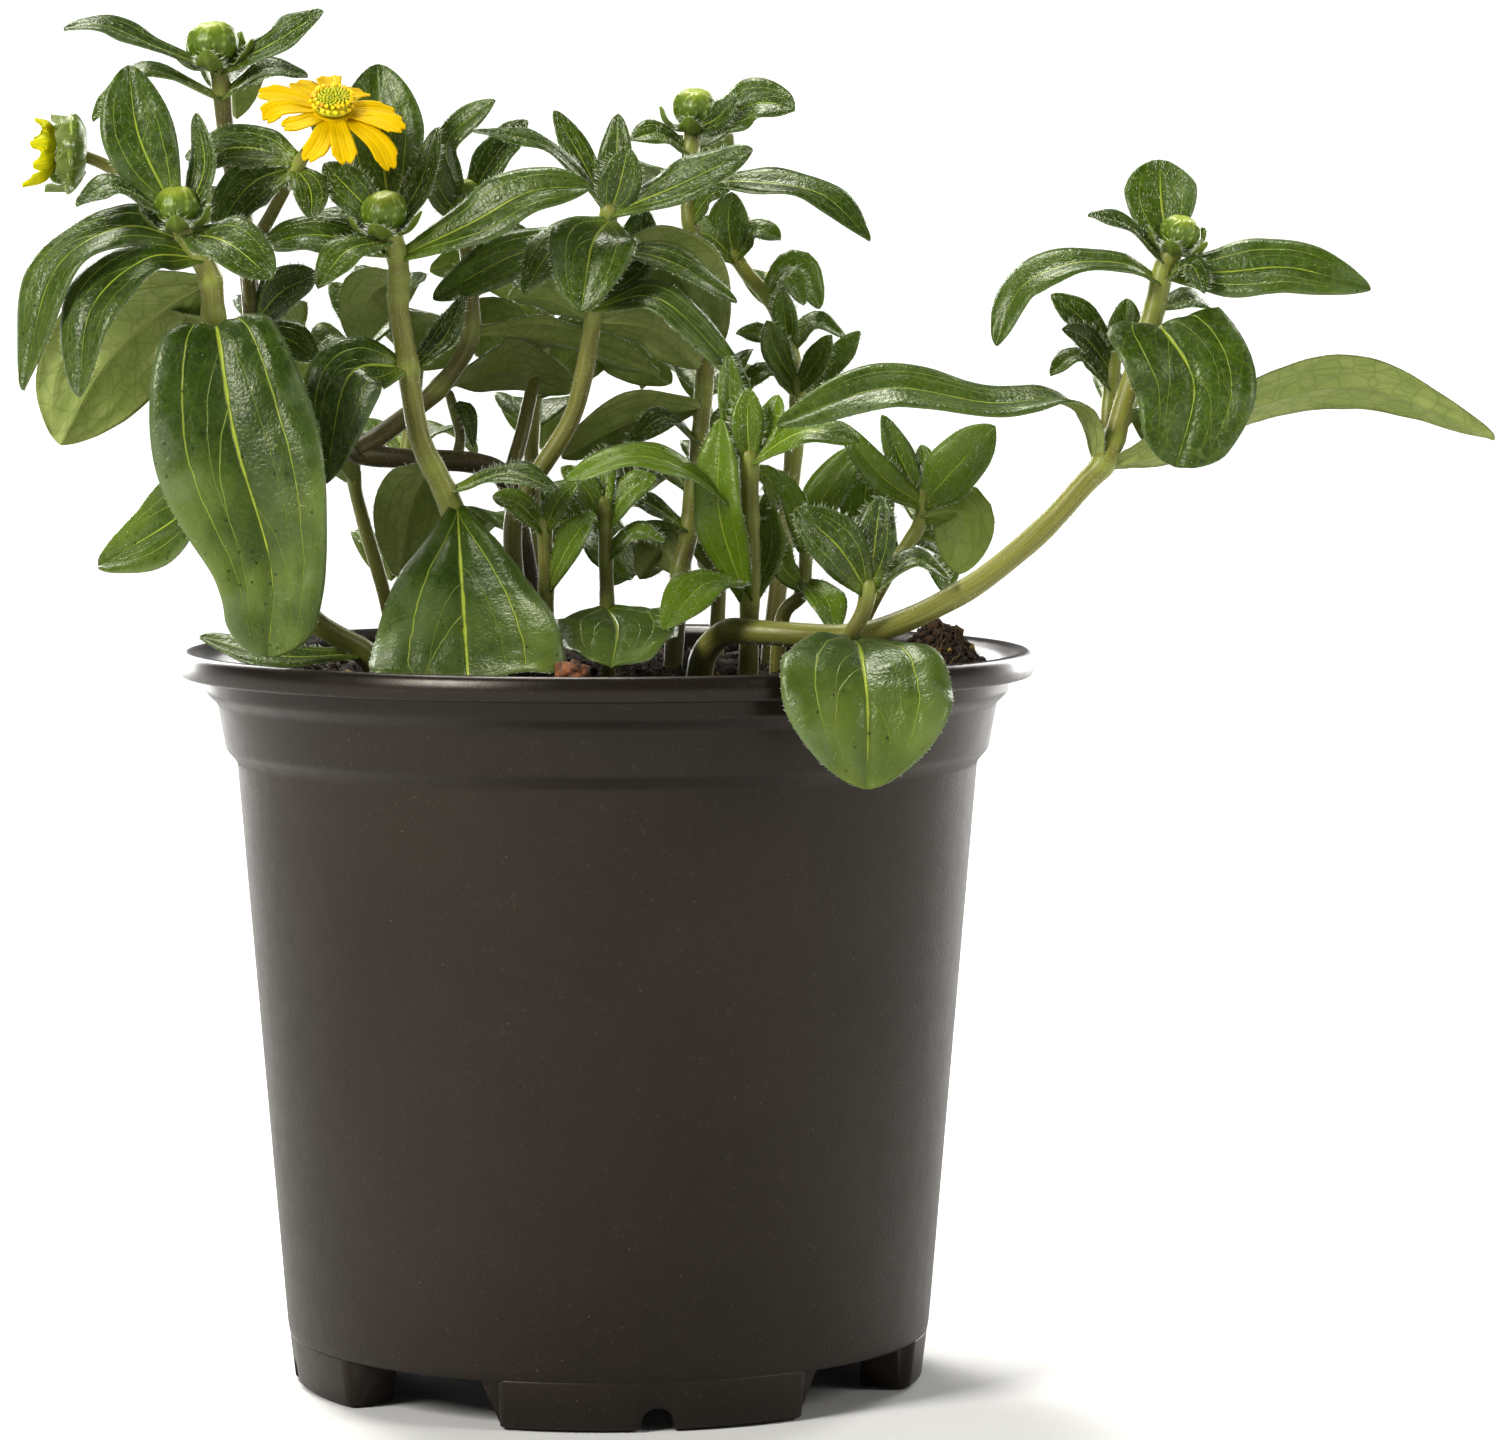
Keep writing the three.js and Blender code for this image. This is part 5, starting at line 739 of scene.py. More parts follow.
def leaf(solid, hairs, row, lime, rng):
    """A blade with sunken veins, waves and ribs, and the feet of its hairs."""
    points, width, looks, widest = row[:4]
    tip_looks = row[4] if len(row) > 4 else looks
    path = place(points)
    length = np.linalg.norm(np.diff(curve(path, np.linspace(0, 1, 40)), axis=0), axis=1).sum()
    rows = int(np.clip(length / 0.95, 12, 52))
    columns = 2 * int(np.clip(width / 1.7, 4, 14))
    seed = rng.uniform()
    young = float(np.clip(1.15 - length / 26, 0, 1))
    broad = float(np.clip((width - 5) / 16, 0, 1))

    t = (1 - (1 - np.linspace(0, 1, rows + 1)) ** 1.35) * 0.9985
    v = np.linspace(-1, 1, columns + 1)
    middle = curve(path, t)
    along = tangent(path, t)
    at = np.asarray(looks, float) * (1 - t[:, None]) + np.asarray(tip_looks, float) * t[:, None]
    up = unit(at - along * (at * along).sum(1, keepdims=True))
    side = np.cross(along, up)
    half = half_width(t, width, widest)

    across = np.abs(v)[None, :]
    T = t[:, None]
    H = half[:, None]
    left = (v < 0)[None, :]
    reach = across * H
    lateral = np.abs(across - arch(T, 0, 0.6, 8)) * H
    second = np.abs(across - arch(T, 0.42 + 0.2 * left + 0.08 * (seed - 0.5), 0.52, 6)) * H
    ends = smooth(T, 0.02, 0.2) * (1 - smooth(T, 0.8, 0.98))
    groove = 0.16 + 0.3 * broad
    relief = -groove * np.exp(-(reach / (0.35 + 0.02 * width)) ** 2)
    relief = relief - 0.3 * broad * ends * np.exp(-(lateral / 0.8) ** 2)
    relief = relief - 0.2 * broad * ends * np.exp(-(second / 0.7) ** 2) * smooth(across, 0.04, 0.2)
    flat = np.stack([T * length + 0 * across, v[None, :] * H, 0 * T + 0 * across], -1)
    relief = relief + (0.06 + 0.05 * broad) * swell(flat, 5.2, int(seed * 9999)) * smooth(reach, 0, 2)
    wave = np.where(left, 1.0, 0.8) * np.sin(2 * np.pi * ((1.4 + seed) * T + seed + 0.37 * left))
    relief = relief + 0.1 * H * across ** 2 * wave * smooth(T, 0.08, 0.35)
    relief = relief - (0.06 + 0.08 * (1 - young)) * H * across ** 5
    lift = H * math.sin(FOLD) * across ** 1.3 + relief
    out = H * math.cos(FOLD) * v[None, :]
    skin = middle[:, None] + side[:, None] * out[..., None] + up[:, None] * lift[..., None]

    thick = BLADE * (1 - 0.55 * across ** 4) * (0.75 + 0.25 * broad)
    rib = (0.25 + 0.4 * broad) * (1 - 0.8 * T) * np.exp(-(reach / (0.3 + 0.012 * width)) ** 2)
    rib = rib + 0.18 * broad * ends * np.exp(-(lateral / 0.5) ** 2)
    top = skin + up[:, None] * (thick / 2)[..., None]
    low = skin - up[:, None] * (thick / 2 + rib)[..., None]

    blade = np.stack([T + 0 * across, v[None, :] + 0 * T, H + 0 * across], -1)
    growth = (young if young > 0 else -broad, seed, lime)
    sheet(solid, top, low, [UPPER, UNDER, UPPER], blade, growth)

    # Hairs on both margins, and on the upper side, where a young leaf has the most
    edge = int(2 * length / (0.2 + 0.2 * (1 - young)))
    spot = rng.uniform(0.03, 0.99, edge)
    right = rng.integers(0, 2, edge)
    base = between(skin, spot, right.astype(float), t)
    way = np.where(right[:, None] > 0, 1, -1) * row_of(side, spot, t)
    way = way + 0.35 * row_of(along, spot, t) + row_of(up, spot, t) * rng.uniform(-0.3, 0.7, (edge, 1))
    way = way + rng.normal(0, 0.18, (edge, 3))
    long = (0.65 - 0.35 * broad + 0.65 * young) * rng.uniform(0.5, 1.2, edge)
    hairs.append((base, unit(way), long))
    area = length * width * 0.7
    bristle = int(min(area * (0.15 + 3.4 * young), 600))
    spot = rng.uniform(0.02, 0.98, bristle)
    place_across = rng.uniform(0.02, 0.98, bristle)
    base = between(top, spot, place_across, t)
    way = row_of(up, spot, t) + 0.9 * row_of(along, spot, t) + rng.normal(0, 0.35, (bristle, 3))
    hairs.append((base, unit(way), (0.2 + 0.42 * young) * rng.uniform(0.6, 1.2, bristle)))


def row_of(rows, spot, t):
    """Values along a leaf at any place along it."""
    return np.stack([np.interp(spot, t, rows[:, k]) for k in range(3)], 1)


def between(points, spot, x, t):
    """Points of a leaf's grid at any place along and across it."""
    row = np.interp(spot, t, np.arange(len(t)))
    column = x * (points.shape[1] - 1)
    i = np.minimum(row.astype(int), points.shape[0] - 2)
    j = np.minimum(column.astype(int), points.shape[1] - 2)
    a = (row - i)[:, None]
    b = (column - j)[:, None]
    near = points[i, j] * (1 - b) + points[i, j + 1] * b
    far = points[i + 1, j] * (1 - b) + points[i + 1, j + 1] * b
    return near * (1 - a) + far * a


def grow_hairs(solid, hairs):
    """Each hair is a thin closed spike with three sides, its foot a little under the skin."""
    base = np.concatenate([h[0] for h in hairs])
    way = np.concatenate([h[1] for h in hairs])
    long = np.concatenate([h[2] for h in hairs])[:, None]
    first = unit(np.cross(way, [0.3, 0.5, 0.81]))
    second = np.cross(way, first)
    foot = base - 0.06 * way
    feet = [
        foot + HAIR_WIDTH / 2 * (math.cos(a) * first + math.sin(a) * second)
        for a in (0, 2 * math.pi / 3, 4 * math.pi / 3)
    ]
    points = np.stack(feet + [base + way * long], 1).reshape(-1, 3)
    start = 4 * np.arange(len(base))[:, None, None]
    faces = np.array([[0, 1, 3], [1, 2, 3], [2, 0, 3], [0, 2, 1]])[None] + start
    solid.add(points, faces.reshape(-1, 3), 0)


# Stems, buds and cups

def stem(solid, hairs, row, brown, nodes, seed, rng):
    """A stem that is thicker where a leaf stands on it, with short hairs."""
    foot_radius, top_radius, points = row
    path = place(points)
    reach = np.linalg.norm(np.diff(curve(path, np.linspace(0, 1, 200)), axis=0), axis=1).sum()
    count = int(max(12, reach / 1.1))
    t = np.linspace(0, 1, count + 1)
    line = curve(path, t)
    radii = foot_radius + (top_radius - foot_radius) * t
    ring = np.zeros(len(t))
    for spot in nodes:
        apart = np.linalg.norm(line - spot, axis=1)
        if apart.min() < 3.2:
            ring = np.maximum(ring, np.exp(-((t - t[apart.argmin()]) * reach / 1.5) ** 2))
    radii = radii * (1 + 0.13 * ring + 0.025 * swell(line, 9, seed))
    end = unit(line[-1] - line[-2])
    tip = [line[-1] + end * radii[-1] * s for s in (0.45, 0.8, 0.95)]
    line = np.concatenate([line, tip])
    radii = np.concatenate([radii, radii[-1] * np.array([0.88, 0.55, 0.2])])
    t = np.concatenate([t, [1, 1, 1]])
    ring = np.concatenate([ring, [0, 0, 0]])
    blade = np.stack([t * reach, 0 * t, brown * (1 - 0.35 * t)], 1)
    growth = np.stack([ring, np.full(len(t), (seed * 0.37) % 1), t], 1)
    frames = tube(solid, line, radii, 12, SKIN, blade, growth)
    bristle = int(reach * 2 * math.pi * radii.mean() * 0.6)
    spot = rng.uniform(0.12, 1, bristle) * (count - 1)
    turn = rng.uniform(0, 2 * math.pi, bristle)
    i = spot.astype(int)
    normals = np.array([f[0] for f in frames])[i]
    sides = np.array([f[1] for f in frames])[i]
    way = np.cos(turn)[:, None] * normals + np.sin(turn)[:, None] * sides
    a = (spot - i)[:, None]
    base = line[i] * (1 - a) + line[i + 1] * a + way * radii[i][:, None]
    hairs.append((base, unit(way + rng.normal(0, 0.25, (bristle, 3))), rng.uniform(0.2, 0.5, bristle)))


def scaled(share, turn, count, radius):
    """How far the scales of a bud stand out, and how close a point is to the rim of one."""
    total = 0
    rim = 0
    for shift, top, drop, high in ((0, 0.8, 0.62, 0.1), (0.5, 0.96, 0.5, 0.075)):
        place_round = turn * count / (2 * np.pi) + shift
        apart = np.abs(place_round - np.round(place_round)) * 2
        bound = top - drop * apart ** 1.8
        total = total + high * (1 - smooth(share, bound - 0.03, bound + 0.03))
        rim = np.maximum(rim, np.exp(-((share - bound + 0.02) / 0.022) ** 2))
    return total * radius, rim


def fine(profile, count):
    """A smooth profile through all the points of a coarse one."""
    rows = curve(profile, np.linspace(0, 1, count))
    rows[:, 0] = np.maximum(rows[:, 0], 0)
    rows[0] = profile[0]
    rows[-1] = profile[-1]
    rows[[0, -1], 0] = 0
    return rows


def bracts(solid, hairs, middle, radius, axis, rng):
    """Small pale leaves that hold a bud from below."""
    up = unit(axis)
    first = unit(np.cross(up, [0.2, 1, 0.1]))
    second = np.cross(up, first)
    for i in range(BRACTS):
        turn = 2 * math.pi * (i + rng.uniform(-0.15, 0.15)) / BRACTS + 0.4
        way = math.cos(turn) * first + math.sin(turn) * second
        steps = [(0.2, -1.05), (0.95, -0.98), (1.5, -0.55), (rng.uniform(1.7, 2.05), 0.1)]
        rows = []
        for out, high in steps:
            x, y, z = radius * (out * way + high * up)
            rows.append([middle[0] + x, middle[1] + z, middle[2] + y])
        leaf(solid, hairs, [rows, 1.15 * radius, (up - 0.5 * way).tolist(), 0.5], 1, rng)


def shoot(row, order):
    """One shoot with its hairs, and the green cups of both blooms where it carries them."""
    name, stems, leaves, buds = row
    rng = np.random.default_rng(100 + order)
    solid = Solid()
    hairs = []
    lime = LIME.get(name, 0.08)
    browns = BROWN.get(name, [0.05])
    feet = [place(leaf_row[0])[0] for leaf_row in leaves]
    for leaf_row in leaves:
        leaf(solid, hairs, leaf_row, np.clip(lime + rng.normal(0, 0.08), 0, 1), rng)
    for i, stem_row in enumerate(stems):
        brown = browns[min(i, len(browns) - 1)]
        stem(solid, hairs, stem_row, brown, feet, 10 * order + i, rng)
    for middle, radius, axis in buds:
        profile = fine(np.array(BUD_PROFILE) * radius * 0.94, 40)
        lathe(solid, profile, BUD_SIDES, place(middle)[0], axis, SCALES, 5, radius,
              (1, rng.uniform(), 0))
        bracts(solid, hairs, middle, radius, axis, rng)
    if name == "leaning_shoot":
        looks = unit(FLOWER_LOOKS)
        base = place(FLOWER_MIDDLE)[0] - looks * (HUB_HALF + GAP)
        lathe(solid, rounded(CUP_PROFILE, 0.7), BUD_SIDES, base, looks, SCALES, 6, 3, (0.6, 0.3, 0))
        middle = place(SIDE_MIDDLE)[0]
        lathe(solid, rounded(SIDE_CUP_PROFILE, 1), BUD_SIDES, middle, SIDE_LOOKS, SCALES, 5, 4,
              (0.8, 0.6, 0))
        for mid, tip in SIDE_SCALES:
            start = [
                SIDE_MIDDLE[0] + SCALE_FOOT,
                (mid[1] + SIDE_MIDDLE[1]) / 2,
                (mid[2] + SIDE_MIDDLE[2]) / 2,
            ]
            inward = unit(middle - place(mid)[0])
            over = [tip[0] - 0.7] + [tip[k] - 0.04 * (tip[k] - SIDE_MIDDLE[k]) for k in (1, 2)]
            leaf(solid, hairs, [[start, mid, over], SCALE_WIDTH, inward, OVAL], 0.75, rng)
    piece(name + "_growth", solid, [LEAF, LEAF_UNDER, STEM, BUD], name)
    down = Solid()
    grow_hairs(down, hairs)
    piece(name + "_hairs", down, [HAIR])


# Flowers

def petal(solid, centre, looks, mid, tip, width, rng, closed=0):
    """A ray with a notched tip. A closed one is pointed and curved like a boat."""
    ends = [centre, place(mid)[0], place(tip)[0]]
    ends[0] = centre + (ends[1] - centre) * 0.12
    rows, columns = 26, 12
    t = np.linspace(0, 1, rows + 1)
    v = np.linspace(-1, 1, columns + 1)
    middle = curve(ends, t)
    along = tangent(ends, t)
    up = unit(looks - along * (along @ looks)[:, None])
    side = np.cross(along, up)
    shares = np.array(SIDE_RAY_SHARES if closed else RAY_SHARES)
    half = width / 2 * np.interp(t, shares[:, 0], shares[:, 1])
    half = np.convolve(np.pad(half, 2, "edge"), np.ones(5) / 5, "valid")
    across = np.abs(v)[None, :]
    T = t[:, None]
    end = smooth(T, 0.72, 1)
    teeth = (1 - closed) * RAY_NOTCH * width * np.exp(-(v / 0.2) ** 2) + 0.34 * width * across[0] ** 3.2
    pull = -end * teeth[None, :]
    lift = half[:, None] * (math.sin(FOLD) + 0.45 * closed) * across ** 1.6
    lift = lift + 0.055 * np.cos(np.pi * 3.2 * v)[None, :] * smooth(T, 0.1, 0.4)
    lift = lift + 0.16 * np.sin(2 * np.pi * (0.8 * T + rng.uniform())) * across * np.sign(v)[None, :]
    out = half[:, None] * math.cos(FOLD) * v[None, :]
    skin = middle[:, None] + side[:, None] * out[..., None] + up[:, None] * lift[..., None]
    skin = skin + along[:, None] * pull[..., None]
    thick = (0.15 * (1 - 0.5 * across ** 4) + 0 * T)[..., None]
    top = skin + up[:, None] * thick
    low = skin - up[:, None] * thick
    blade = np.stack([T + 0 * across, v[None, :] + 0 * T, half[:, None] + 0 * across], -1)
    sheet(solid, top, low, [0, 0, 0], blade, (0, rng.uniform(), 0))


def blooms():
    """The rays and the middle of the open flower, and the rays of the side bloom."""
    rng = np.random.default_rng(7)
    looks = unit(FLOWER_LOOKS)
    centre = place(FLOWER_MIDDLE)[0]
    rays = Solid()
    hub = [[0, -HUB_HALF], [3.2, -HUB_HALF], [3.2, HUB_HALF], [0, HUB_HALF]]
    lathe(rays, rounded(hub, 0.3), HUB_SIDES, centre, looks, 0)
    for mid, tip in FLOWER_RAYS:
        petal(rays, centre, looks, mid, tip, RAY_WIDTH, rng)
    piece("flower_rays_petals", rays, [PETAL, BUD], "flower_rays")

    base = centre + looks * (HUB_HALF + GAP)
    first = unit(np.cross(looks, [1, 0, 0]))
    second = np.cross(looks, first)
    disc = Solid()
    dome = [[0, 0], [3, 0], [3.1, 0.45], [2.4, 1.15], [1.4, 1.6], [0, 1.5]]
    lathe(disc, rounded(dome, 0.3), HUB_SIDES, base, looks, 0, growth=(0, 0.5, 0))
    for i in range(DISC_FLORETS):
        radius = DISC_RADIUS * math.sqrt((i + 0.5) / DISC_FLORETS)
        turn = i * GOLDEN_TURN
        way = math.cos(turn) * first + math.sin(turn) * second
        height = 1.75 - 0.13 * (radius - 1.25) ** 2 - 0.08 * radius
        at = base + way * radius + looks * height
        out = unit(looks + way * radius * 0.28)
        away = radius / DISC_RADIUS
        size = 0.2 + 0.05 * away
        knob = [[0, -0.4], [size, -0.2], [size * 1.1, 0.12], [size * 0.6, 0.32], [0, 0.36]]
        lathe(disc, knob, 8, at, out, 0, growth=(0, rng.uniform(), away))
    for i in range(RIM_FLORETS):
        ring = i % 2
        turn = 2 * math.pi * (i + rng.uniform(-0.25, 0.25)) / RIM_FLORETS
        way = math.cos(turn) * first + math.sin(turn) * second
        out = unit(looks * (1.5 - 0.75 * ring) + way * (0.7 + 0.3 * ring) + rng.normal(0, 0.12, 3))
        at = base + way * (2.5 + 0.3 * ring) + looks * (1.15 - 0.4 * ring)
        long = rng.uniform(0.6, 1)
        knob = [
            [0, -0.6], [0.19, -0.4], [0.19, long * 0.5], [0.33, long],
            [0.14, long * 0.86], [0, long * 0.8],
        ]
        lathe(disc, knob, 7, at, out, 1, growth=(0, rng.uniform(), 0))
    piece("flower_disc_florets", disc, [DISC, FLORET], "flower_disc")

    middle = place(SIDE_MIDDLE)[0]
    way = unit(SIDE_LOOKS)
    side = Solid()
    hub = [[0, 0], [3.4, 0], [3.4, 0.9], [0, 0.9]]
    lathe(side, rounded(hub, 0.3), HUB_SIDES, middle, way, 1)
    for mid, tip in SIDE_RAYS:
        inward = unit(middle - place(mid)[0])
        out = [[row[0]] + [SIDE_MIDDLE[k] + 1.12 * (row[k] - SIDE_MIDDLE[k]) for k in (1, 2)]
               for row in (mid, tip)]
        petal(side, middle + way * 0.4, inward + 0.4 * way, *out, SIDE_RAY_WIDTH, rng, 1)
    piece("side_bloom_petals", side, [SIDE_PETAL, BUD], "side_bloom_rays")


# Soil

def soil_height(x, y):
    """The height of the peat as in the solids, with its clump and the bark."""
    def lump(at):
        return at[3] * np.exp(-((x - at[0]) ** 2 + (y - at[1]) ** 2) / (0.5 * at[2] ** 2))

    rough = 0.5 * np.sin(0.31 * x + 1.1) * np.cos(0.27 * y) + 0.35 * np.sin(0.6 * y - 0.4 * x)
    return SOIL_TOP + rough + lump(CLUMP) + lump(BARK)


def soil_surface(x, y):
    """The same height with lumps of three sizes, calmer near the pot."""
    at = np.stack([x, y, 0 * x], -1)
    near = smooth(np.hypot(x, y), SOIL_RADIUS - 5, SOIL_RADIUS)
    coarse = 0.55 * swell(at, 6, 31) + 0.38 * swell(at, 2.6, 32)
    return soil_height(x, y) + (coarse + 0.3 * swell(at, 1.5, 33)) * (1 - 0.6 * near)


def crumb(solid, middle, size, rng, kind, growth):
    """An uneven lump with twenty faces."""
    g = (1 + math.sqrt(5)) / 2
    corners = np.array([
        [-1, g, 0], [1, g, 0], [-1, -g, 0], [1, -g, 0], [0, -1, g], [0, 1, g],
        [0, -1, -g], [0, 1, -g], [g, 0, -1], [g, 0, 1], [-g, 0, -1], [-g, 0, 1],
    ])
    faces = [
        [0, 11, 5], [0, 5, 1], [0, 1, 7], [0, 7, 10], [0, 10, 11], [1, 5, 9], [5, 11, 4],
        [11, 10, 2], [10, 7, 6], [7, 1, 8], [3, 9, 4], [3, 4, 2], [3, 2, 6], [3, 6, 8],
        [3, 8, 9], [4, 9, 5], [2, 4, 11], [6, 2, 10], [8, 6, 7], [9, 8, 1],
    ]
    turn = np.linalg.qr(rng.normal(size=(3, 3)))[0]
    turn = turn * np.sign(np.linalg.det(turn))
    points = unit(corners) * rng.uniform(0.7, 1.2, (12, 1)) * size * rng.uniform(0.6, 1.3, 3)
    solid.add(middle + points @ turn.T, faces, kind, (0, 0, 0), growth)


def soil():
    """The peat with its crumbs and fibres, and the bit of bark."""
    rng = np.random.default_rng(11)
    solid = Solid()
    turn = np.linspace(0, 2 * np.pi, SOIL_SIDES, endpoint=False)
    rows = [
        np.stack([r * np.cos(turn), r * np.sin(turn), np.full(SOIL_SIDES, float(h))], 1)
        for r, h in SOIL_SIDE
    ]
    for i in range(SOIL_RINGS, 0, -1):
        x = SOIL_RADIUS * i / SOIL_RINGS * np.cos(turn)
        y = SOIL_RADIUS * i / SOIL_RINGS * np.sin(turn)
        rows.append(np.stack([x, y, soil_surface(x, y)], 1))
    count = len(rows)
    zero = np.zeros(1)
    rows.append([[0, 0, SOIL_SIDE[0][1]], [0, 0, float(soil_surface(zero, zero)[0])]])
    solid.add(np.concatenate(rows), grid(count, SOIL_SIDES, True), 0, growth=(0, 0.3, 0),
              caps=fans(SOIL_SIDES, count))
    for i in range(CRUMBS):
        if i % 5 == 0:
            x = CLUMP[0] + rng.normal(0, 4.4)
            y = CLUMP[1] + rng.normal(0, 4.4)
        else:
            turn = rng.uniform(0, 2 * math.pi)
            away = SOIL_RADIUS * math.sqrt(rng.uniform())
            x, y = away * math.cos(turn), away * math.sin(turn)
        size = 0.2 + 0.75 * rng.uniform() ** 3.5
        if math.hypot(x, y) > SOIL_RADIUS - size:
            continue
        z = float(soil_surface(np.array([x]), np.array([y]))[0]) + 0.25 * size
        pale = rng.uniform() ** 2.5
        crumb(solid, np.array([x, y, z]), size, rng, 0, (pale, rng.uniform(), 0))
    for i in range(FIBRES):
        turn = rng.uniform(0, 2 * math.pi)
        away = (SOIL_RADIUS - 3) * math.sqrt(rng.uniform())
        if i % 5 == 0:
            x = CLUMP[0] + rng.normal(0, 4)
            y = CLUMP[1] + rng.normal(0, 4)
        else:
            x, y = away * math.cos(turn), away * math.sin(turn)
        way = rng.uniform(0, 2 * math.pi)
        long = rng.uniform(1.5, 6)
        s = np.linspace(-0.5, 0.5, 7)
        bow = rng.normal(0, 0.12)
        px = x + long * (s * math.cos(way) - bow * (4 * s * s) * math.sin(way))
        py = y + long * (s * math.sin(way) + bow * (4 * s * s) * math.cos(way))
        keep = np.minimum(1, (SOIL_RADIUS - 0.6) / np.maximum(np.hypot(px, py), 1e-6))
        px, py = px * keep, py * keep
        pz = soil_surface(px, py) + 0.15 + rng.uniform(0, 0.9) * np.cos(np.pi * s)
        path = np.stack([px, py, pz], 1)
        thin = rng.uniform(0.05, 0.16)
        radii = thin * np.array([0.5, 0.9, 1, 1, 1, 0.8, 0.4])
        growth = np.tile([0.35 + 0.65 * rng.uniform(), rng.uniform(), 1.0], (7, 1))
        tube(solid, path, radii, 4, 0, np.zeros((7, 3)), growth, (0.1, 0.2, 1))
    for i in range(BARK_BITS):
        at = np.array([BARK[0], BARK[1], 0]) + rng.normal(0, 1.3, 3) * [1, 1, 0]
        at[2] = float(soil_height(at[:1], at[1:2])[0]) + rng.uniform(0.2, 2.4)
        crumb(solid, at, rng.uniform(0.9, 1.9), rng, 1, (1, rng.uniform(), 0))
    piece("soil_peat", solid, [PEAT, CHIP], "soil")


# Pot

def foot_ring(solid):
    """The four feet under the pot, each with sloping ends and a round topped notch."""
    radius = NOTCH_WIDTH / 2
    reach = math.degrees(radius / SKIRT_BOTTOM)
    half = list(np.linspace(reach + 0.05, FOOT_ARC_BOTTOM / 2 - 2.4, 10))
    half += list(np.linspace(FOOT_ARC_BOTTOM / 2 - 1.9, FOOT_ARC_BOTTOM / 2, 6))
    half.append(FOOT_ARC_TOP / 2)
    steps = [-step for step in half[::-1]] + list(np.linspace(-reach, reach, 15)) + half
    for i in range(FEET):
        middle = -90 + FOOT_TURN + 360 / FEET * i
        rings = []
        for step in steps:
            inside = abs(step) <= reach + 1e-6
            off = radius * step / reach
            low = 0.0
            if inside:
                low = NOTCH_HEIGHT - radius + math.sqrt(max(radius ** 2 - off ** 2, 0))
            if abs(step) > FOOT_ARC_BOTTOM / 2 + 0.1:
                low = FOOT_HEIGHT - 0.05
            turn = math.radians(middle + step)
            share = low / FOOT_HEIGHT
            bound = FOOT_ARC_BOTTOM / 2 if low < 1 else FOOT_ARC_TOP / 2
            near = max(0, FOOT_ROUND - math.radians(bound - abs(step)) * SKIRT_BOTTOM)
            round_off = FOOT_ROUND - math.sqrt(max(FOOT_ROUND ** 2 - near ** 2, 0))
            outer_low = SKIRT_BOTTOM + (SKIRT_TOP - SKIRT_BOTTOM) * share - round_off
            edge = min(0.35, (FOOT_HEIGHT - low) / 3)
            section = [
                [SKIRT_TOP - round_off, FOOT_HEIGHT + 0.4],
                [SKIRT_TOP - round_off, FOOT_HEIGHT - 0.04],
                [outer_low, low + edge],
                [outer_low - edge, low],
                [outer_low - SKIRT_THICKNESS + edge, low],
                [outer_low - SKIRT_THICKNESS, low + edge],
                [SKIRT_TOP - SKIRT_THICKNESS, FOOT_HEIGHT + 0.4],
            ]
            rings.append([[r * math.cos(turn), r * math.sin(turn), z] for r, z in section])
        rings = np.array(rings)
        count, sides = rings.shape[:2]
        ring = np.arange(sides)
        ends = [ring, (count - 1) * sides + ring[::-1]]
        solid.add(rings, grid(count, sides, True)[:, ::-1], 0, caps=ends)


def pot():
    """The body of the pot with its drain holes, joined to its feet."""
    solid = Solid()
    lathe(solid, rounded(POT_PROFILE, POT_ROUND), POT_SIDES, (0, 0, 0), (0, 0, 1), 0)
    made = piece("pot_plastic", solid, [PLASTIC], "pot")
    cutter = Solid()
    for i in range(DRAIN_HOLES):
        turn = math.radians(-90 + FOOT_TURN + 360 / DRAIN_HOLES * (i + 0.5))
        at = [DRAIN_CIRCLE * math.cos(turn), DRAIN_CIRCLE * math.sin(turn), 0]
        low, high = FOOT_HEIGHT - 1, 10
        tool = [[0, low], [DRAIN_RADIUS, low], [DRAIN_RADIUS, high], [0, high]]
        lathe(cutter, tool, 32, at, (0, 0, 1), 0)
    holes = piece("drain_holes", cutter, [PLASTIC])
    cut = made.modifiers.new("drain", "BOOLEAN")
    cut.operation = "DIFFERENCE"
    cut.solver = "EXACT"
    cut.object = holes
    bpy.context.view_layer.update()
    seen = made.evaluated_get(bpy.context.evaluated_depsgraph_get())
    drilled = bpy.data.meshes.new_from_object(seen)
    made.modifiers.clear()
    made.data = drilled
    bpy.data.objects.remove(holes)
    feet = Solid()
    foot_ring(feet)
    legs = piece("pot_feet", feet, [PLASTIC])
    whole = bmesh.new()
    whole.from_mesh(drilled)
    whole.from_mesh(legs.data)
    whole.to_mesh(drilled)
    whole.free()
    bpy.data.objects.remove(legs)


# Materials

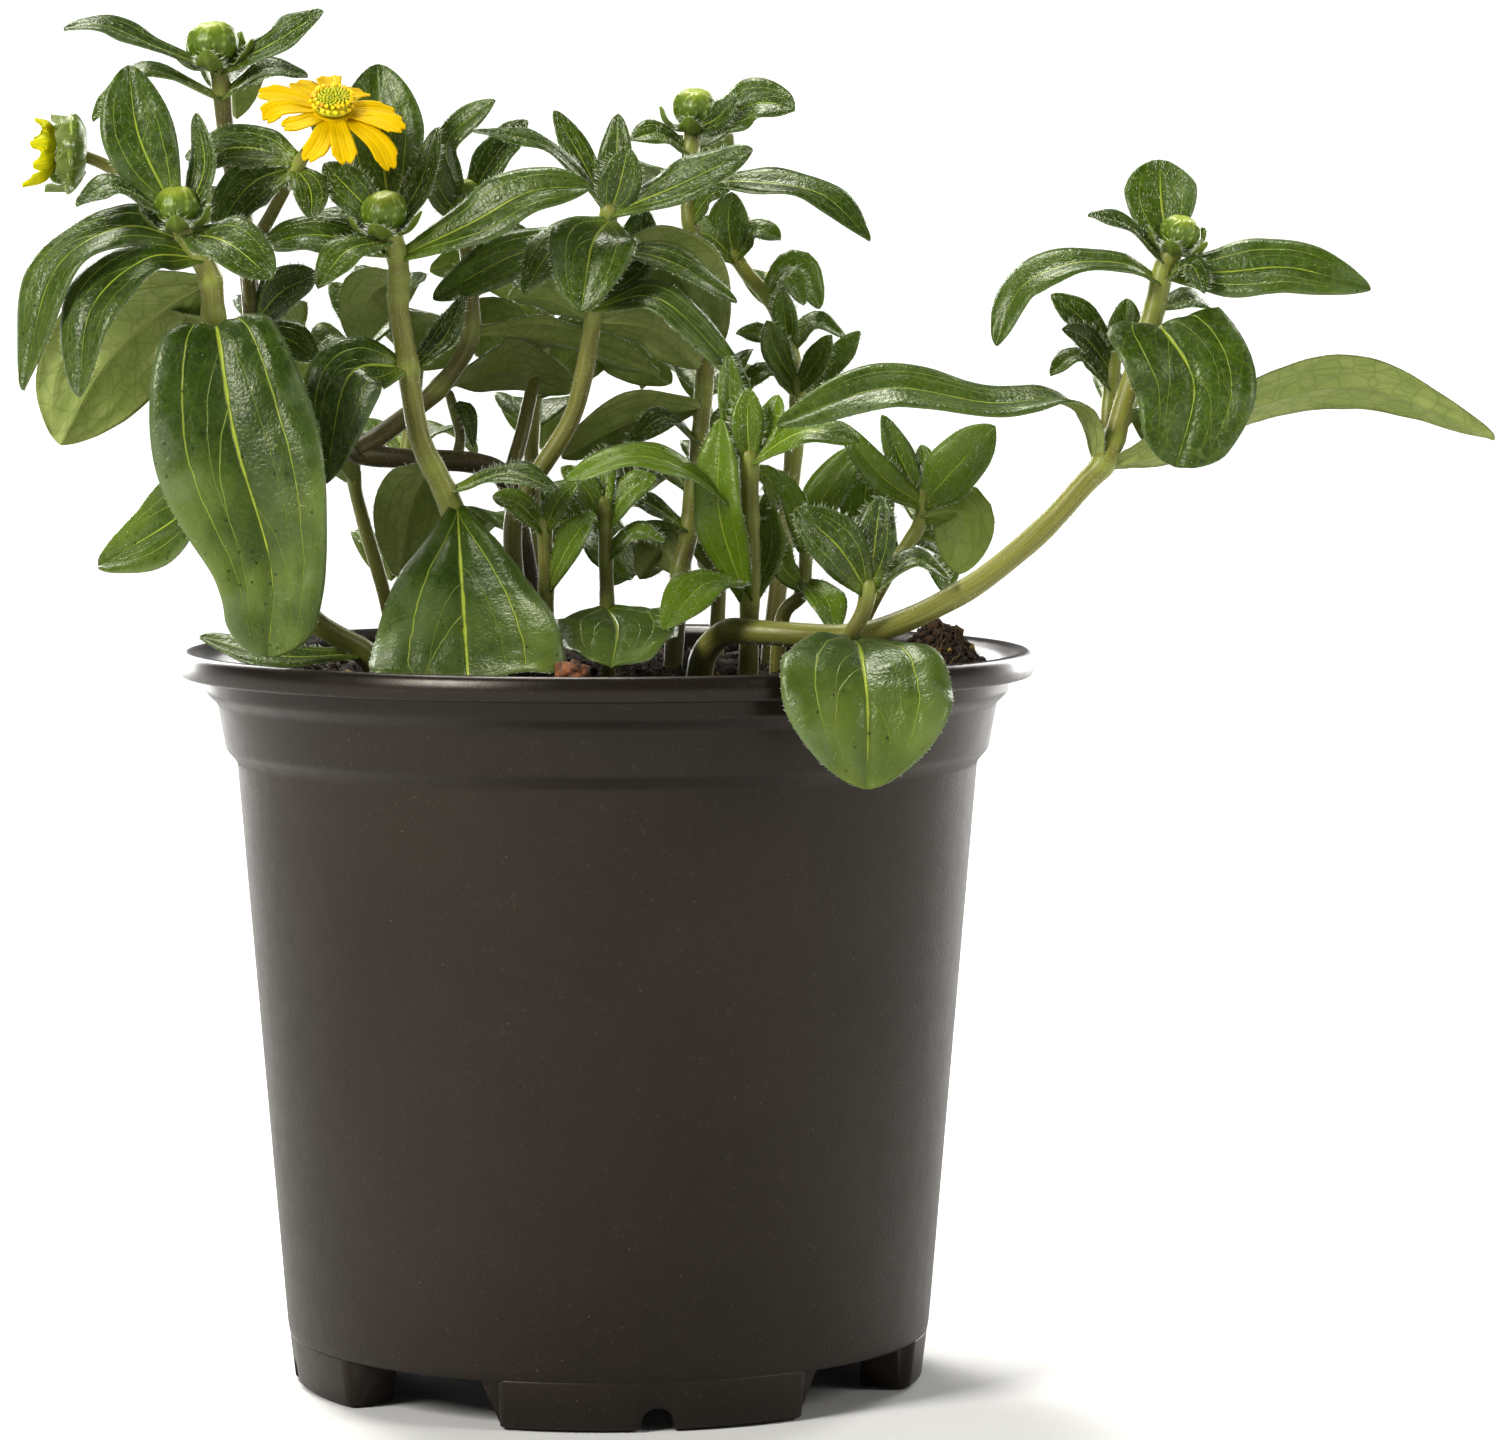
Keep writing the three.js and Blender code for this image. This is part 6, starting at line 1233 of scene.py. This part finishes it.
class Paint:
    """A material made of nodes, each built on others."""

    def __init__(self, name):
        self.material = bpy.data.materials.new(name)
        self.material.use_nodes = True
        self.tree = self.material.node_tree
        self.tree.nodes.clear()

    def put(self, socket, value):
        """Links a socket to an output, or gives it a value."""
        if isinstance(value, bpy.types.NodeSocket):
            self.tree.links.new(value, socket)
        else:
            socket.default_value = value

    def node(self, kind, inputs=None, **settings):
        made = self.tree.nodes.new("ShaderNode" + kind)
        for key, value in settings.items():
            setattr(made, key, value)
        for key, value in (inputs or {}).items():
            self.put(made.inputs[key], value)
        return made

    def math(self, operation, *values):
        """The outcome of one operation."""
        made = self.node("Math", operation=operation)
        for socket, value in zip(made.inputs, values):
            self.put(socket, value)
        return made.outputs[0]

    def add(self, a, b):
        return self.math("ADD", a, b)

    def sub(self, a, b):
        return self.math("SUBTRACT", a, b)

    def mul(self, a, b):
        return self.math("MULTIPLY", a, b)

    def most(self, a, b):
        return self.math("MAXIMUM", a, b)

    def step(self, value, low, high, first=0.0, last=1.0):
        """From first where the value is low to last where it is high, without corners."""
        made = self.node("MapRange", {"Value": value, "From Min": low, "From Max": high,
                                      "To Min": first, "To Max": last})
        made.interpolation_type = "SMOOTHSTEP"
        return made.outputs["Result"]

    def mix(self, share, a, b):
        """A colour between a and b."""
        made = self.node("Mix", data_type="RGBA")
        self.put(made.inputs[0], share)
        self.put(made.inputs[6], a if isinstance(a, bpy.types.NodeSocket) else (*a, 1))
        self.put(made.inputs[7], b if isinstance(b, bpy.types.NodeSocket) else (*b, 1))
        return made.outputs[2]

    def attribute(self, name):
        """The three values that the mesh keeps at each point."""
        made = self.node("Attribute", attribute_name=name, attribute_type="GEOMETRY")
        return self.split(made.outputs["Vector"])

    def split(self, vector):
        made = self.node("SeparateXYZ", {"Vector": vector})
        return made.outputs[0], made.outputs[1], made.outputs[2]

    def place(self):
        """The place on the object, in metres."""
        return self.node("TexCoord").outputs["Object"]

    def noise(self, scale, detail=2.0, roughness=0.5, vector=None):
        made = self.node("TexNoise", {
            "Vector": vector or self.place(),
            "Scale": scale,
            "Detail": detail,
            "Roughness": roughness,
        })
        return made.outputs["Fac"]

    def uneven(self, scale, detail, span, low):
        """Noise that varies by span, from low up."""
        return self.add(self.mul(self.noise(scale, detail), span), low)

    def cells(self, scale, feature):
        return self.node("TexVoronoi", {"Vector": self.place(), "Scale": scale}, feature=feature)

    def bump(self, height, strength, distance):
        made = self.node("Bump", {"Height": height, "Strength": strength, "Distance": distance})
        return made.outputs["Normal"]

    def finish(self, shader):
        out = self.node("OutputMaterial")
        self.tree.links.new(shader, out.inputs["Surface"])
        return self.material

    def surface(self, **inputs):
        names = {key.replace("_", " "): value for key, value in inputs.items()}
        return self.node("BsdfPrincipled", names).outputs["BSDF"]

    def translucent(self, shader, colour, normal, share):
        light = self.node("BsdfTranslucent", {"Color": colour, "Normal": normal}).outputs["BSDF"]
        made = self.node("MixShader")
        made.inputs[0].default_value = share
        self.tree.links.new(shader, made.inputs[1])
        self.tree.links.new(light, made.inputs[2])
        return made.outputs["Shader"]


def leaf_veins(p, u, v, half, seed, net_scale):
    """The midrib, two long side veins, shorter ones between them, and a fine net."""
    side = p.add(p.math("ABSOLUTE", v), p.mul(p.sub(p.noise(260.0), 0.5), 0.05))
    left = p.math("LESS_THAN", v, 0.0)
    thick = p.mul(p.sub(1.08, u), p.add(p.mul(half, 0.032), 0.11))

    def line(path, width):
        away = p.mul(p.math("ABSOLUTE", p.sub(side, path)), half)
        low = p.mul(thick, width * 0.35)
        high = p.mul(thick, width * 1.35)
        return p.step(away, low, high, 1.0, 0.0)

    def arching(start, reach, speed):
        past = p.most(p.sub(u, start), 0.0)
        fall = p.math("EXPONENT", p.mul(past, -speed))
        return p.mul(p.sub(1.0, fall), reach)

    shift = p.mul(p.sub(seed, 0.5), 0.08)
    mid = line(0.0, 1.0)
    lateral = p.mul(line(arching(0.0, 0.6, 8.0), 0.5), p.step(u, 0.8, 0.97, 1.0, 0.0))
    start = p.add(p.add(p.mul(left, 0.2), 0.42), shift)
    second = line(arching(start, 0.52, 6.0), 0.42)
    start = p.add(p.sub(0.3, p.mul(left, 0.07)), shift)
    third = line(arching(start, 0.4, 9.0), 0.3)
    bent = p.add(p.mul(side, 0.3), p.mul(p.noise(120.0), 0.12))
    slant = p.math("FRACT", p.mul(p.add(p.sub(u, bent), p.mul(left, 0.06)), 6.5))
    outer = p.step(p.math("ABSOLUTE", p.sub(slant, 0.5)), 0.0, 0.06, 1.0, 0.0)
    edge = p.cells(net_scale, "DISTANCE_TO_EDGE").outputs["Distance"]
    net = p.step(edge, 0.0, 0.09, 1.0, 0.0)
    strong = p.most(mid, p.most(p.mul(lateral, 0.7), p.mul(second, 0.5)))
    strong = p.most(strong, p.mul(third, 0.3))
    return side, strong, p.most(p.mul(outer, 0.42), p.mul(net, 0.34)), mid


def leaf_paint():
    p = Paint("leaf_upper")
    u, v, half = p.attribute("blade")
    stage_of_growth, seed, lime = p.attribute("growth")
    young = p.most(stage_of_growth, 0.0)
    broad = p.most(p.mul(stage_of_growth, -1.0), 0.0)
    side, veins, net, _ = leaf_veins(p, u, v, half, seed, 420.0)
    patch = p.step(p.noise(160.0, 3.0), 0.36, 0.64)
    base = p.mix(patch, (0.008, 0.02, 0.003), (0.026, 0.052, 0.006))
    base = p.mix(p.mul(p.step(seed, 0.3, 1.0), 0.3), base, (0.048, 0.088, 0.01))
    cloud = p.noise(90.0, 3.0)
    old = p.mul(broad, p.step(cloud, 0.35, 0.65, 0.35, 0.9))
    faded = p.mix(p.step(p.add(u, p.mul(cloud, 0.5)), 0.45, 1.15),
                  (0.026, 0.055, 0.006), (0.155, 0.205, 0.045))
    base = p.mix(old, base, faded)
    middle = p.mul(p.step(side, 0.0, 0.75, 1.0, 0.0), p.step(u, 0.1, 0.45, 0.0, 0.3))
    base = p.mix(middle, base, (0.02, 0.042, 0.005))
    lime = p.mul(lime, p.sub(1.0, p.mul(broad, 0.6)))
    base = p.mix(lime, base, (0.15, 0.235, 0.01))
    foot = p.mul(p.step(u, 0.0, 0.3, 1.0, 0.0), p.sub(0.7, p.mul(broad, 0.5)))
    base = p.mix(foot, base, (0.19, 0.27, 0.02))
    rim = p.mul(p.step(side, 0.86, 1.0), 0.45)
    base = p.mix(rim, base, (0.17, 0.22, 0.1))
    grain = p.noise(1900.0, 2.0)
    base = p.mix(p.mul(p.step(grain, 0.45, 0.75), 0.2), base, (0.13, 0.18, 0.035))
    # Pale grey patches on young leaves: partly the whitening of their fine hairs, partly a painted sheen
    hairs_and_painted_sheen = p.mul(p.step(p.noise(1100.0, 3.0), 0.48, 0.7), p.sub(0.2, p.mul(broad, 0.18)))
    base = p.mix(hairs_and_painted_sheen, base, (0.24, 0.28, 0.19))
    bloom = p.mul(p.step(p.noise(130.0, 2.0), 0.5, 0.66), p.step(side, 0.1, 0.9, 0.08, 0.26))
    base = p.mix(bloom, base, (0.2, 0.245, 0.16))
    base = p.mix(p.mul(net, p.sub(0.8, p.mul(broad, 0.45))), base, (0.15, 0.22, 0.02))
    strength = p.mul(veins, p.sub(0.98, p.mul(seed, 0.2)))
    base = p.mix(strength, base, (0.36, 0.43, 0.06))
    spots = p.cells(560.0, "F1")
    spot = p.step(spots.outputs["Distance"], 0.08, 0.18, 1.0, 0.0)
    spot = p.mul(spot, p.step(p.split(spots.outputs["Color"])[0], 0.4, 0.45))
    spot = p.mul(spot, p.mul(p.sub(1.0, young), 0.75))
    base = p.mix(spot, base, (0.009, 0.016, 0.004))
    rough = p.uneven(700.0, 3.0, 0.26, 0.21)
    height = p.sub(p.mul(grain, 0.5), p.mul(veins, 0.8))
    height = p.add(height, p.mul(p.noise(640.0, 3.0), 0.6))
    normal = p.bump(height, 0.7, 0.0003)
    shader = p.surface(Base_Color=base, Roughness=rough, Normal=normal, Sheen_Weight=0.03,
                       Sheen_Roughness=0.35, Specular_IOR_Level=0.44, Specular_Tint=(1, 0.99, 0.9, 1))
    glow = p.mix(veins, (0.18, 0.3, 0.008), (0.6, 0.66, 0.06))
    glow = p.mix(lime, glow, (0.4, 0.56, 0.02))
    return p.finish(p.translucent(shader, glow, normal, 0.15))


def under_paint():
    p = Paint("leaf_underside")
    u, v, half = p.attribute("blade")
    stage_of_growth, seed, lime = p.attribute("growth")
    young = p.most(stage_of_growth, 0.0)
    side, veins, net, mid = leaf_veins(p, u, v, half, seed, 330.0)
    patch = p.step(p.noise(300.0, 4.0), 0.35, 0.68)
    base = p.mix(patch, (0.35, 0.4, 0.145), (0.45, 0.49, 0.2))
    base = p.mix(p.mul(lime, 0.7), base, (0.25, 0.35, 0.035))
    base = p.mix(p.mul(young, 0.4), base, (0.11, 0.16, 0.035))
    base = p.mix(p.most(p.mul(net, 0.8), p.mul(veins, 0.6)), base, (0.11, 0.14, 0.03))
    base = p.mix(mid, base, (0.4, 0.45, 0.16))
    rim = p.mul(p.step(side, 0.955, 0.985), p.sub(1.0, young))
    base = p.mix(p.mul(rim, 0.5), base, (0.13, 0.075, 0.03))
    rough = p.uneven(900.0, 2.0, 0.2, 0.42)
    height = p.add(p.mul(veins, 0.8), p.mul(p.noise(1300.0, 2.0), 0.5))
    normal = p.bump(height, 0.45, 0.0002)
    shader = p.surface(Base_Color=base, Roughness=rough, Normal=normal, Sheen_Weight=0.08,
                       Sheen_Roughness=0.4)
    glow = p.mix(p.most(veins, net), (0.56, 0.64, 0.14), (0.3, 0.38, 0.06))
    return p.finish(p.translucent(shader, glow, normal, 0.4))


def stem_paint():
    p = Paint("stem_skin")
    reach, turn, brown = p.attribute("blade")
    ring, seed, _ = p.attribute("growth")
    spot = p.node("CombineXYZ", {"X": p.mul(turn, 6.0), "Y": p.mul(reach, 0.045), "Z": seed})
    streak = p.noise(2.2, 3.0, 0.6, spot.outputs["Vector"])
    base = p.mix(p.step(streak, 0.3, 0.7), (0.165, 0.172, 0.028), (0.25, 0.25, 0.048))
    foot = p.mul(p.step(reach, 2.0, 22.0, 1.0, 0.0), 0.35)
    base = p.mix(foot, base, (0.13, 0.105, 0.04))
    blush = p.mix(p.step(streak, 0.35, 0.7), (0.05, 0.029, 0.017), (0.085, 0.056, 0.03))
    base = p.mix(p.mul(brown, p.step(p.noise(150.0, 3.0), 0.15, 0.6, 0.7, 1.0)), base, blush)
    base = p.mix(p.mul(ring, 0.55), base, (0.26, 0.31, 0.06))
    fleck = p.step(p.noise(2600.0, 1.0), 0.6, 0.75)
    base = p.mix(p.mul(fleck, 0.2), base, (0.26, 0.29, 0.16))
    rough = p.uneven(800.0, 2.0, 0.2, 0.34)
    height = p.add(p.mul(streak, 0.5), p.mul(p.noise(1500.0, 2.0), 0.4))
    normal = p.bump(height, 0.4, 0.0002)
    shader = p.surface(Base_Color=base, Roughness=rough, Normal=normal, Subsurface_Weight=0.1,
                       Subsurface_Scale=0.001, Sheen_Weight=0.2)
    return p.finish(shader)


def bud_paint():
    p = Paint("bud_scales")
    share, rim, turn = p.attribute("blade")
    streak = p.noise(6.0, 3.0, 0.6, p.node("CombineXYZ", {
        "X": p.mul(turn, 9.0), "Y": p.mul(share, 0.9), "Z": 0.0}).outputs["Vector"])
    base = p.mix(p.step(streak, 0.35, 0.65), (0.08, 0.13, 0.01), (0.13, 0.19, 0.018))
    base = p.mix(p.step(share, 0.62, 0.92), base, (0.34, 0.4, 0.06))
    base = p.mix(p.step(share, 0.02, 0.2, 0.5, 0.0), base, (0.16, 0.19, 0.06))
    base = p.mix(p.mul(rim, 0.6), base, (0.36, 0.42, 0.12))
    rough = p.uneven(900.0, 2.0, 0.15, 0.3)
    height = p.add(p.mul(streak, 0.6), p.mul(p.noise(1500.0, 2.0), 0.4))
    normal = p.bump(height, 0.4, 0.0002)
    return p.finish(p.surface(Base_Color=base, Roughness=rough, Normal=normal,
                              Subsurface_Weight=0.1, Subsurface_Scale=0.001))


def hair_paint():
    p = Paint("leaf_hair")
    base = p.mix(p.noise(500.0, 1.0), (0.6, 0.66, 0.5), (0.88, 0.9, 0.8))
    rough = p.uneven(900.0, 1.0, 0.2, 0.4)
    return p.finish(p.surface(Base_Color=base, Roughness=rough))


def petal_paint(name, deep, bright, stripe):
    p = Paint(name)
    u, v, _ = p.attribute("blade")
    seed = p.attribute("growth")[1]
    lines = p.math("ABSOLUTE", p.math("SINE", p.mul(v, 9.5)))
    wobble = p.noise(3.0, 3.0, 0.6, p.node("CombineXYZ", {
        "X": p.mul(v, 5.0), "Y": u, "Z": p.mul(seed, 7.0)}).outputs["Vector"])
    base = p.mix(p.step(wobble, 0.35, 0.65), deep, bright)
    base = p.mix(p.mul(p.step(lines, 0.0, 0.3, 1.0, 0.0), 0.28), base, stripe)
    base = p.mix(p.mul(p.step(u, 0.0, 0.4, 1.0, 0.0), 0.4), base, deep)
    rough = p.uneven(900.0, 2.0, 0.2, 0.45)
    height = p.add(lines, p.mul(wobble, 0.6))
    normal = p.bump(height, 0.35, 0.0001)
    shader = p.surface(Base_Color=base, Roughness=rough, Normal=normal, Specular_IOR_Level=0.12)
    glow = p.mix(p.step(wobble, 0.3, 0.7), bright, (0.8, 0.62, 0.004))
    return p.finish(p.translucent(shader, glow, normal, 0.3))


def disc_paint(name, low, high, odd):
    p = Paint(name)
    seed = p.attribute("growth")[1]
    share = p.attribute("blade")[0]
    base = p.mix(seed, low, high)
    base = p.mix(p.mul(p.step(share, 0.5, 1.0), 0.5), base, high)
    base = p.mix(p.step(seed, 0.9, 0.93), base, odd)
    rough = p.uneven(1200.0, 2.0, 0.2, 0.4)
    normal = p.bump(p.noise(2500.0, 2.0), 0.3, 0.0001)
    return p.finish(p.surface(Base_Color=base, Roughness=rough, Normal=normal))


def peat_paint():
    p = Paint("soil_peat")
    pale, seed, fibre = p.attribute("growth")
    patch = p.noise(350.0, 4.0, 0.65)
    base = p.mix(p.step(patch, 0.35, 0.68), (0.01, 0.006, 0.0035), (0.045, 0.025, 0.012))
    base = p.mix(p.mul(pale, 0.5), base, (0.11, 0.06, 0.025))
    flake = p.mul(p.step(seed, 0.9, 0.93), p.step(pale, 0.15, 0.5))
    base = p.mix(p.mul(flake, 0.8), base, (0.34, 0.24, 0.06))
    base = p.mix(p.mul(fibre, p.mul(pale, 0.5)), base, (0.16, 0.10, 0.05))
    rough = p.add(p.mul(patch, 0.3), 0.65)
    normal = p.bump(p.noise(1100.0, 5.0, 0.7), 0.8, 0.0006)
    return p.finish(p.surface(Base_Color=base, Roughness=rough, Normal=normal))


def chip_paint():
    p = Paint("bark_chip")
    grain = p.noise(700.0, 4.0, 0.6)
    base = p.mix(p.step(grain, 0.35, 0.65), (0.055, 0.02, 0.01), (0.3, 0.125, 0.05))
    normal = p.bump(grain, 0.7, 0.0005)
    rough = p.add(p.mul(grain, 0.2), 0.55)
    return p.finish(p.surface(Base_Color=base, Roughness=rough, Normal=normal))


def pot_paint():
    p = Paint("pot_plastic")
    z = p.split(p.place())[2]
    collar = p.step(z, 0.0945, 0.0965)
    lip = p.step(z, 0.1045, 0.1062)
    cloud = p.noise(28.0, 4.0, 0.6)
    base = p.mix(p.step(cloud, 0.3, 0.7), (0.016, 0.0115, 0.008), (0.022, 0.016, 0.011))
    base = p.mix(p.mul(collar, 0.3), base, (0.006, 0.005, 0.0045))
    dust = p.step(p.noise(1500.0, 3.0, 0.6), 0.58, 0.76)
    base = p.mix(p.mul(dust, 0.4), base, (0.07, 0.058, 0.046))
    speck = p.cells(520.0, "F1")
    fleck = p.step(speck.outputs["Distance"], 0.03, 0.09, 1.0, 0.0)
    fleck = p.mul(fleck, p.step(p.split(speck.outputs["Color"])[0], 0.86, 0.9))
    base = p.mix(p.mul(fleck, 0.5), base, (0.2, 0.17, 0.13))
    scuff = p.step(p.noise(60.0, 6.0, 0.75), 0.62, 0.72)
    base = p.mix(p.mul(p.mul(scuff, lip), 0.3), base, (0.06, 0.053, 0.046))
    plain = p.sub(0.4, p.add(p.mul(collar, 0.1), p.mul(lip, 0.04)))
    rough = p.uneven(300.0, 3.0, 0.12, plain)
    stipple = p.noise(2300.0, 2.0, 0.6)
    height = p.add(p.mul(stipple, p.sub(1.0, p.mul(collar, 0.75))), p.mul(cloud, 1.5))
    normal = p.bump(height, 0.5, 0.00014)
    return p.finish(p.surface(Base_Color=base, Roughness=rough, Normal=normal, Specular_IOR_Level=0.4,
                              Specular_Tint=(1, 0.93, 0.86, 1)))


LEAF = leaf_paint()
LEAF_UNDER = under_paint()
STEM = stem_paint()
BUD = bud_paint()
HAIR = hair_paint()
PETAL = petal_paint("petal_yellow", (0.66, 0.46, 0.0008), (0.74, 0.55, 0.0008), (0.6, 0.38, 0.0008))
SIDE_PETAL = petal_paint("petal_opening", (0.42, 0.46, 0.008), (0.66, 0.62, 0.005), (0.36, 0.4, 0.012))
DISC = disc_paint("disc_green", (0.32, 0.36, 0.01), (0.52, 0.5, 0.015), (0.66, 0.5, 0.008))
FLORET = disc_paint("disc_gold", (0.64, 0.46, 0.002), (0.85, 0.64, 0.003), (0.6, 0.33, 0.004))
PEAT = peat_paint()
CHIP = chip_paint()
PLASTIC = pot_paint()


# Stage, light and camera

def stage():
    """A round pale floor, just below the pot."""
    mesh = bpy.data.meshes.new("floor")
    turns = [2 * math.pi * i / FLOOR_SIDES for i in range(FLOOR_SIDES)]
    rim = [(FLOOR_RADIUS * math.cos(turn), FLOOR_RADIUS * math.sin(turn), -FLOOR_DROP) for turn in turns]
    mesh.from_pydata(rim, [], [tuple(range(FLOOR_SIDES))])
    floor = link("floor", mesh)
    p = Paint("floor_white")
    base = p.mix(p.noise(3.0, 2.0), (0.7, 0.7, 0.697), (0.72, 0.72, 0.717))
    mesh.materials.append(p.finish(p.surface(
        Base_Color=base, Roughness=0.7, Specular_IOR_Level=0.1)))


def soft_box(name, at, size, power, colour):
    """A light with a broad face that looks at the plant."""
    lamp = bpy.data.lights.new(name, "AREA")
    lamp.shape = "RECTANGLE"
    lamp.size, lamp.size_y = size
    lamp.energy = power
    lamp.color = colour
    thing = link(name, lamp)
    thing.location = at
    way = Vector(LIGHT_AIM) - Vector(at)
    thing.rotation_euler = way.to_track_quat("-Z", "Y").to_euler()


def light():
    """A sky that is bright at the horizon and dim above, four soft boxes and a broad sun."""
    world = bpy.data.worlds.new("studio")
    bpy.context.scene.world = world
    world.use_nodes = True
    tree = world.node_tree
    tree.nodes.clear()
    way = tree.nodes.new("ShaderNodeTexCoord")
    split = tree.nodes.new("ShaderNodeSeparateXYZ")
    fade = tree.nodes.new("ShaderNodeMapRange")
    fade.interpolation_type = "SMOOTHSTEP"
    fade.inputs["From Min"].default_value = 0.06
    fade.inputs["From Max"].default_value = 0.22
    fade.inputs["To Min"].default_value = 1.0
    fade.inputs["To Max"].default_value = 0.1
    sky = tree.nodes.new("ShaderNodeBackground")
    sky.inputs["Color"].default_value = (1, 1, 1, 1)
    out = tree.nodes.new("ShaderNodeOutputWorld")
    tree.links.new(way.outputs["Generated"], split.inputs[0])
    tree.links.new(split.outputs[2], fade.inputs["Value"])
    tree.links.new(fade.outputs["Result"], sky.inputs["Strength"])
    tree.links.new(sky.outputs[0], out.inputs["Surface"])
    for row in SOFT_BOXES:
        soft_box(*row)
    sun = bpy.data.lights.new("top_light", "SUN")
    sun.energy = SUN_POWER
    sun.color = WARM
    sun.angle = math.radians(SUN_WIDTH)
    thing = link("top_light", sun)
    thing.rotation_euler = (math.radians(SUN_LEAN[0]), math.radians(SUN_LEAN[1]), 0)
    view = bpy.context.scene.view_settings
    view.view_transform = "Standard"
    view.exposure = EXPOSURE
    view.gamma = GAMMA


def camera():
    """The camera of the photograph."""
    data = bpy.data.cameras.new("camera")
    data.sensor_fit = "HORIZONTAL"
    data.sensor_width = SENSOR
    data.lens = LENS
    thing = link("camera", data)
    thing.location = (EYE + AXIS) / 1000
    thing.rotation_euler = (math.radians(90 - PITCH), 0, 0)
    bpy.context.scene.camera = thing


camera()
pot()
soil()
for order, row in enumerate(SHOOTS):
    shoot(row, order)
blooms()
stage()
light()

bpy.context.view_layer.update()
